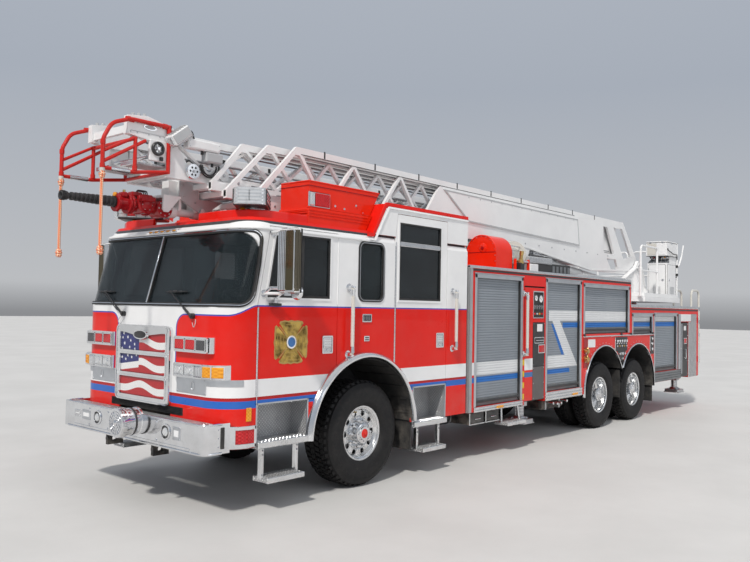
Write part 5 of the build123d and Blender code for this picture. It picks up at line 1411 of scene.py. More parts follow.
# ---- cab sides --------------------------------------------------------------------
ARCH_C = (0.078, 0.583)
pc = Piece("cab_side_trim")
for word, s in SIDES:
    # flared bright arch trim
    t0, t1 = (radians(-86), radians(88.5))
    prof = [(1.264, 0.850), (1.274, 0.858), (1.296, 0.856), (1.320, 0.842), (1.336, 0.822), (1.334, 0.804), (1.312, 0.792), (1.200, 0.790),
            (1.200, 0.797), (1.308, 0.799), (1.324, 0.808), (1.325, 0.820), (1.312, 0.834), (1.292, 0.846), (1.276, 0.848), (1.264, 0.842)]
    pc.lathe([(s * a, r) for a, r in prof], (ARCH_C[0], 0, ARCH_C[1]), "Y", "chrome", n=64, t0=t0, t1=t1)
    # black inner lip and liner
    pc.lathe([(s * 0.62, 0.789), (s * 1.296, 0.789), (s * 1.300, 0.783), (s * 0.62, 0.783)], (ARCH_C[0], 0, ARCH_C[1]), "Y", "liner", n=48, t0=t0, t1=t1)
    for k in range(14):
        t = radians(-80 + 12.3 * k)
        pc.lathe([(s * 0.64, 0.784), (s * 1.26, 0.784), (s * 1.26, 0.776), (s * 0.64, 0.776)], (ARCH_C[0], 0, ARCH_C[1]), "Y", "liner", n=2, t0=t, t1=t + 0.02)
    # red filler strips at the trim's lower ends, splash guard behind the wheel
    for x0, x1, z0, z1 in ((0.872, 0.906, 0.604, 0.960), (-0.742, -0.700, 0.620, 0.760)):
        pc.box(x0, x1, s * 1.262, s * 1.276, z0, z1, "red", c=0.004)
    pc.box(-0.742, -0.722, s * 1.262, s * 1.282, 0.612, 0.960, "satin", c=0.003)
    pc.box(-0.735, -0.722, s * 0.76, s * 1.262, 0.300, 0.900, "rubber", c=0.002)
    pc.beam((-0.720, s * 0.80, 0.80), (-0.720, s * 1.22, 0.80), 0.030, 0.008, "satin", up=(1, 0, 0))
    # lining of the step wells: x rear, x front, z low, z high
    for x0, x1, z0, z1 in ((0.905, 1.555, 0.658, 1.012), (-1.370, -0.740, 0.611, 1.012)):
        pc.box(x0 + 0.002, x1 - 0.002, s * 1.031, s * 1.036, z0, z1 - 0.001, "plate")
        pc.box(x0 + 0.001, x0 + 0.006, s * 1.031, s * 1.267, z0, z1 - 0.001, "plate")
        pc.box(x1 - 0.006, x1 - 0.001, s * 1.031, s * 1.267, z0, z1 - 0.001, "plate")
        pc.box(x0 + 0.002, x1 - 0.002, s * 1.031, s * 1.266, z1 - 0.006, z1 - 0.001, "plate")
        # folded lip round the opening
        for a, b, c, d in ((x0 - 0.004, x0 + 0.014, z0 - 0.05, z1 + 0.004), (x1 - 0.014, x1 + 0.004, z0 - 0.05, z1 + 0.004), (x0, x1, z1 - 0.012, z1 + 0.004)):
            pc.box(a, b, s * 1.262, s * 1.275, c, d, "satin", c=0.002)
        # small step light and a row of bolts inside
        pc.disc((x1 - 0.10, s * 1.036, z1 - 0.08), (0, s, 0), 0.026, 0.014, "chrome", n=20, c=0.004)
        pc.disc((x1 - 0.10, s * 1.049, z1 - 0.08), (0, s, 0), 0.018, 0.006, "clear_lens", n=20, c=0.003)
        for k in range(4):
            pc.bolt((x0 + 0.08 + (x1 - x0 - 0.16) * k / 3, s * 1.036, z0 + 0.03), (0, s, 0), 0.006, 0.005, "steel")
    # front step: bright nosing, open grip holes
    for x0, x1, z in ((0.908, 1.552, 0.658), (-1.367, -0.743, 0.611)):
        pc.box(x0, x1, s * 1.284, s * 1.306, z - 0.056, z + 0.004, "aluminium", c=0.006)
        for k in range(14):
            x = x0 + 0.035 + (x1 - x0 - 0.07) * k / 13
            pc.lathe([(0.0, 0.010), (0.004, 0.012), (0.004, 0.017), (0.0, 0.019)], (x, s * 1.262, z), "Z", "aluminium", n=12)
            pc.lathe([(0.0, 0.010), (0.004, 0.012), (0.004, 0.017), (0.0, 0.019)], (x, s * 1.215, z), "Z", "aluminium", n=12)
    # hanging steps: strap faces, bolts and the ribbed tread
    for xr, xf, zt, zb in ((1.010, 1.440, 0.602, 0.285), (-1.290, -0.880, 0.555, 0.265)):
        for x in (xr, xf):
            pc.box(x - 0.018, x + 0.018, s * 1.190, s * 1.240, zb + 0.02, zt - 0.004, "aluminium", c=0.005)
            for z in (zt - 0.03, zt - 0.07):
                pc.bolt((x, s * 1.240, z), (0, s, 0), 0.008, 0.007, "steel")
        pc.box(xr - 0.018, xf + 0.018, s * 1.322, s * 1.338, zb - 0.004, zb + 0.046, "aluminium", c=0.005)
        pc.box(xr - 0.018, xf + 0.018, s * 1.124, s * 1.138, zb - 0.004, zb + 0.046, "aluminium", c=0.005)
        for k in range(17):
            x = xr + 0.004 + (xf - xr - 0.008) * k / 16
            pc.box(x - 0.0075, x + 0.0075, s * 1.142, s * 1.318, zb + 0.040, zb + 0.048 + (0.003 if k % 2 else 0), "plate", c=0.002)
    # belt line bead of the lower cab, small square lamp box and slot plate, beads round the window
    o, i = rounded(-0.002, 0.146, 1.752, 1.838, 0.006, 3), rounded(0.012, 0.132, 1.766, 1.824, 0.004, 3)
    pc.frame(o, i, "XZ", s * 1.268, s * 1.280, "chrome")
    pc.box(0.012, 0.132, s * 1.268, s * 1.274, 1.766, 1.824, "plastic", c=0.002)
    for k in range(3):
        pc.box(0.020 + 0.038 * k, 0.048 + 0.038 * k, s * 1.273, s * 1.276, 1.775, 1.815, "grey_plastic", c=0.002)
    pc.box(0.024, 0.107, s * 1.268, s * 1.278, 1.548, 1.606, "chrome", c=0.004)
    pc.box(0.036, 0.095, s * 1.276, s * 1.280, 1.560, 1.572, "plastic", c=0.001)
    pc.box(0.036, 0.095, s * 1.276, s * 1.280, 1.582, 1.594, "plastic", c=0.001)
    # gasket and bright ring of the fixed window
    for e, w, h0, h1, mat in ((0.024, 0.0, 1.262, 1.280, "rubber"), (0.010, 0.006, 1.278, 1.284, "chrome")):
        o = rounded(-0.180 - e, 0.190 + e, 1.990 - e, 2.585 + e, 0.060 + e, 8)
        i = rounded(-0.180 - w + 0.006, 0.190 + w - 0.006, 1.990 - w + 0.006, 2.585 + w - 0.006, 0.060, 8) if mat == "rubber" else rounded(-0.184, 0.194, 1.986, 2.589, 0.062, 8)
        pc.frame(o, i, "XZ", s * h0, s * h1, mat)
pc.finish("truck", angle=32)


def outline_ring(points, out):
    """The outline moved outwards by out, corner by corner."""
    n = len(points)
    area = sum(points[k][0] * points[(k + 1) % n][1] - points[(k + 1) % n][0] * points[k][1] for k in range(n))
    sg = 1 if area > 0 else -1
    res = []
    for k in range(n):
        p, q, r = Vector(points[k - 1]), Vector(points[k]), Vector(points[(k + 1) % n])
        a, b = (q - p).normalized(), (r - q).normalized()
        na, nb = Vector((a.y, -a.x)) * sg, Vector((b.y, -b.x)) * sg
        m = (na + nb).normalized()
        res.append(q + m * (out / max(0.3, m.dot(na))))
    return [(p.x, p.y) for p in res]


FRONT_DOOR = [(1.570, 1.005), (1.570, 1.900), (1.428, 2.655), (0.515, 2.655), (0.515, 1.005)]
REAR_DOOR = [(-0.385, 1.005), (-0.385, 2.655), (-0.425, 2.960), (-1.375, 2.960), (-1.375, 1.005)]
FRONT_GLASS = [(1.452, 1.990), (1.352, 2.590), (0.640, 2.590), (0.640, 1.990)]
REAR_GLASS = [(-0.465, 2.000), (-0.465, 2.860), (-1.235, 2.860), (-1.235, 2.000)]


def strip(pc, s, a, b, w, h, mat, y=1.269):
    """Flat bead on the door's skin from a to b in side view."""
    pc.beam((a[0], s * y, a[1]), (b[0], s * y, b[1]), w, h, mat, up=(0, 1, 0), c=min(w, h) * 0.3)


def ribbed_handle(pc, s, x0, x1, z0, z1):
    """Paddle latch in a chrome pan."""
    y = 1.268
    pc.frame(rounded(x0, x1, z0, z1, 0.012, 4), rounded(x0 + 0.012, x1 - 0.012, z0 + 0.012, z1 - 0.012, 0.008, 4), "XZ", s * y, s * (y + 0.012), "chrome")
    pc.box(x0 + 0.012, x1 - 0.012, s * (y - 0.001), s * (y + 0.003), z0 + 0.012, z1 - 0.012, "dull_chrome")
    pc.box(x0 + 0.022, x1 - 0.022, s * (y + 0.002), s * (y + 0.017), z0 + 0.055, z1 - 0.020, "chrome", c=0.005)
    for k in range(4):
        z = z0 + 0.070 + (z1 - z0 - 0.105) * k / 3
        pc.box(x0 + 0.028, x1 - 0.028, s * (y + 0.015), s * (y + 0.0195), z - 0.003, z + 0.003, "dull_chrome", c=0.001)
    pc.disc(((x0 + x1) / 2, s * (y + 0.002), z0 + 0.034), (0, s, 0), 0.013, 0.010, "chrome", n=20, c=0.002)
    pc.box((x0 + x1) / 2 - 0.0015, (x0 + x1) / 2 + 0.0015, s * (y + 0.0115), s * (y + 0.0128), z0 + 0.027, z0 + 0.041, "plastic")


def emblem(pc, s, cx, cz, w, h):
    """A traditional eight-pointed cross with a plain round boss."""
    y = 1.268
    # one quarter, then mirrored twice
    quarter = [(0.0, 1.0), (0.18, 0.960), (0.38, 0.985), (0.64, 0.94), (0.70, 0.86), (0.32, 0.37), (0.38, 0.31), (0.86, 0.77), (0.94, 0.71), (0.965, 0.40), (0.95, 0.20)]
    ring = quarter + [(1.0, 0.0)] + [(a, -b) for a, b in reversed(quarter)]
    ring = ring + [(-a, b) for a, b in reversed(ring[1:-1])]
    pts = [(cx + a * w / 2, cz + b * h / 2) for a, b in ring]

    def shrunk(f):
        return [(cx + (p - cx) * f, cz + (q2 - cz) * f) for p, q2 in pts]
    loft(pc, pts, pts, "XZ", s * y, s * (y + 0.0025), "brass")
    loft(pc, shrunk(0.935), shrunk(0.925), "XZ", s * (y + 0.0025), s * (y + 0.0050), "gold")
    # raised borders of the four arms
    for t in (0, 90, 180, 270):
        c, d = cos(radians(t)), sin(radians(t))
        for k in (0.46, 0.64, 0.80):
            half = (0.10 + 0.16 * (k - 0.42)) * (h if abs(c) > 0.5 else w)
            mx, mz = cx + c * k * w / 2, cz + d * k * h / 2
            pc.beam((mx - d * half, s * (y + 0.0055), mz - c * half), (mx + d * half, s * (y + 0.0055), mz + c * half), 0.004, 0.003, "brass", up=(0, 1, 0))
    for t in (45, 135, 225, 315):
        c, d = cos(radians(t)), sin(radians(t))
        pc.beam((cx + c * 0.16 * w, s * (y + 0.005), cz + d * 0.16 * h), (cx + c * 0.50 * w, s * (y + 0.005), cz + d * 0.50 * h), 0.012, 0.004, "brass", up=(0, 1, 0), c=0.001)
    r = min(w, h) * 0.185
    pc.lathe([(0.0, 0.001), (0.0, r), (0.006, r), (0.009, r * 0.9), (0.0075, r * 0.82), (0.0075, 0.001)], (cx, s * y, cz), (0, s, 0), "gold", n=36)
    pc.disc((cx, s * (y + 0.007), cz), (0, s, 0), r * 0.80, 0.0015, "white", n=36)
    pc.disc((cx, s * (y + 0.0083), cz), (0, s, 0), r * 0.60, 0.0012, "enamel", n=36)


M["enamel"] = paint("blue_enamel", (0.05, 0.16, 0.40), rough=0.25)
# door mirror shell and front panel: dark olive-bronze metal standing in for a painted reflection on chrome
M["mirror_front_painted_reflection"] = metal("painted_reflection_mirror_front", (0.15, 0.125, 0.075), 0.08, wear=0.03)
M["mirror_shell_painted_reflection"] = metal("mirror_shell_painted_reflection", (0.20, 0.175, 0.13), 0.14, wear=0.05)

for word, s in SIDES:
    pc = Piece(f"front_{word}_door_trim")
    strip(pc, s, (0.517, 1.93), (0.517, 2.652), 0.010, 0.010, "white")
    # piano hinge
    for k in range(20):
        z = 1.102 + 0.0394 * k
        pc.rod((1.562, s * 1.272, z), (1.562, s * 1.272, z + 0.0375), 0.0088, "dull_chrome", n=12)
    pc.box(1.548, 1.556, s * 1.266, s * 1.2715, 1.010, 1.895, "dull_chrome", c=0.001)
    # window frame: rubber inside, painted bead outside, and the dark sliding rail
    ring = [outline_ring(FRONT_GLASS, e) for e in (0.026, 0.004, -0.014)]
    pc.frame(ring[0], ring[1], "XZ", s * 1.266, s * 1.276, "white")
    pc.frame(ring[1], ring[2], "XZ", s * 1.250, s * 1.273, "rubber")
    pc.box(0.985, 1.010, s * 1.248, s * 1.262, 1.992, 2.588, "rubber", c=0.003)
    pc.box(0.640, 1.440, s * 1.246, s * 1.262, 1.990, 2.012, "rubber", c=0.002)
    emblem(pc, s, 1.143, 1.565, 0.443, 0.420)
    ribbed_handle(pc, s, 0.584, 0.731, 1.440, 1.618)
    # lower seal
    pc.box(0.925, 1.552, s * 1.240, s * 1.262, 1.000, 1.010, "rubber")
    # mirror: chrome shell and front panel in dark olive-bronze metal as a painted reflection, ribbed front, glass
    # behind, arms and base
    x0, x1, y0, y1, z0, z1 = 1.412, 1.508, 1.458, 1.697, 2.022, 2.608
    pc.box(x0 + 0.016, x1, s * y0, s * y1, z0, z1, "mirror_shell_painted_reflection", c=0.026)
    for k in range(4):
        y = y0 + 0.024 + 0.022 * k
        pc.box(x1 - 0.004, x1 + 0.011, s * (y - 0.0075), s * (y + 0.0075), z0 + 0.025, z1 - 0.025, "chrome", c=0.005)
    pc.frame([(s * a, b) for a, b in rounded(y0 + 0.108, y1 - 0.010, z0 + 0.018, z1 - 0.018, 0.022, 5)], [(s * a, b) for a, b in rounded(y0 + 0.116, y1 - 0.018, z0 + 0.026, z1 - 0.026, 0.016, 5)], "YZ", x1 - 0.006, x1 + 0.007, "chrome")
    pc.prism([(s * a, b) for a, b in rounded(y0 + 0.114, y1 - 0.016, z0 + 0.024, z1 - 0.024, 0.016, 5)], "YZ", x1 - 0.006, x1 + 0.003, "mirror_front_painted_reflection")
    for k in range(3):
        xx = x0 + 0.036 + 0.022 * k
        pc.box(xx - 0.006, xx + 0.006, s * (y1 - 0.004), s * (y1 + 0.005), z0 + 0.04, z1 - 0.04, "mirror_shell_painted_reflection", c=0.003)
    pc.box(x0, x0 + 0.020, s * (y0 + 0.004), s * (y1 - 0.004), z0 + 0.004, z1 - 0.004, "rubber", c=0.008)
    pc.box(x0 - 0.003, x0 + 0.004, s * (y0 + 0.020), s * (y1 - 0.020), z0 + 0.185, z1 - 0.020, "mirror", c=0.002)
    pc.box(x0 - 0.003, x0 + 0.004, s * (y0 + 0.020), s * (y1 - 0.020), z0 + 0.020, z0 + 0.165, "mirror", c=0.002)
    for z, dx in ((2.020, 0.0), (2.590, -0.1026)):
        ax = 1.502 + dx
        pc.rod((ax, s * 1.262, z), (ax, s * 1.276, z), 0.034, "chrome", n=20)
        pc.pipe([(ax - 0.002, s * 1.27, z), (ax - 0.01, s * 1.36, z + (0.05 if z < 2.3 else -0.02)), (1.470, s * 1.47, z + (0.05 if z < 2.3 else -0.03)), (1.468, s * 1.575, z + (0.03 if z < 2.3 else -0.02))], 0.0165, "chrome", bend=0.04, n=12)
        pc.disc((1.468, s * 1.560, z - 0.02), "Z", 0.032, 0.04, "chrome", n=20, c=0.006)
    # oval foot on the belt with its clamp, and the small round mirror
    o = [(1.372 + 0.075 * cos(2 * pi * k / 24), s * (1.292 + 0.026 * sin(2 * pi * k / 24))) for k in range(24)]
    pc.prism(o, "XY", 1.905, 1.932, "plastic")
    pc.rod((1.372, s * 1.292, 1.93), (1.372, s * 1.300, 1.985), 0.014, "chrome", n=12)
    pc.pipe([(1.372, s * 1.300, 1.975), (1.36, s * 1.36, 2.02), (1.335, s * 1.40, 2.035), (1.335, s * 1.44, 2.035)], 0.011, "chrome", bend=0.02, n=10)
    for k in range(3):
        pc.lathe([(0.0, 0.012), (0.0, 0.020), (0.010, 0.020), (0.010, 0.012)], (1.372, s * 1.296, 1.940 + 0.015 * k), "Z", "dull_chrome", n=14)
    pc.lathe([(0.0, 0.001), (0.0, 0.055), (0.012, 0.068), (0.030, 0.072), (0.034, 0.066), (0.030, 0.001)], (1.322, s * 1.505, 2.035), (-1, 0, 0), "chrome", n=28)
    pc.disc((1.294, s * 1.505, 2.035), (-1, 0, 0), 0.062, 0.003, "mirror", n=28)
    pc.rod((1.335, s * 1.43, 2.035), (1.318, s * 1.49, 2.035), 0.012, "chrome", n=10)
    pc.finish(f"front_{word}_door", angle=32)

    pc = Piece(f"rear_{word}_door_trim")
    for k in range(32):
        z = 1.312 + 0.0402 * k
        pc.rod((-0.393, s * 1.272, z), (-0.393, s * 1.272, z + 0.038), 0.0088, "dull_chrome", n=12)
    pc.box(-0.412, -0.402, s * 1.266, s * 1.2715, 1.300, 2.640, "dull_chrome", c=0.001)
    ring = [outline_ring(REAR_GLASS, e) for e in (0.026, 0.004, -0.014)]
    pc.frame(ring[0], ring[1], "XZ", s * 1.266, s * 1.276, "white")
    pc.frame(ring[1], ring[2], "XZ", s * 1.250, s * 1.273, "rubber")
    pc.box(-1.232, -0.468, s * 1.262, s * 1.274, 2.604, 2.646, "dull_chrome", c=0.003)
    pc.box(-1.225, -0.475, s * 1.246, s * 1.262, 2.000, 2.020, "rubber", c=0.002)
    ribbed_handle(pc, s, -1.311, -1.159, 1.448, 1.622)
    pc.box(-1.360, -0.755, s * 1.240, s * 1.262, 1.000, 1.010, "rubber")
    pc.finish(f"rear_{word}_door", angle=32)

# hand rails: brackets, ribbed grips
pc = Piece("grab_rail_trim")
for word, s in SIDES:
    for x, z0, z1 in ((0.355, 1.420, 2.110), (-1.490, 1.430, 2.120), (-3.190, 1.300, 2.140)):
        for z, g in ((z0, 1), (z1, -1)):
            base_y = 1.270
            pc.disc((x, s * base_y, z), (0, s, 0), 0.042, 0.010, "chrome", n=24, c=0.004)
            for k in range(3):
                t = 2 * pi * k / 3 + 0.4
                pc.bolt((x + 0.031 * cos(t), s * (base_y + 0.009), z + 0.031 * sin(t)), (0, s, 0), 0.0045, 0.004, "steel")
            pc.rod((x, s * (base_y + 0.008), z), (x, s * 1.322, z), 0.025, "chrome", n=18, r2=0.022)
            pc.rod((x, s * 1.335, z + g * 0.020), (x, s * 1.335, z + g * 0.085), 0.0235, "chrome", n=18, r2=0.0205)
            pc.lathe([(0.0, 0.0005), (0.0, 0.023), (0.012, 0.020), (0.018, 0.010), (0.020, 0.0005)], (x, s * 1.335, z - g * 0.0), (0, 0, -g), "chrome", n=16)
        for k in range(int((z1 - z0 - 0.26) / 0.036)):
            z = z0 + 0.13 + 0.036 * k
            pc.lathe([(0.0, 0.0185), (0.002, 0.0202), (0.024, 0.0202), (0.026, 0.0185)], (x, s * 1.335, z), "Z", "cream", n=16)
pc.finish("truck", angle=35)

# ---- roof: raised part's trim, boxes, light bars ---------------------------------------
pc = Piece("roof_fittings")
for word, s in SIDES:
    up = (0, s, 0)
    # white gutter and red edge that climb the raised roof
    low_run = fillet_path([(0.075, s * 1.270, 2.640), (-0.040, s * 1.270, 2.640), (-0.258, s * 1.270, 3.010), (-1.798, s * 1.270, 3.010)], 0.02, 3)
    top_run = fillet_path([(0.075, s * 1.268, 2.688), (-0.012, s * 1.268, 2.688), (-0.222, s * 1.268, 3.044), (-1.798, s * 1.268, 3.044)], 0.02, 3)
    pc.ribbon(low_run, [(-0.012, -0.004), (0.012, -0.004), (0.010, 0.014), (-0.010, 0.010)], "white", up=up)
    pc.ribbon(top_run, [(-0.021, -0.006), (0.021, -0.006), (0.019, 0.009), (-0.019, 0.009)], "red", up=up)
    # box lid: seam, lip, latches, hinge leaves
    for y in (0.690, 1.110):
        sg = -1 if y < 0.9 else 1
        pc.box(-0.262, 0.804, s * y, s * (y + sg * 0.006), 3.128, 3.136, "dark_red", c=0.001)
    pc.box(0.800, 0.806, s * 0.688, s * 1.112, 3.128, 3.136, "dark_red", c=0.001)
    pc.box(-0.285, 0.806, s * 0.684, s * 1.116, 3.168, 3.186, "orange_red", c=0.006)
    # stepped ledges round the base
    for k, (e, z) in enumerate(((0.012, 2.880), (0.012, 2.850), (0.012, 2.820))):
        pc.box(0.842, 0.850, s * 0.700, s * 1.140, z - 0.008, z + 0.006, "orange_red", c=0.003)
        pc.box(-0.05, 0.835, s * 1.148, s * 1.158, z - 0.008, z + 0.006, "orange_red", c=0.003)
    pc.box(-0.110, 0.826, s * 1.106, s * 1.150, 2.898, 2.910, "orange_red", c=0.004)
    for x in (0.10, 0.62):
        pc.box(x - 0.03, x + 0.03, s * 0.682, s * 0.692, 3.10, 3.16, "dull_chrome", c=0.003)
    for x, z in ((0.42, 2.96), (0.28, 2.945), (-0.02, 2.93), (0.10, 3.0)):
        pc.bolt((x, s * 1.110, z), (0, s, 0), 0.010, 0.010, "chrome")
    # side lamp: chrome body, clear end and red lens
    pc.box(0.505, 0.812, s * 1.108, s * 1.128, 2.912, 3.072, "chrome", c=0.008)
    pc.box(0.740, 0.802, s * 1.124, s * 1.146, 2.926, 3.060, "clear_lens", c=0.010)
    pc.box(0.520, 0.726, s * 1.124, s * 1.140, 2.926, 3.060, "red_lens", c=0.010)
    for k in range(8):
        x = 0.536 + 0.0248 * k
        pc.box(x - 0.002, x + 0.002, s * 1.138, s * 1.1425, 2.936, 3.050, "red_lens", c=0.0008)
    # light bar modules
    m = Matrix.Translation((1.390, s * 0.945, 0)) @ Matrix.Rotation(radians(-45 * s), 4, "Z")
    pc.box(-0.154, 0.154, -0.250, 0.250, 2.838, 2.862, "plastic", c=0.006, m=m)
    pc.box(-0.154, 0.154, -0.252, 0.252, 2.988, 3.006, "clear_lens", c=0.008, m=m)
    pc.box(-0.100, 0.100, -0.200, 0.200, 3.004, 3.012, "clear_lens", c=0.004, m=m)
    for e in (-1, 1):
        for k in range(5):
            y = -0.200 + 0.100 * k
            mat = "red_lens" if k in (1,) else "clear_lens"
            pc.box(e * 0.146, e * 0.157, y - 0.043, y + 0.043, 2.872, 2.978, mat, c=0.006, m=m)
            for j in range(3):
                z = 2.892 + 0.033 * j
                pc.box(e * 0.155, e * 0.1605, y - 0.036, y + 0.036, z - 0.010, z + 0.010, "chrome" if mat == "clear_lens" else mat, c=0.003, m=m)
            pc.box(e * 0.140, e * 0.160, y - 0.052, y - 0.046, 2.862, 2.990, "plastic", c=0.002, m=m)
        pc.box(e * 0.140, e * 0.160, 0.246, 0.252, 2.862, 2.990, "plastic", c=0.002, m=m)
        # rounded ends
        for a in (-0.245, 0.245):
            pc.box(-0.060 + e * 0.045, 0.060 + e * 0.045, a + (0.040 if a > 0 else -0.064), a + (0.064 if a > 0 else -0.040), 2.872, 2.978, "clear_lens", c=0.008, m=m)
    pc.box(-0.040, 0.040, -0.300, -0.268, 2.880, 2.970, "red_lens", c=0.008, m=m)
    pc.box(1.285, 1.475, s * 0.815, s * 1.045, 2.732, 2.742, "plastic", c=0.004)
    for x in (1.305, 1.455):
        for y in (0.835, 1.025):
            pc.bolt((x, s * y, 2.742), (0, 0, 1), 0.009, 0.010, "steel")
# aerials, vents and the tread walkway on the cab roof
pc.box(-1.76, 0.78, -0.60, 0.60, 2.7305, 2.735, "plate")
for y in (-0.60, 0.60):
    pc.box(-1.76, 0.78, y - 0.012, y + 0.012, 2.7305, 2.748, "aluminium", c=0.003)
pc.box(0.98, 1.26, -0.20, 0.20, 2.731, 2.776, "orange_red", c=0.012)
for x, y in ((0.88, 0.30), (0.88, -0.32)):
    pc.disc((x, y, 2.731), "Z", 0.028, 0.020, "plastic", n=20, c=0.004)
    pc.rod((x, y, 2.750), (x, y, 2.800), 0.008, "plastic", n=10)
for s in (1, -1):
    pc.box(-1.76, -0.30, s * 0.72, s * 1.22, 3.0505, 3.055, "plate")
    pc.disc((-0.55, s * 0.95, 3.055), "Z", 0.075, 0.030, "chrome", n=28, c=0.010)
pc.finish("truck", angle=32)

# ---- ladder ----------------------------------------------------------------------------
# name, body, half width, low z, high z, rear x, front x low, front x high, rung z
LADDER = [
    ("base", "base_section", 0.620, 2.900, 3.630, -8.750, 1.120, 0.530, 2.925),
    ("second", "second_section", 0.530, 2.980, 3.605, -7.900, 1.380, 0.850, 3.002),
    ("third", "third_section", 0.445, 3.052, 3.580, -7.250, 1.500, 1.130, 3.074),
    ("fly", "fly_section", 0.360, 3.122, 3.560, -6.600, 1.960, 1.960, 3.144),
]
RUNG_RINGS = 6
for nm, bodyname, half, zb, zt, xr, xfb, xft, zr in LADDER:
    pc = Piece(f"ladder_{nm}_details")
    x = xfb - 0.120
    first = -8.0 if nm == "base" else xr + 0.15
    rungs = []
    while x > first:
        rungs.append(x)
        x -= 0.356
    e = half - 0.066
    for i, x in enumerate(rungs):
        z = zr + 0.016
        pc.rod((x, -e, z), (x, e, z), 0.0232, "satin", n=12)
        for s in (1, -1):
            pc.rod((x, s * (e - 0.035), z), (x, s * (e + 0.004), z), 0.030, "satin", n=12)
            # gusset from rung to rail
            if i % 2 == 0:
                pc.box(x - 0.004, x + 0.004, s * (e - 0.075), s * e, z + 0.012, z + 0.062, "satin")
        for k in range(-RUNG_RINGS, RUNG_RINGS + 1):
            y = k * (e - 0.06) / RUNG_RINGS
            pc.rod((x, y - 0.006, z), (x, y + 0.006, z), 0.0252, "satin", n=12)
        # flat braces in the plane of the rungs
        if i:
            x2 = rungs[i - 1]
            a, b = (-e, e) if i % 2 else (e, -e)
            for s in (1, -1):
                pc.beam((x2 - 0.01, s * e, zr + 0.004), (x + 0.01, s * e * 0.52, zr + 0.004), 0.020, 0.006, "satin", c=0.001)
                pc.beam((x2 - 0.01, s * e * 0.52, zr + 0.004), (x + 0.01, s * e, zr + 0.004), 0.020, 0.006, "satin", c=0.001)
    lo_x, hi_x = rungs[-1], xft - 0.10
    for s in (1, -1):
        # wire ropes and a hand line along the inside
        for dy, z, r, mat in ((0.080, zb + 0.115, 0.007, "cable"), (0.092, zb + 0.150, 0.007, "cable"), (0.062, zt - 0.090, 0.009, "cable")):
            if z - r > zt - 0.08 and z < zt - 0.085:
                continue
            pc.rod((max(lo_x, -7.6), s * (half - dy), z), (hi_x - 0.1, s * (half - dy), z), r, mat, n=8)
        # bolted wear pads on the rails' inner corners, bolts along the lower rail
        for k in range(12):
            x = lo_x + 0.4 + (hi_x - lo_x - 0.8) * k / 11
            pc.box(x - 0.020, x + 0.020, s * (half - 0.060), s * (half - 0.052), zt - 0.064, zt - 0.012, "rubber", c=0.003)
        for k in range(int((xfb - 0.3 + 7.9) / 0.43) if nm == "base" else 0):
            x = xfb - 0.30 - 0.43 * k
            pc.bolt((x, s * half, zb + 0.048), (0, s, 0), 0.010, 0.008, "steel")
        # guide sheave at the front end and its cheek plates
        if nm != "fly":
            cx, cz = xfb - 0.205, zb + 0.175
            for a, b in ((0.074, 0.080), (0.112, 0.118)):
                pc.disc((cx, s * (half - a), cz), (0, -s, 0), 0.062, 0.006, "white", n=28)
            pc.lathe([(0.0, 0.004), (0.0, 0.056), (0.007, 0.056), (0.012, 0.046), (0.020, 0.046), (0.025, 0.056), (0.032, 0.056), (0.032, 0.004)], (cx, s * (half - 0.080), cz), (0, -s, 0), "dull_chrome", n=32)
            pc.bolt((cx, s * (half - 0.073), cz), (0, s, 0), 0.014, 0.010, "steel")
            # stop block on the slanting post
            pc.box(xfb - 0.03, xfb + 0.0, s * (half - 0.055), s * (half - 0.008), zb + 0.012, zb + 0.085, "rubber", c=0.006)
        # end caps of the top rail
        pc.box(xft - 0.046, xft - 0.036, s * (half - 0.052), s * (half - 0.006), zt - 0.066, zt - 0.004, "light_grey", c=0.004)
    if nm == "base":
        for s in (1, -1):
            # dark seam below the top rail, black position ticks on it
            pc.box(-6.0, 0.46, s * (half - 0.002), s * (half + 0.002), zt - 0.078, zt - 0.071, "plastic")
            for k in range(9):
                x = 0.10 - 0.86 * k
                pc.box(x - 0.012, x + 0.012, s * (half - 0.004), s * (half + 0.003), zt - 0.066, zt + 0.014, "plastic", c=0.003)
            # outline of the sign board and its screws
            board = [(-2.150, 3.520), (-2.760, 3.130), (-6.170, 3.045), (-6.100, 3.505)]
            ring = [outline_ring(board, -0.004), outline_ring(board, -0.022)]
            pc.frame(ring[0], ring[1], "XZ", s * 0.6335, s * 0.638, "light_grey")
            for k in range(12):
                x = -2.75 - 0.29 * k
                for z in (3.478, 3.150 - 0.0249 * (-2.76 - x)):
                    if z < 3.3 or x < -2.3:
                        pc.bolt((x, s * 0.634, z), (0, s, 0), 0.007, 0.005, "steel")
            # hydraulic lines along the lower rail
            for k, r in enumerate((0.012, 0.012, 0.016)):
                z = zb - 0.030 - 0.034 * k
                pc.rod((-6.4, s * (half - 0.03), z - 0.05), (-4.62, s * (half - 0.03), zb - 0.030 - 0.03 * k), r, "dull_chrome", n=10)
            # heel stiffeners: ribs, bolts round the pin
            for k in range(10):
                t = 2 * pi * k / 10
                pc.bolt((-8.62 + 0.082 * cos(t), s * 0.620, 2.80 + 0.082 * sin(t)), (0, s, 0), 0.010, 0.010, "steel")
            pc.beam((-8.70, s * 0.622, 2.735), (-6.70, s * 0.622, 2.655), 0.030, 0.012, "white", up=(0, 1, 0), c=0.003)
            pc.beam((-6.62, s * 0.622, 2.655), (-4.25, s * 0.622, 2.905), 0.030, 0.012, "white", up=(0, 1, 0), c=0.003)
        # lamp and reflectors at the front cross member
        for y in (-0.42, 0.42):
            pc.disc((xfb - 0.012, y, zb + 0.048), "X", 0.030, 0.016, "red_lens", n=20, c=0.005)
    if nm != "fly":
        pc.box(xfb - 0.026, xfb - 0.006, -(half - 0.07), half - 0.07, zb + 0.020, zb + 0.080, "white", c=0.006)
    pc.finish(bodyname, angle=35)

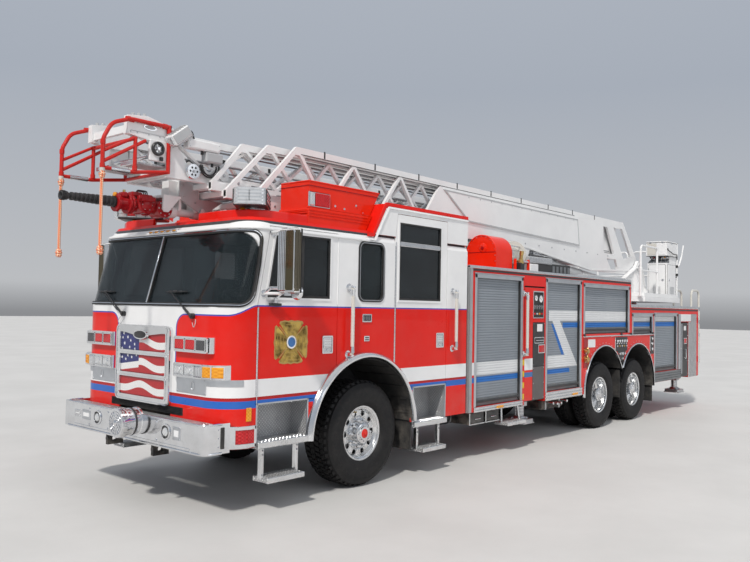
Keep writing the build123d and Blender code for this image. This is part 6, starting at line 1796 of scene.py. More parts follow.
# ---- ladder tip ----------------------------------------------------------------------
pc = Piece("ladder_tip")
for s in (1, -1):
    # top of the boxed arms: vent caps, lid seam, screws
    for x, z in ((2.20, 3.664), (2.26, 3.657), (2.32, 3.650)):
        pc.disc((x, s * 0.325, z - 0.004), "Z", 0.016, 0.030, "light_grey", n=16, c=0.004)
    pc.box(1.96, 2.36, s * 0.358, s * 0.3645, 3.500, 3.505, "light_grey", c=0.001)
    for x in (1.93, 2.05, 2.17, 2.29, 2.36):
        for z in (3.492, 3.585):
            pc.bolt((x, s * 0.360, z), (0, s, 0), 0.006, 0.005, "steel")
    loft(pc, ellipse(2.16, 3.560, 0.068, 0.026), ellipse(2.16, 3.560, 0.064, 0.022), "XZ", s * 0.360, s * 0.365, "light_grey")
    pc.frame(ellipse(2.16, 3.560, 0.068, 0.026), ellipse(2.16, 3.560, 0.058, 0.018), "XZ", s * 0.364, s * 0.367, "chrome")
    # black spoked reel on the side plate
    c = (2.080, s * 0.366, 3.372)
    pc.lathe([(0.0, 0.046), (0.0, 0.062), (0.006, 0.067), (0.026, 0.067), (0.032, 0.062), (0.032, 0.046)], c, (0, s, 0), "plastic", n=32)
    for k in range(5):
        t = 2 * pi * k / 5
        pc.beam((c[0] + 0.012 * cos(t), c[1] + s * 0.016, c[2] + 0.012 * sin(t)), (c[0] + 0.050 * cos(t), c[1] + s * 0.016, c[2] + 0.050 * sin(t)), 0.010, 0.008, "dull_chrome", up=(0, 1, 0), c=0.002)
    pc.disc(c, (0, s, 0), 0.016, 0.036, "chrome", n=20, c=0.003)
    # mounting plate behind it
    pc.box(1.965, 2.160, s * 0.330, s * 0.366, 3.255, 3.455, "white", c=0.006)
    pc.box(2.020, 2.055, s * 0.364, s * 0.385, 3.262, 3.300, "plastic", c=0.004)
    # tilted square flood lamp
    m = Matrix.Translation((1.885, s * 0.425, 3.528)) @ Matrix.Rotation(radians(38), 4, "Y")
    pc.box(-0.115, 0.115, -0.060, 0.060, -0.060, 0.050, "white", c=0.010, m=m)
    pc.box(-0.104, 0.104, s * 0.058, s * 0.066, -0.048, 0.040, "light_grey", c=0.003, m=m)
    pc.box(-0.115, 0.095, -0.052, 0.052, -0.074, -0.060, "light_grey", c=0.003, m=m)
    pc.box(0.113, 0.128, -0.052, 0.052, -0.050, 0.042, "clear_lens", c=0.006, m=m)
    for k in range(6):
        xx = -0.09 + 0.034 * k
        pc.box(xx - 0.004, xx + 0.004, -0.055, 0.055, 0.048, 0.062, "light_grey", c=0.002, m=m)
    pc.rod((1.885, s * 0.366, 3.50), (1.885, s * 0.425, 3.50), 0.018, "chrome", n=14)
    pc.pipe([(1.84, s * 0.40, 3.55), (1.78, s * 0.41, 3.60), (1.72, s * 0.40, 3.60), (1.68, s * 0.38, 3.54)], 0.010, "plastic", bend=0.04, n=8)
    # two junction boxes on the rail
    for x0, x1, y, z0, z1, mat in ((1.410, 1.794, 0.370, 3.425, 3.520, "white"), (1.377, 1.580, 0.372, 3.318, 3.420, "light_grey")):
        pc.box(x0, x1, s * (y - 0.006), s * (y + 0.085), z0, z1, mat, c=0.008)
        pc.box(x0 + 0.012, x1 - 0.012, s * (y + 0.083), s * (y + 0.090), z0 + 0.012, z1 - 0.012, mat, c=0.003)
        for x in (x0 + 0.02, x1 - 0.02):
            for z in (z0 + 0.02, z1 - 0.02):
                pc.bolt((x, s * (y + 0.089), z), (0, s, 0), 0.004, 0.004, "steel")
        pc.rod(((x0 + x1) / 2, s * (y + 0.04), z0), ((x0 + x1) / 2, s * (y + 0.04), z0 - 0.035), 0.014, "plastic", n=12)
    # bright pulley, its pin and cable loops
    c = (1.682, s * 0.362, 3.215)
    pc.lathe([(0.0, 0.004), (0.0, 0.072), (0.007, 0.072), (0.014, 0.060), (0.022, 0.060), (0.029, 0.072), (0.036, 0.072), (0.036, 0.004)], c, (0, s, 0), "chrome", n=36)
    for k in range(6):
        t = 2 * pi * k / 6
        pc.disc((c[0] + 0.040 * cos(t), c[1] + s * 0.035, c[2] + 0.040 * sin(t)), (0, s, 0), 0.011, 0.002, "plastic", n=14)
    pc.bolt((c[0], c[1] + s * 0.036, c[2]), (0, s, 0), 0.012, 0.012, "steel")
    for rr, dy in ((0.115, 0.030), (0.100, 0.046), (0.088, 0.020)):
        loop = [(1.500 + rr * cos(radians(a)), s * (0.372 + dy), 3.285 + rr * sin(radians(a)) * 0.95) for a in range(170, 372, 12)]
        pc.pipe(loop, 0.0085, "plastic", n=8)
    # small hydraulic block and hoses between the arms
    pc.box(1.66, 1.74, s * 0.20, s * 0.30, 3.16, 3.24, "satin", c=0.006)
    for k in range(3):
        y = s * (0.21 + 0.035 * k)
        pc.rod((1.70, y, 3.24), (1.70, y, 3.262), 0.009, "brass", n=6)
        pc.pipe([(1.70, y, 3.255), (1.70, y, 3.32), (1.60, y * 0.9, 3.36), (1.46, y * 0.9, 3.30)], 0.008, "plastic", bend=0.05, n=8)
    # hanging bracket plates beside the waterway
    plate = [(1.655, 3.150), (1.655, 2.975), (1.400, 2.842), (1.335, 2.842), (1.115, 2.990), (1.430, 2.990), (1.430, 3.150)]
    pc.prism(plate, "XZ", s * 0.112, s * 0.124, "light_grey")
    for x, z in ((1.62, 3.11), (1.47, 3.11), (1.60, 3.0), (1.38, 2.87), (1.18, 2.965), (1.46, 2.95)):
        pc.bolt((x, s * 0.124, z), (0, s, 0), 0.010, 0.008, "steel")
    pc.rod((1.385, s * 0.124, 2.862), (1.385, s * 0.150, 2.862), 0.030, "dull_chrome", n=20)
    # folding step and its hinge below the arm
    pc.box(1.97, 2.30, s * 0.10, s * 0.345, 3.205, 3.225, "plate", c=0.003)
    pc.box(2.285, 2.305, s * 0.10, s * 0.345, 3.200, 3.240, "aluminium", c=0.004)
    # clamps of the ropes
    pc.rod((2.640, s * 0.380, 3.066), (2.640, s * 0.380, 3.108), 0.0235, "cream", n=16)
    pc.box(2.612, 2.668, s * 0.366, s * 0.394, 3.060, 3.074, "dull_chrome", c=0.003)
pc.rod((2.13, -0.29, 3.30), (2.13, 0.29, 3.30), 0.020, "dull_chrome", n=16)
pc.box(1.945, 1.965, -0.345, 0.345, 3.135, 3.225, "white", c=0.006)
for k in range(7):
    pc.bolt((1.965, -0.30 + 0.10 * k, 3.18), (1, 0, 0), 0.009, 0.008, "steel")
pc.finish("fly_section", angle=32)

# ---- monitor ------------------------------------------------------------------------
pc = Piece("monitor_details")
MZ = 2.868
for x, r, w in ((1.937, 0.092, 0.022), (1.964, 0.092, 0.022), (2.120, 0.094, 0.024), (2.150, 0.094, 0.024), (2.262, 0.084, 0.030)):
    pc.lathe([(x, r - 0.03), (x, r), (x + 0.003, r + 0.003), (x + w - 0.003, r + 0.003), (x + w, r), (x + w, r - 0.03)], (0, 0, MZ), "X", "dark_red", n=36)
for x in (1.937, 2.120):
    for k in range(8):
        t = 2 * pi * (k + 0.5) / 8
        pc.bolt((x, 0.078 * cos(t), MZ + 0.078 * sin(t)), (-1, 0, 0), 0.008, 0.010, "steel")
for s in (1, -1):
    # elbow bulges and motor housings
    pc.lathe([(0.094, 0.002), (0.094, 0.060), (0.112, 0.058), (0.128, 0.044), (0.134, 0.020), (0.135, 0.002)], (2.010, 0, 2.867), (0, s, 0), "dark_red", n=28)
    pc.box(1.965, 2.090, s * 0.098, s * 0.150, 2.892, 2.962, "dark_red", c=0.012)
    pc.rod((1.985, s * 0.126, 2.925), (1.940, s * 0.126, 2.925), 0.024, "dark_red", n=18)
    pc.disc((2.090, s * 0.124, 2.927), "X", 0.022, 0.030, "dark_red", n=18, c=0.005)
    for k in range(6):
        t = 2 * pi * k / 6
        pc.bolt((2.010 + 0.050 * cos(t), s * 0.112, 2.867 + 0.050 * sin(t)), (0, s, 0), 0.006, 0.008, "steel")
pc.box(2.020, 2.140, -0.050, 0.050, 2.945, 2.992, "dark_red", c=0.012)
pc.box(2.185, 2.245, -0.036, 0.060, 2.925, 2.975, "dark_red", c=0.010)
pc.rod((2.215, 0.030, 2.975), (2.215, 0.030, 2.996), 0.014, "brass", n=14)
pc.disc((2.285, 0.0, 2.945), "X", 0.024, 0.020, "amber_lens", n=20, c=0.004)
pc.box(2.272, 2.290, -0.02, 0.02, 2.925, 2.965, "dark_red", c=0.004)
for k in range(3):
    pc.pipe([(2.05 + 0.02 * k, 0.03 * (k - 1), 2.985), (2.03 + 0.02 * k, 0.03 * (k - 1), 3.012), (1.970, 0.03 * (k - 1), 3.012), (1.955, 0.03 * (k - 1), 2.945)], 0.006, "plastic", bend=0.02, n=8)
# body of the monitor: swivel drum, tube and elbow housing
pc.lathe([(-0.099, 0.004), (-0.099, 0.080), (-0.091, 0.088), (0.091, 0.088), (0.099, 0.080), (0.099, 0.004)], (1.800, 0, 2.855), "Y", "dark_red", n=40)
pc.rod((1.840, 0, 2.860), (2.292, 0, 2.875), 0.066, "dark_red", n=32)
pc.lathe([(-0.100, 0.004), (-0.100, 0.076), (-0.092, 0.084), (0.092, 0.084), (0.100, 0.076), (0.100, 0.004)], (2.010, 0, 2.867), "Y", "dark_red", n=36)
for s in (1, -1):
    for k in range(8):
        t = 2 * pi * k / 8
        pc.bolt((1.800 + 0.070 * cos(t), s * 0.099, 2.855 + 0.070 * sin(t)), (0, s, 0), 0.007, 0.003, "steel")
# black nozzle: slender stepped barrel with rings and a toothed bell
NZ = 2.875
prof = [(2.285, 0.004), (2.285, 0.058)]
x = 2.292
for k in range(11):
    r = 0.053 - 0.0014 * k
    prof += [(x, r - 0.013), (x + 0.004, r - 0.002), (x + 0.009, r), (x + 0.024, r), (x + 0.029, r - 0.002), (x + 0.033, r - 0.013)]
    x += 0.0415
prof += [(x, 0.028), (2.760, 0.030), (2.768, 0.040), (2.800, 0.042), (2.826, 0.042), (2.830, 0.038), (2.826, 0.028), (2.780, 0.004)]
pc.lathe(prof, (0, 0, NZ), "X", "plastic", n=36)
for k in range(16):
    t = 2 * pi * k / 16
    pc.box(2.790, 2.829, -0.003, 0.003, 0.040, 0.0455, "rubber", m=Matrix.Translation((0, 0, NZ)) @ Matrix.Rotation(t, 4, "X"))
    pc.box(2.296, 2.318, -0.003, 0.003, 0.050, 0.0555, "rubber", m=Matrix.Translation((0, 0, NZ)) @ Matrix.Rotation(t, 4, "X"))
pc.finish("water_monitor", replaces=("water_monitor",), angle=35)

# ---- body sides ------------------------------------------------------------------------
M["dark_steel"] = metal("dark_steel", (0.20, 0.185, 0.185), 0.34, amount=0.5)
M["yellow"] = paint("yellow_tape", (0.72, 0.50, 0.03), rough=0.4, coat=0.2)
SKIN = 1.270


def rail_strip(pc, s, x0, x1, z0, z1, ribs, mat="satin", depth=0.020):
    """Ribbed extrusion along the body's side."""
    step = (z1 - z0) / ribs
    pc.box(x0, x1, s * (SKIN - 0.004), s * (SKIN + depth * 0.4), z0, z1, mat)
    for k in range(ribs):
        pc.box(x0, x1, s * (SKIN - 0.002), s * (SKIN + depth), z0 + step * (k + 0.12), z0 + step * (k + 0.88), mat, c=min(0.005, step * 0.2))


pc = Piece("body_side_trim")
for word, s in SIDES:
    # tread plate corner at the body's front
    pc.box(-1.925, -1.856, s * (SKIN - 0.002), s * (SKIN + 0.006), 0.612, 2.455, "plate")
    pc.box(-1.862, -1.852, s * 1.10, s * (SKIN + 0.006), 0.612, 2.455, "plate")
    # bright caps along both top edges; below the upper cap a black strip is painted shadow, below the lower cap a dark
    # seam
    pc.box(-6.855, -1.852, s * (SKIN - 0.03), s * (SKIN + 0.014), 2.430, 2.466, "aluminium", c=0.006)
    pc.box(-6.850, -1.930, s * (SKIN - 0.004), s * (SKIN + 0.006), 2.398, 2.424, "plastic", c=0.002)
    pc.box(-10.335, -6.856, s * (SKIN - 0.03), s * (SKIN + 0.016), 1.992, 2.044, "aluminium", c=0.008)
    pc.box(-10.30, -6.90, s * (SKIN - 0.004), s * (SKIN + 0.006), 1.950, 1.976, "plastic", c=0.002)
    pc.box(-6.862, -6.846, s * (SKIN - 0.03), s * (SKIN + 0.012), 2.030, 2.450, "aluminium", c=0.004)
    # drip rails over the doors
    for x0, x1, z0, z1 in SHUTTERS:
        pc.box(x0 - 0.02, x1 + 0.02, s * (SKIN - 0.002), s * (SKIN + 0.016), z1 + 0.006, z1 + 0.018, "satin", c=0.003)
    # rub rails below the doors
    rail_strip(pc, s, -3.165, -1.975, 0.604, 0.668, 2, "aluminium")
    rail_strip(pc, s, -4.975, -3.815, 0.604, 0.728, 3, "aluminium")
    rail_strip(pc, s, -9.300, -7.925, 0.614, 0.796, 4, "grey_plastic")
    pc.box(-4.82, -4.66, s * (SKIN + 0.010), s * (SKIN + 0.026), 0.628, 0.662, "amber_lens", c=0.005)
    pc.box(-2.66, -2.50, s * (SKIN + 0.010), s * (SKIN + 0.026), 0.618, 0.652, "amber_lens", c=0.005)
    # dark bumper rail over the rear wheels
    pc.box(-7.90, -5.02, s * (SKIN - 0.002), s * (SKIN + 0.012), 1.500, 1.520, "aluminium", c=0.003)
    for x in (-5.06, -6.46, -6.86, -7.86):
        pc.box(x - 0.028, x + 0.028, s * (SKIN - 0.004), s * (SKIN + 0.022), 1.512, 1.548, "plastic", c=0.006)
    # striped reflective bar beside the first door
    for k in range(9):
        z = 0.600 + 0.078 * k
        pc.box(-3.208, -3.176, s * (SKIN - 0.002), s * (SKIN + 0.010), z, z + 0.078, "yellow" if k % 2 else "red", c=0.001)
    # arch trims over the drive wheels
    for ax, a0, a1 in ((-5.804, -62.5, 94), (-7.174, -94, 62.5)):
        a0, a1 = radians(a0), radians(a1)
        pc.lathe([(s * 1.262, 0.741), (s * 1.262, 0.752), (s * 1.276, 0.758), (s * 1.292, 0.754), (s * 1.298, 0.744), (s * 1.294, 0.735), (s * 1.200, 0.733), (s * 1.200, 0.739), (s * 1.286, 0.741), (s * 1.289, 0.746), (s * 1.278, 0.750)],
                 (ax, 0, 0.612), "Y", "chrome", n=48, t0=a0, t1=a1)
        pc.lathe([(s * 0.62, 0.737), (s * 1.262, 0.737), (s * 1.262, 0.730), (s * 0.62, 0.730)], (ax, 0, 0.612), "Y", "liner", n=40, t0=a0, t1=a1)
    # fender panel bolts, valve plate, caps, blank plate
    pc.box(-6.715, -6.225, s * (SKIN - 0.002), s * (SKIN + 0.008), 1.245, 1.480, "plastic", c=0.003)
    pc.prism([(-6.640, 1.245), (-6.310, 1.245), (-6.420, 1.075), (-6.545, 1.075)], "XZ", s * SKIN, s * (SKIN + 0.008), "plastic")
    for k in range(5):
        x = -6.660 + 0.095 * k
        pc.disc((x, s * (SKIN + 0.008), 1.415), (0, s, 0), 0.026, 0.020, "chrome", n=20, c=0.005)
        pc.disc((x, s * (SKIN + 0.008), 1.330), (0, s, 0), 0.018, 0.016, "brass" if k % 2 else "dull_chrome", n=18, c=0.004)
        pc.box(x - 0.018, x + 0.018, s * (SKIN + 0.008), s * (SKIN + 0.0105), 1.366, 1.380, "white", c=0.001)
    for x, z, r in ((-6.58, 1.20, 0.022), (-6.48, 1.20, 0.030), (-6.37, 1.20, 0.022), (-6.48, 1.12, 0.020)):
        pc.disc((x, s * (SKIN + 0.008), z), (0, s, 0), r, 0.024, "dull_chrome", n=20, c=0.005)
    pc.box(-5.452, -5.200, s * (SKIN - 0.002), s * (SKIN + 0.006), 1.335, 1.462, "white", c=0.003)
    for x in (-5.44, -5.212):
        for z in (1.347, 1.45):
            pc.bolt((x, s * (SKIN + 0.006), z), (0, s, 0), 0.005, 0.004, "steel")
    pc.box(-5.185, -5.040, s * (SKIN - 0.002), s * (SKIN + 0.006), 1.02, 1.485, "dark_red", c=0.003)
    for x, z, r in ((-5.110, 1.285, 0.046), (-5.100, 1.155, 0.052)):
        pc.lathe([(0.0, 0.001), (0.0, r), (0.018, r), (0.022, r * 0.82), (0.050, r * 0.80), (0.056, r * 0.70), (0.056, 0.001)], (x, s * (SKIN + 0.004), z), (0, s, 0), "brass", n=28)
        for k in range(3):
            t = 2 * pi * k / 3
            pc.rod((x + r * cos(t), s * (SKIN + 0.030), z + r * sin(t)), (x + (r + 0.016) * cos(t), s * (SKIN + 0.030), z + (r + 0.016) * sin(t)), 0.007, "brass", n=8)
        pc.pipe([(x, s * (SKIN + 0.05), z + r * 0.7), (x + 0.03, s * (SKIN + 0.055), z + 0.01), (x + 0.05, s * (SKIN + 0.03), z - 0.05)], 0.003, "dull_chrome", bend=0.02, n=6)
    pc.box(-7.905, -7.750, s * (SKIN - 0.002), s * (SKIN + 0.008), 1.15, 1.485, "plastic", c=0.003)
    pc.box(-7.735, -7.715, s * (SKIN - 0.002), s * (SKIN + 0.012), 1.20, 1.480, "chrome", c=0.004)
    for k in range(3):
        pc.disc((-7.83, s * (SKIN + 0.008), 1.43 - 0.095 * k), (0, s, 0), 0.028, 0.012, "chrome", n=20, c=0.004)
        pc.disc((-7.83, s * (SKIN + 0.019), 1.43 - 0.095 * k), (0, s, 0), 0.018, 0.003, "white", n=20)
    pc.box(-6.215, -6.200, s * (SKIN - 0.002), s * (SKIN + 0.012), 1.245, 1.480, "chrome", c=0.004)
    for k in range(16):
        t = radians(-56 + 8.6 * k)
        for ax, keep_it in ((-5.804, t < radians(60)), (-7.174, t > radians(-52))):
            if keep_it and abs(sin(t)) < 0.86:
                pc.bolt((ax + 0.785 * sin(t), s * (SKIN + 0.000), 0.612 + 0.785 * cos(t)), (0, s, 0), 0.006, 0.005, "steel") if 0.612 + 0.785 * cos(t) < 1.49 else None
    # splash guards
    for x in (-6.49, -7.945):
        pc.box(x - 0.006, x + 0.006, s * 0.60, s * 1.235, 0.27 if x < -7 else 0.45, 0.92, "rubber", c=0.002)
    # rear: white plate, bright frame, tread plate column and red edge
    pc.box(-9.905, -9.335, s * (SKIN - 0.002), s * (SKIN + 0.007), 1.742, 1.885, "white", c=0.003)
    pc.box(-9.318, -9.200, s * (SKIN - 0.002), s * (SKIN + 0.010), 0.800, 1.890, "satin", c=0.004)
    pc.box(-9.192, -9.170, s * (SKIN - 0.002), s * (SKIN + 0.006), 0.800, 1.890, "plastic", c=0.002)
    pc.box(-10.245, -9.790, s * (SKIN - 0.002), s * (SKIN + 0.006), 0.612, 1.730, "plate")
    pc.box(-10.245, -9.920, s * (SKIN - 0.002), s * (SKIN + 0.006), 1.730, 1.890, "plate")
    pc.box(-9.786, -9.752, s * (SKIN - 0.002), s * (SKIN + 0.012), 0.612, 1.725, "aluminium", c=0.004)
    pc.box(-10.334, -10.250, s * (SKIN - 0.002), s * (SKIN + 0.009), 0.620, 1.900, "red", c=0.004)
    pc.box(-10.315, -10.270, s * (SKIN + 0.007), s * (SKIN + 0.020), 0.90, 1.02, "red_lens", c=0.005)
    pc.box(-10.315, -10.270, s * (SKIN + 0.007), s * (SKIN + 0.020), 1.70, 1.82, "red_lens", c=0.005)
    # steps and trays hanging below the body
    for x0, x1 in ((-2.270, -1.930), (-2.630, -2.300)):
        pc.box(x0, x1, s * 0.96, s * 1.235, 0.452, 0.606, "black", c=0.006)
        pc.box(x0 + 0.01, x1 - 0.01, s * 1.233, s * 1.243, 0.470, 0.590, "plastic", c=0.003)
        pc.box(x0 - 0.004, x1 + 0.004, s * 1.225, s * 1.250, 0.446, 0.460, "aluminium", c=0.003)
        pc.beam((x1 - 0.006, s * 1.243, 0.600), (x1 - 0.006, s * 1.243, 0.456), 0.016, 0.010, "aluminium", up=(0, 1, 0), c=0.002)
        pc.pipe([(x0 + 0.11, s * 1.242, 0.52), (x0 + 0.11, s * 1.265, 0.52), (x1 - 0.11, s * 1.265, 0.52), (x1 - 0.11, s * 1.242, 0.52)], 0.006, "chrome", bend=0.012, n=8)
    for x in (-3.160, -2.740):
        pc.beam((x, s * 1.205, 0.606), (x + (0.02 if x > -3 else -0.02), s * 1.225, 0.395), 0.034, 0.016, "aluminium", up=(0, 1, 0), c=0.004)
    pc.box(-3.190, -2.710, s * 1.120, s * 1.325, 0.372, 0.408, "plate", c=0.006)
    for k in range(15):
        x = -3.170 + 0.0314 * k
        pc.box(x - 0.006, x + 0.006, s * 1.135, s * 1.312, 0.406, 0.413, "plate", c=0.002)
    pc.box(-3.195, -2.705, s * 1.317, s * 1.331, 0.366, 0.414, "aluminium", c=0.004)
    # valve handles under the second door
    pc.pipe([(-4.10, s * 1.15, 0.600), (-4.10, s * 1.15, 0.545), (-4.56, s * 1.15, 0.535), (-4.56, s * 1.15, 0.600)], 0.012, "plastic", bend=0.02, n=8)
    for x, z in ((-4.12, 0.555), (-4.25, 0.540), (-4.37, 0.540), (-4.55, 0.560)):
        pc.rod((x, s * 1.14, z), (x, s * 1.24, z - 0.01), 0.010, "chrome", n=10)
        pc.disc((x, s * 1.235, z - 0.01), (0, s, 0), 0.020, 0.016, "chrome", n=16, c=0.004)
    # under-body tanks, brackets and exhaust
    pc.box(-4.72, -4.00, s * 0.46, s * 1.10, 0.440, 0.600, "black", c=0.03)
    for x in (-4.15, -4.57):
        pc.box(x - 0.02, x + 0.02, s * 0.45, s * 1.108, 0.432, 0.610, "steel", c=0.006)
    for x0, x1, y, z, r in ((-2.95, -1.95, 0.70, 0.500, 0.115), (-9.25, -8.35, 0.66, 0.500, 0.115)):
        pc.lathe([(x0, 0.001), (x0 + 0.012, r * 0.6), (x0 + 0.05, r), (x1 - 0.05, r), (x1 - 0.012, r * 0.6), (x1, 0.001)], (0, s * y, z), "X", "black", n=32)
        for x in (x0 + 0.2, x1 - 0.2):
            pc.lathe([(x - 0.02, r), (x - 0.02, r + 0.006), (x + 0.02, r + 0.006), (x + 0.02, r)], (0, s * y, z), "X", "steel", n=32)
pc.pipe([(-0.9, -0.45, 0.62), (-1.6, -0.75, 0.50), (-3.4, -0.80, 0.47), (-3.6, -1.15, 0.46), (-3.6, -1.30, 0.44)], 0.055, "iron", bend=0.16, n=16)
pc.lathe([(-3.2, 0.001), (-3.2, 0.12), (-2.1, 0.12), (-2.1, 0.001)], (0, -0.42, 0.50), "X", "iron", n=28)
pc.finish("truck", angle=32)

# stabilizer cover panels ride with their beams
for word, s in SIDES:
    pc = Piece(f"front_{word}_outrigger_trim")
    y = 1.268
    pc.box(-3.776, -3.452, s * (y - 0.002), s * (y + 0.006), 0.650, 1.113, "dark_steel", c=0.002)
    pc.box(-3.776, -3.452, s * (y - 0.002), s * (y + 0.009), 1.118, 1.735, "plastic", c=0.003)
    pc.box(-3.446, -3.224, s * (y - 0.002), s * (y + 0.005), 0.650, 2.228, "red", c=0.002)
    pc.box(-3.446, -3.224, s * (y + 0.003), s * (y + 0.0065), 1.075, 1.235, "white")
    pc.box(-3.446, -3.224, s * (y + 0.003), s * (y + 0.0065), 0.977, 1.045, "enamel")
    for x0, x1, z0, z1 in ((-3.776, -3.446, 2.178, 2.228), (-3.776, -3.446, 1.740, 1.800), (-3.776, -3.742, 1.800, 2.178)):
        pc.box(x0, x1, s * (y - 0.002), s * (y + 0.005), z0, z1, "red", c=0.002)
    # control window with bright frame, dials and switches
    pc.frame(rounded(-3.746, -3.440, 1.796, 2.184, 0.010, 3), rounded(-3.730, -3.456, 1.812, 2.168, 0.006, 3), "XZ", s * y, s * (y + 0.012), "chrome")
    pc.box(-3.732, -3.454, s * (y - 0.002), s * (y + 0.002), 1.810, 2.170, "liner")
    for cx, cz, r in ((-3.665, 2.075, 0.052), (-3.530, 2.085, 0.042)):
        pc.lathe([(0.0, r * 0.9), (0.0, r), (0.010, r), (0.012, r * 0.9)], (cx, s * y, cz), (0, s, 0), "chrome", n=28)
        pc.disc((cx, s * y, cz), (0, s, 0), r * 0.9, 0.006, "white", n=28)
        pc.beam((cx - r * 0.3, s * (y + 0.0075), cz - r * 0.3), (cx + r * 0.5, s * (y + 0.0075), cz + r * 0.4), 0.004, 0.002, "plastic", up=(0, 1, 0))
        for k in range(9):
            t = radians(-30 + 30 * k)
            pc.beam((cx + r * 0.68 * cos(t), s * (y + 0.0065), cz + r * 0.68 * sin(t)), (cx + r * 0.82 * cos(t), s * (y + 0.0065), cz + r * 0.82 * sin(t)), 0.002, 0.001, "plastic", up=(0, 1, 0))
    for k in range(4):
        x = -3.700 + 0.068 * k
        pc.box(x - 0.020, x + 0.020, s * y, s * (y + 0.006), 1.925, 1.985, "grey_plastic", c=0.003)
        pc.rod((x, s * (y + 0.004), 1.955), (x, s * (y + 0.022), 1.968), 0.005, "chrome", n=8)
        pc.disc((x, s * y, 1.860), (0, s, 0), 0.016, 0.012, ("red_lens", "amber_lens", "clear_lens", "red_lens")[k], n=16, c=0.004)
    # blank label, handle recess and lamp on the black panel
    pc.box(-3.710, -3.560, s * (y + 0.008), s * (y + 0.011), 1.610, 1.715, "white", c=0.001)
    pc.frame(rounded(-3.760, -3.480, 1.440, 1.530, 0.016, 4), rounded(-3.748, -3.492, 1.452, 1.518, 0.010, 4), "XZ", s * (y + 0.006), s * (y + 0.014), "dull_chrome")
    pc.pipe([(-3.72, s * (y + 0.008), 1.485), (-3.72, s * (y + 0.030), 1.485), (-3.52, s * (y + 0.030), 1.485), (-3.52, s * (y + 0.008), 1.485)], 0.007, "chrome", bend=0.012, n=10)
    lamp(pc, "XZ", s * (y + 0.007), -3.768, -3.580, 1.300, 1.425, s * 0.014, "red_lens", rim=0.011, bulge=0.006)
    for x in (-3.762, -3.466):
        for z in (0.67, 0.88, 1.095, 1.14, 1.72):
            pc.bolt((x, s * (y + 0.006), z), (0, s, 0), 0.006, 0.006, "steel")
    pc.finish(f"front_{word}_outrigger", angle=32)
    pc = Piece(f"rear_{word}_outrigger_trim")
    pc.box(-9.734, -9.326, s * (y - 0.002), s * (y + 0.005), 0.645, 1.714, "plastic", c=0.003)
    pc.box(-9.388, -9.350, s * (y + 0.003), s * (y + 0.016), 0.700, 1.690, "satin", c=0.004)
    lamp(pc, "XZ", s * (y + 0.004), -9.640, -9.480, 1.290, 1.410, s * 0.014, "red_lens", rim=0.011, bulge=0.006)
    pc.box(-9.620, -9.500, s * (y + 0.004), s * (y + 0.008), 1.560, 1.650, "white", c=0.001)
    pc.pipe([(-9.56, s * (y + 0.004), 1.00), (-9.56, s * (y + 0.030), 1.00), (-9.56, s * (y + 0.030), 1.18), (-9.56, s * (y + 0.004), 1.18)], 0.008, "chrome", bend=0.012, n=10)
    for x in (-9.715, -9.345):
        for z in (0.68, 0.95, 1.2, 1.45, 1.69):
            pc.bolt((x, s * (y + 0.005), z), (0, s, 0), 0.006, 0.006, "steel")
    pc.finish(f"rear_{word}_outrigger", angle=32)
    # jacks: ribs, collar and pad edge
    for label, xc in (("front", -3.385 if s > 0 else -3.615), ("rear", -9.430 if s > 0 else -9.630)):
        pc = Piece(f"{label}_{word}_jack_trim")
        yc = s * 1.1075
        pc.lathe([(0.388, 0.061), (0.388, 0.090), (0.398, 0.094), (0.418, 0.080), (0.424, 0.061)], (xc, yc, 0), "Z", "steel", n=28)
        for k in range(4):
            t = radians(45 + 90 * k)
            c, d = cos(t), sin(t)
            pc.beam((xc + 0.062 * c, yc + 0.062 * d, 0.395), (xc + 0.135 * c, yc + 0.105 * d, 0.388), 0.010, 0.030, "steel", c=0.002)
        pc.box(xc - 0.156, xc + 0.156, yc - 0.1535, yc + 0.1535, 0.322, 0.334, "plate", c=0.004)
        for z in (0.46, 0.50, 0.54):
            pc.lathe([(z, 0.060), (z, 0.0625), (z + 0.006, 0.0625), (z + 0.006, 0.060)], (xc, yc, 0), "Z", "chrome", n=24)
        pc.finish(f"{label}_{word}_jack", angle=32)

# ---- body top ------------------------------------------------------------------------
pc = Piece("body_top")
pc.box(-6.84, -3.20, -1.235, 1.235, 2.4505, 2.4555, "plate")
pc.box(-3.20, -2.16, -1.235, 0.600, 2.4505, 2.4555, "plate")
pc.box(-10.32, -9.62, -1.235, 1.235, 2.0305, 2.0355, "plate")
for s in (1, -1):
    pc.box(-9.60, -6.86, s * 0.95, s * 1.235, 2.0305, 2.0355, "plate")
# reel case: front ring, axle cap, seams, rollers and a brass nozzle
rx, ry, rz = -2.730, 0.862, 2.698
pc.lathe([(0.0, 0.222), (0.0, 0.238), (0.006, 0.240), (0.010, 0.234), (0.010, 0.226)], (rx - 0.002, ry, rz), "X", "orange_red", n=48, t0=-pi / 2, t1=pi / 2)
pc.box(rx - 0.004, rx + 0.004, ry - 0.236, ry + 0.236, 2.690, 2.700, "dark_red", c=0.001)
pc.lathe([(0.0, 0.001), (0.0, 0.060), (0.008, 0.062), (0.014, 0.050), (0.014, 0.001)], (rx, ry + 0.03, 2.755), "X", "orange_red", n=32)
pc.disc((rx + 0.012, ry + 0.03, 2.755), "X", 0.022, 0.014, "dark_red", n=24, c=0.004)
for k in range(6):
    t = 2 * pi * k / 6
    pc.bolt((rx + 0.012, ry + 0.03 + 0.042 * cos(t), 2.755 + 0.042 * sin(t)), (1, 0, 0), 0.005, 0.005, "steel")
for k in range(9):
    t = radians(-80 + 20 * k)
    pc.bolt((rx, ry + 0.222 * sin(t), rz + 0.222 * cos(t)), (1, 0, 0), 0.006, 0.005, "steel")
for y in (ry - 0.226, ry + 0.226):
    for z in (2.48, 2.57, 2.65):
        pc.bolt((rx, y, z), (1, 0, 0), 0.006, 0.005, "steel")
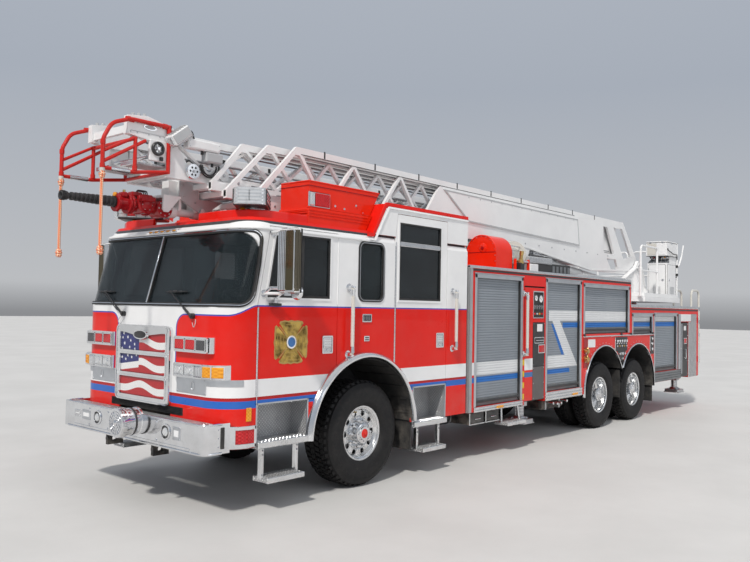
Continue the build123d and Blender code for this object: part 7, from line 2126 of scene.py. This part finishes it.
pc.lathe([(-3.155, 0.10), (-3.155, 0.215), (-3.175, 0.215), (-3.175, 0.10)], (0, ry, 2.70), "X", "cream", n=44)
pc.lathe([(-3.175, 0.02), (-3.175, 0.12), (-3.560, 0.12), (-3.560, 0.02)], (0, ry, 2.70), "X", "dull_chrome", n=36)
pc.lathe([(-3.560, 0.02), (-3.560, 0.215), (-3.580, 0.215), (-3.580, 0.02)], (0, ry, 2.70), "X", "cream", n=44)
for k in range(4):
    t = radians(45 + 90 * k)
    pc.rod((-3.16, ry + 0.17 * cos(t), 2.70 + 0.17 * sin(t)), (-3.575, ry + 0.17 * cos(t), 2.70 + 0.17 * sin(t)), 0.010, "dull_chrome", n=10)
pc.box(-3.62, -3.58, ry - 0.05, ry + 0.05, 2.455, 2.72, "orange_red", c=0.006)
for y in (ry + 0.265, ry - 0.265):
    pc.rod((-3.20, y, 2.60), (-3.54, y, 2.60), 0.016, "chrome", n=14)
    for x in (-3.19, -3.55):
        pc.box(x - 0.010, x + 0.010, y - 0.02, y + 0.02, 2.455, 2.63, "orange_red", c=0.004)
# brass nozzle in its holder
pc.lathe([(0.0, 0.001), (0.0, 0.040), (0.02, 0.044), (0.05, 0.038), (0.06, 0.028), (0.12, 0.024), (0.13, 0.030), (0.18, 0.030), (0.18, 0.001)], (-3.28, 1.160, 2.560), (0, 0.1, 1.0), "brass", n=28)
pc.box(-3.33, -3.23, 1.110, 1.200, 2.455, 2.575, "plastic", c=0.01)
# ribbed vent box, white box and dark panels on the top
for s in (1, -1):
    pc.box(-4.395, -3.708, s * 0.72, s * 1.06, 2.605, 2.700, "light_grey", c=0.008)
    for k in range(15):
        x = -4.375 + 0.0467 * k
        pc.box(x - 0.012, x + 0.012, s * 1.055, s * 1.068, 2.618, 2.688, "dull_chrome", c=0.003)
    pc.box(-3.945, -3.712, s * 0.74, s * 1.075, 2.456, 2.590, "white", c=0.008)
    pc.box(-4.395, -3.960, s * 0.76, s * 1.05, 2.456, 2.600, "plastic", c=0.006)
    pc.box(-5.180, -4.410, s * 0.82, s * 0.96, 2.456, 2.633, "plastic", c=0.006)
    for k in range(6):
        x = -5.12 + 0.125 * k
        pc.box(x - 0.035, x + 0.035, s * 0.958, s * 0.968, 2.500, 2.600, "grey_plastic", c=0.004)
    pc.box(-6.80, -5.30, s * 1.00, s * 1.20, 2.456, 2.500, "light_grey", c=0.010)
    # posts of the ladder rest: pads, gussets and bolts
    pc.box(-2.135, -2.005, s * 0.525, s * 0.645, 2.885, 2.8965, "rubber", c=0.004)
    pc.prism([(-1.99, 2.456), (-1.88, 2.456), (-1.99, 2.62)], "XZ", s * 0.560, s * 0.580, "red")
    for z in (2.50, 2.60, 2.70):
        pc.bolt((-2.010, s * 0.570, z), (1, 0, 0), 0.010, 0.010, "steel")
for k in range(5):
    pc.box(-2.012, -2.004, -0.42 + 0.21 * k - 0.05, -0.42 + 0.21 * k + 0.05, 2.665, 2.735, "red", c=0.003)
pc.finish("truck", angle=32)

# ---- turntable, console and lift cylinders ------------------------------------------------
pc = Piece("turntable_trim")
edge = [(-7.60, 0.88), (-7.82, 1.12), (-9.58, 1.12), (-9.90, 0.80)]
deck = edge + [(x, -y) for x, y in reversed(edge)]
pc.prism(deck, "XY", 2.2002, 2.2052, "plate")
# toe boards along the deck's edges and the bolted ring below
for (x0, y0), (x1, y1) in zip(edge, edge[1:] + [(-9.90, -0.80)]):
    for s in ((1, -1) if y1 > 0 else (1,)):
        pc.beam((x0 - 0.004, s * y0, 2.238), (x1 - 0.004, s * y1 if y1 > 0 else y1, 2.238), 0.014, 0.072, "white", up=(0, 0, 1), c=0.003)
for k in range(36):
    t = 2 * pi * k / 36
    pc.bolt((-8.60 + 0.45 * cos(t), 0.45 * sin(t), 2.2052), (0, 0, 1), 0.013, 0.014, "steel")
pc.lathe([(2.2052, 0.001), (2.2052, 0.36), (2.225, 0.36), (2.235, 0.33), (2.235, 0.001)], (-8.60, 0, 0), "Z", "steel", n=48)
for s in (1, -1):
    # flanges, ribs and gussets of the heel uprights
    for a, b in (((-9.05, 2.20), (-8.74, 2.80)), ((-8.50, 2.80), (-7.60, 2.42))):
        dx, dz = b[0] - a[0], b[1] - a[1]
        n = hypot(dx, dz)
        q = (dz / n * 0.016, -dx / n * 0.016)
        pc.prism([a, b, (b[0] + q[0], b[1] + q[1]), (a[0] + q[0], a[1] + q[1])], "XZ", s * 0.690, s * 0.724, "white")
    for x, zt in ((-8.90, 2.42), (-8.40, 2.70), (-8.00, 2.54)):
        pc.prism([(s * 0.690, 2.205), (s * 0.850, 2.205), (s * 0.740, zt - 0.06), (s * 0.690, zt)], "YZ", x - 0.007, x + 0.007, "white")
    pc.box(-9.06, -7.60, s * 0.690, s * 0.880, 2.205, 2.219, "white", c=0.003)
    for x in (-9.00, -8.78, -8.56, -8.20, -7.80, -7.66):
        pc.bolt((x, s * 0.80, 2.219), (0, 0, 1), 0.014, 0.012, "steel")
    pc.disc((-8.62, s * 0.700, 2.80), (0, s, 0), 0.085, 0.016, "white", n=36, c=0.004)
    pc.disc((-8.62, s * 0.716, 2.80), (0, s, 0), 0.048, 0.012, "steel", n=28, c=0.004)
    for k in range(8):
        t = 2 * pi * k / 8 + 0.2
        pc.bolt((-8.62 + 0.067 * cos(t), s * 0.716, 2.80 + 0.067 * sin(t)), (0, s, 0), 0.009, 0.008, "steel")
    # lift cylinder lug plates, pins and hoses
    pc.disc((-7.85, s * 0.530, 2.445), (0, s, 0), 0.060, 0.014, "white", n=28, c=0.004)
    pc.disc((-7.85, s * 0.544, 2.445), (0, s, 0), 0.036, 0.010, "steel", n=24, c=0.003)
    for k in range(6):
        t = 2 * pi * k / 6
        pc.bolt((-7.85 + 0.048 * cos(t), s * 0.544, 2.445 + 0.048 * sin(t)), (0, s, 0), 0.006, 0.006, "steel")
    for k in range(3):
        y = s * (0.20 + 0.045 * k)
        pc.pipe([(-8.28, s * 0.12 + 0.02 * k, 2.225), (-8.28, s * 0.12 + 0.02 * k, 2.33 + 0.02 * k), (-7.98, y, 2.34 + 0.02 * k), (-7.74, y + s * 0.02, 2.30), (-7.70, y + s * 0.02, 2.206)], 0.014, "rubber", bend=0.07, n=10)
        for x, z in ((-8.28, 2.232), (-7.70, 2.215)):
            pc.disc((x, (s * 0.12 + 0.02 * k) if x < -8 else (y + s * 0.02), z), "Z", 0.021, 0.024, "dull_chrome", n=12, c=0.003)
    # feet of the hand rails
    for x, y in ((-7.70, 1.105), (-8.50 if s > 0 else -9.50, 1.105)):
        pc.disc((x, s * y, 2.206), "Z", 0.048, 0.010, "white", n=24, c=0.003)
        for k in range(4):
            t = radians(45 + 90 * k)
            pc.bolt((x + 0.036 * cos(t), s * y + 0.036 * sin(t), 2.215), (0, 0, 1), 0.006, 0.006, "steel")
    for y in (0.74, 0.06):
        pc.disc((-9.88, s * y, 2.206), "Z", 0.042, 0.010, "white", n=24, c=0.003)
# swing motor with its gearbox, on the right of the deck
pc.lathe([(2.205, 0.001), (2.205, 0.15), (2.245, 0.15), (2.245, 0.115), (2.38, 0.115), (2.39, 0.10), (2.39, 0.075), (2.52, 0.075), (2.53, 0.065), (2.53, 0.001)], (-9.20, -0.35, 0), "Z", "grey", n=36)
for k in range(8):
    t = 2 * pi * k / 8
    pc.bolt((-9.20 + 0.132 * cos(t), -0.35 + 0.132 * sin(t), 2.245), (0, 0, 1), 0.010, 0.010, "steel")
pc.pipe([(-9.20, -0.28, 2.49), (-9.20, -0.15, 2.50), (-9.05, -0.05, 2.40), (-8.95, -0.02, 2.232)], 0.014, "rubber", bend=0.06, n=10)
pc.pipe([(-9.20, -0.28, 2.44), (-9.18, -0.17, 2.44), (-9.00, -0.10, 2.36), (-8.90, -0.07, 2.232)], 0.014, "rubber", bend=0.06, n=10)
# junction box, posts and the leaning rail at the back
pc.box(-9.86, -9.66, -0.98, -0.72, 2.205, 2.62, "white", c=0.012)
pc.box(-9.664, -9.655, -0.96, -0.74, 2.25, 2.58, "light_grey", c=0.004)
pc.pipe([(-9.610, 1.088, 2.204), (-9.610, 1.088, 3.330)], 0.019, "white", n=14)
pc.disc((-9.610, 1.088, 2.206), "Z", 0.045, 0.010, "white", n=24, c=0.003)
pc.pipe([(-9.610, 1.088, 2.83), (-9.70, 1.10, 2.88), (-9.80, 1.12, 3.08), (-9.86, 1.13, 3.30)], 0.015, "white", bend=0.10, n=12)
for z in (2.66, 2.83):
    pc.disc((-9.610, 1.088, z), "Z", 0.030, 0.05, "plastic", n=16, c=0.006)
pc.disc((-9.610, 1.088, 3.322), "Z", 0.022, 0.014, "plastic", n=16, c=0.004)
pc.pipe([(-9.60, 1.088, 2.66), (-9.56, 1.10, 2.62), (-9.53, 1.094, 2.64)], 0.007, "rubber", bend=0.02, n=8)
# hand rail caps and mid clips
for x, y in ((-7.70, 1.105), (-7.70, -1.105), (-8.50, 1.105), (-9.50, -1.105)):
    pc.disc((x, y, 2.69), "Z", 0.026, 0.05, "white", n=18, c=0.004)
pc.finish("turntable", angle=32)

pc = Piece("console_trim")
cx0, cx1, cy0, cy1 = -9.530, -9.060, 0.700, 1.090
# cabinet doors with frames, latches and louvres
for plane, lo, d, u0, u1 in (("XZ", cy1, 1, cx0 + 0.03, cx1 - 0.03), ("YZ", cx1, 1, cy0 + 0.03, cy1 - 0.03), ("XZ", cy0, -1, cx0 + 0.03, cx1 - 0.03), ("YZ", cx0, -1, cy0 + 0.03, cy1 - 0.03)):
    pc.prism(rounded(u0, u1, 2.24, 2.865, 0.018, 4), plane, lo - d * 0.001, lo + d * 0.012, "white")
    pc.frame(rounded(u0 - 0.006, u1 + 0.006, 2.234, 2.871, 0.022, 4), rounded(u0, u1, 2.24, 2.865, 0.018, 4), plane, lo, lo + d * 0.003, "rubber")
    um = u1 - 0.05
    def at(u, v, h):
        return (u, lo + d * h, v) if plane == "XZ" else (lo + d * h, u, v)
    ax = (0, d, 0) if plane == "XZ" else (d, 0, 0)
    pc.disc(at(um, 2.56, 0.012), ax, 0.026, 0.006, "chrome", n=22, c=0.003)
    pc.beam(at(um, 2.56 - 0.018, 0.021), at(um, 2.56 + 0.018, 0.021), 0.008, 0.006, "chrome", up=ax)
    for k in range(6):
        z = 2.30 + 0.024 * k
        pc.beam(at(u0 + 0.09, z, 0.013), at(u1 - 0.09, z, 0.013), 0.010, 0.008, "light_grey", up=ax)
    for z in (2.33, 2.78):
        pc.beam(at(u0 - 0.002, z - 0.03, 0.010), at(u0 - 0.002, z + 0.03, 0.010), 0.014, 0.012, "dull_chrome", up=ax, c=0.003)
pc.box(cx0 - 0.012, cx1 + 0.012, cy0 - 0.012, cy1 + 0.012, 2.203, 2.226, "steel", c=0.004)
# lid with its seam and gasket
pc.box(-9.566, -9.004, 0.684, 1.116, 3.312, 3.334, "white", c=0.008)
pc.box(-9.562, -9.008, 0.688, 1.112, 3.302, 3.311, "rubber", c=0.002)
pc.box(-9.562, -9.008, 0.688, 1.112, 3.036, 3.044, "rubber", c=0.002)
pc.box(-9.010, -9.002, 0.715, 0.895, 3.060, 3.290, "cream", c=0.004)
pc.box(-9.010, -9.002, 0.905, 1.085, 3.060, 3.290, "white", c=0.004)
for y in (0.78, 1.02):
    pc.box(-9.012, -8.998, y - 0.022, y + 0.022, 3.290, 3.326, "dull_chrome", c=0.004)
pc.box(-9.30, -9.20, 1.108, 1.118, 3.29, 3.32, "dull_chrome", c=0.003)
# control desk below the lid: levers, lamps, dial and screen
pc.prism([(-9.198, 2.896), (-9.064, 2.896), (-9.064, 2.912), (-9.198, 2.985)], "XZ", 0.706, 1.084, "grey_plastic")
for k in range(5):
    y = 0.745 + 0.072 * k
    z = 2.945
    pc.rod((-9.125, y, z), (-9.100, y, z + 0.055), 0.005, "chrome", n=8)
    pc.disc((-9.098, y, z + 0.060), (0.4, 0, 1), 0.013, 0.022, ("plastic", "red_lens", "plastic", "plastic", "amber_lens")[k], n=14, c=0.004)
    pc.box(-9.090, -9.072, y - 0.012, y + 0.012, 2.912, 2.924, "white" if k % 2 else "plastic", c=0.002)
pc.box(-9.202, -9.194, 0.76, 0.92, 2.990, 3.034, "dark_lens", c=0.003)
for y in (0.97, 1.03):
    pc.disc((-9.200, y, 3.012), "X", 0.019, 0.010, "chrome", n=20, c=0.003)
    pc.disc((-9.1945, y, 3.012), "X", 0.015, 0.002, "white", n=20)
# drooping cable across the left side
pc.pipe([(-9.03, 1.112, 3.17), (-9.08, 1.135, 3.13), (-9.30, 1.135, 3.085), (-9.50, 1.130, 3.09), (-9.600, 1.10, 3.02), (-9.60, 1.088, 2.95)], 0.008, "rubber", bend=0.06, n=8)
pc.disc((-9.03, 1.112, 3.17), "Y", 0.018, 0.014, "plastic", n=16, c=0.003)
pc.finish("turntable", angle=32)

CX, CZ, EX, EZ = -7.850, 2.445, -4.300, 2.800
reach = hypot(EX - CX, EZ - CZ)
wx, wz = (EX - CX) / reach, (EZ - CZ) / reach


def on_cyl(d, y, up=0.0):
    return (CX + wx * d - wz * up, y, CZ + wz * d + wx * up)


pc = Piece("lift_barrel_trim")
for s in (1, -1):
    y = s * 0.455
    axis = (wx, 0, wz)
    pc.lathe([(0.0, 0.078), (0.0, 0.0865), (0.055, 0.0865), (0.062, 0.080), (0.062, 0.047), (0.010, 0.047)], on_cyl(2.512, y), axis, "grey", n=36)
    pc.lathe([(0.0, 0.079), (0.0, 0.0855), (0.030, 0.0855), (0.030, 0.079)], on_cyl(0.150, y), axis, "white", n=36)
    for d in (0.75, 1.35, 1.95):
        pc.lathe([(0.0, 0.0795), (0.0, 0.084), (0.022, 0.084), (0.022, 0.0795)], on_cyl(d, y), axis, "dull_chrome", n=32)
        pc.beam(on_cyl(d + 0.011, y - s * 0.078), on_cyl(d + 0.011, y - s * 0.122), 0.022, 0.026, "dull_chrome", c=0.003)
    pc.pipe([on_cyl(0.30, y, -0.085), on_cyl(0.30, y - s * 0.105, -0.03), on_cyl(0.45, y - s * 0.110), on_cyl(2.40, y - s * 0.110), on_cyl(2.47, y - s * 0.070, -0.02)], 0.010, "dull_chrome", bend=0.03, n=10)
    pc.box(CX + 0.24, CX + 0.38, y - s * 0.05, y + s * 0.05, CZ - 0.105, CZ - 0.045, "grey", c=0.006)
    for k in range(8):
        t = 2 * pi * k / 8
        c, q = 0.066 * cos(t), 0.066 * sin(t)
        pc.bolt(on_cyl(2.573, y + c, q), axis, 0.007, 0.007, "steel")
pc.finish("lift_cylinder_barrels", angle=32)
pc = Piece("lift_rod_trim")
for s in (1, -1):
    y = s * 0.455
    pc.lathe([(0.0, 0.044), (0.0, 0.052), (0.045, 0.052), (0.060, 0.046)], on_cyl(reach - 0.150, y), (wx, 0, wz), "steel", n=28)
    for q in (0.424, 0.486):
        pc.lathe([(-0.002, 0.030), (-0.002, 0.052), (0.002, 0.052), (0.002, 0.030)], (EX, s * q, EZ), "Y", "steel", n=28)
    pc.disc((EX, s * 0.572, EZ), (0, s, 0), 0.024, 0.004, "steel", n=24, c=0.001)
pc.finish("lift_cylinder_rods", angle=32)

# ---- rear face -----------------------------------------------------------------------------
pc = Piece("rear_face")
RF = -10.330
for s in (1, -1):
    pc.box(RF - 0.005, RF + 0.002, s * 0.575, s * 1.255, 0.700, 1.985, "plate")
    pc.box(RF - 0.012, RF + 0.002, s * 1.240, s * 1.284, 0.615, 2.030, "aluminium", c=0.004)
    for z, mat in ((0.82, "clear_lens"), (0.99, "amber_lens"), (1.16, "red_lens"), (1.33, "red_lens")):
        lamp(pc, "YZ", RF - 0.005, min(s * 0.600, s * 0.760), max(s * 0.600, s * 0.760), z, z + 0.135, -0.018, mat, rim=0.010, bulge=0.006)
    lamp(pc, "YZ", RF - 0.005, min(s * 0.600, s * 0.790), max(s * 0.600, s * 0.790), 1.700, 1.900, -0.026, "red_lens", rim=0.012, bulge=0.010)
    pc.pipe([(RF - 0.004, s * 0.80 if s < 0 else 0.60, 1.95), (RF - 0.06, s * 0.80 if s < 0 else 0.60, 1.95), (RF - 0.06, s * 1.15 if s < 0 else 0.78, 1.95), (RF - 0.004, s * 1.15 if s < 0 else 0.78, 1.95)], 0.016, "chrome", bend=0.03, n=12)
# roll of ground ladders in the centre opening
pc.frame([(y, z) for y, z in rounded(-0.590, 0.590, 1.050, 1.930, 0.03, 4)], [(y, z) for y, z in rounded(-0.560, 0.560, 1.080, 1.900, 0.01, 4)], "YZ", RF - 0.014, RF + 0.002, "aluminium")
pc.box(RF + 0.050, RF + 0.062, -0.559, 0.559, 1.081, 1.899, "liner")
for i, y0 in enumerate((-0.50, -0.30, -0.10, 0.10, 0.30)):
    for z in (1.13, 1.50):
        for h in (0.0, 0.27):
            pc.box(RF + 0.004, RF + 0.056, y0, y0 + 0.075, z + h, z + h + 0.085, "satin", c=0.006)
            pc.box(RF + 0.0035, RF + 0.012, y0 + 0.016, y0 + 0.059, z + h + 0.016, z + h + 0.069, "liner", c=0.004)
        pc.rod((RF + 0.030, y0 + 0.0375, z + 0.07), (RF + 0.030, y0 + 0.0375, z + 0.29), 0.016, "dull_chrome", n=12)
        pc.box(RF + 0.002, RF + 0.016, y0 + 0.082, y0 + 0.098, z - 0.02, z + 0.33, "plastic", c=0.003)
# step top, its edge strip and brackets, blank plate holder, bed lamp, rungs with chrome rings and round chrome mounts
pc.box(-10.529, -10.332, -1.119, 0.699, 0.690, 0.695, "plate")
pc.box(-10.536, -10.526, -1.122, 0.702, 0.636, 0.700, "aluminium", c=0.003)
for k in range(9):
    y = -1.06 + 0.20 * k
    pc.box(-10.539, -10.534, y, y + 0.10, 0.652, 0.684, "red_lens" if k % 2 else "white", c=0.001)
for y in (-0.9, -0.2, 0.45):
    pc.prism([(-10.345, 0.640), (-10.345, 0.50), (-10.48, 0.640)], "XZ", y - 0.006, y + 0.006, "black")
pc.box(RF - 0.012, RF - 0.004, -1.08, -0.80, 0.745, 0.895, "white", c=0.002)
pc.frame(rounded(-1.09, -0.79, 0.735, 0.905, 0.008, 3), rounded(-1.076, -0.804, 0.749, 0.891, 0.004, 3), "YZ", RF - 0.016, RF - 0.004, "chrome")
pc.box(RF - 0.03, RF + 0.002, -0.30, 0.30, 0.95, 1.01, "clear_lens", c=0.008)
pc.frame(rounded(-0.315, 0.315, 0.940, 1.020, 0.01, 3), rounded(-0.296, 0.296, 0.954, 1.006, 0.006, 3), "YZ", RF - 0.034, RF, "chrome")
for k in range(5):
    z = 0.915 + 0.275 * k
    pc.box(-10.676, -10.618, 0.842, 1.158, z - 0.001, z + 0.006, "plate", c=0.002)
    for y in (0.82, 1.18):
        pc.lathe([(-0.035, 0.022), (-0.035, 0.026), (0.035, 0.026), (0.035, 0.022)], (-10.660, y, z - 0.012), "Z", "chrome", n=20)
for y in (0.82, 1.18):
    pc.disc((RF - 0.004, y, 0.76), (-1, 0, 0), 0.042, 0.012, "chrome", n=24, c=0.003)
    pc.disc((-10.200, y, 2.036), "Z", 0.042, 0.012, "chrome", n=24, c=0.003)
pc.finish("truck", angle=32)

# ---- bowed rails at the ladder's tip -------------------------------------------------------
M["rail_red"] = paint("rail_paint", (0.56, 0.020, 0.014), rough=0.34)
pc = Piece("tip_rail_tubes")
for s in (1, -1):
    y = s * 0.380
    pc.pipe([(1.950, y, 3.600), (2.375, y, 3.600), (2.560, y, 3.530), (2.640, y, 3.375), (2.640, y, 3.082)], 0.019, "rail_red", bend=0.15, n=16, steps=7)
    pc.pipe([(2.640, y, 3.112), (2.330, y, 3.114), (1.965, y, 3.165)], 0.018, "rail_red", bend=0.10, n=14)
    pc.pipe([(1.965, y, 3.150), (1.965, y, 3.600)], 0.019, "rail_red", n=14)
    pc.pipe([(2.320, y, 3.112), (2.320, y, 3.430)], 0.018, "rail_red", n=14)
    pc.pipe([(2.640, y, 3.165), (2.215, y, 3.425)], 0.0165, "rail_red", n=14)
    pc.pipe([(2.640, y, 3.260), (2.340, y, 3.428)], 0.0150, "rail_red", n=14)
    for x in (1.975, 2.330):
        pc.box(x, x + 0.050, s * 0.358, s * 0.380, 3.575, 3.600, "rail_red", c=0.004)
    pc.box(2.298, 2.345, s * 0.320, s * 0.384, 3.428, 3.446, "rail_red", c=0.004)
    # collars, end plug and the grey sprung struts
    for p, d in (((2.640, y, 3.345), (0, 0, 1)), ((2.640, y, 3.130), (0, 0, 1)), ((2.400, y, 3.5975), (1, 0, -0.1)), ((2.010, y, 3.600), (1, 0, 0)), ((2.320, y, 3.150), (0, 0, 1)), ((1.965, y, 3.560), (0, 0, 1))):
        v = Vector(d).normalized() * 0.020
        pc.rod(Vector(p) - v, Vector(p) + v, 0.0232, "rail_red", n=16)
    pc.rod((2.375, y, 3.113), (2.560, y, 3.113), 0.0225, "dull_chrome", n=14)
    pc.disc((1.946, y, 3.600), "X", 0.0195, 0.008, "rubber", n=16)
pc.rod((2.320, -0.380, 3.428), (2.320, 0.380, 3.428), 0.0185, "rail_red", n=14)
pc.rod((1.965, -0.380, 3.165), (1.965, 0.380, 3.165), 0.0170, "rail_red", n=14)
pc.finish("fly_section", replaces=("tip_rails",), angle=35)

pc = Piece("rope_knot_turns")
for s in (1, -1):
    c = (2.640, s * 0.380, 0)
    for z0, r in ((2.352, 0.030), (2.376, 0.034), (2.398, 0.028), (3.030, 0.026), (3.052, 0.032)):
        pc.lathe([(z0 - 0.013, 0.010), (z0 - 0.011, r * 0.72), (z0 - 0.005, r * 0.96), (z0 + 0.005, r * 0.96), (z0 + 0.011, r * 0.72), (z0 + 0.013, 0.010)], c, "Z", "rope", n=20)
    for k in range(7):
        t = 2 * pi * k / 7
        pc.rod((c[0] + 0.010 * cos(t), c[1] + 0.010 * sin(t), 2.345), (c[0] + 0.017 * cos(t), c[1] + 0.017 * sin(t), 2.332), 0.0035, "rope", n=6)
pc.finish("fly_section", angle=50)
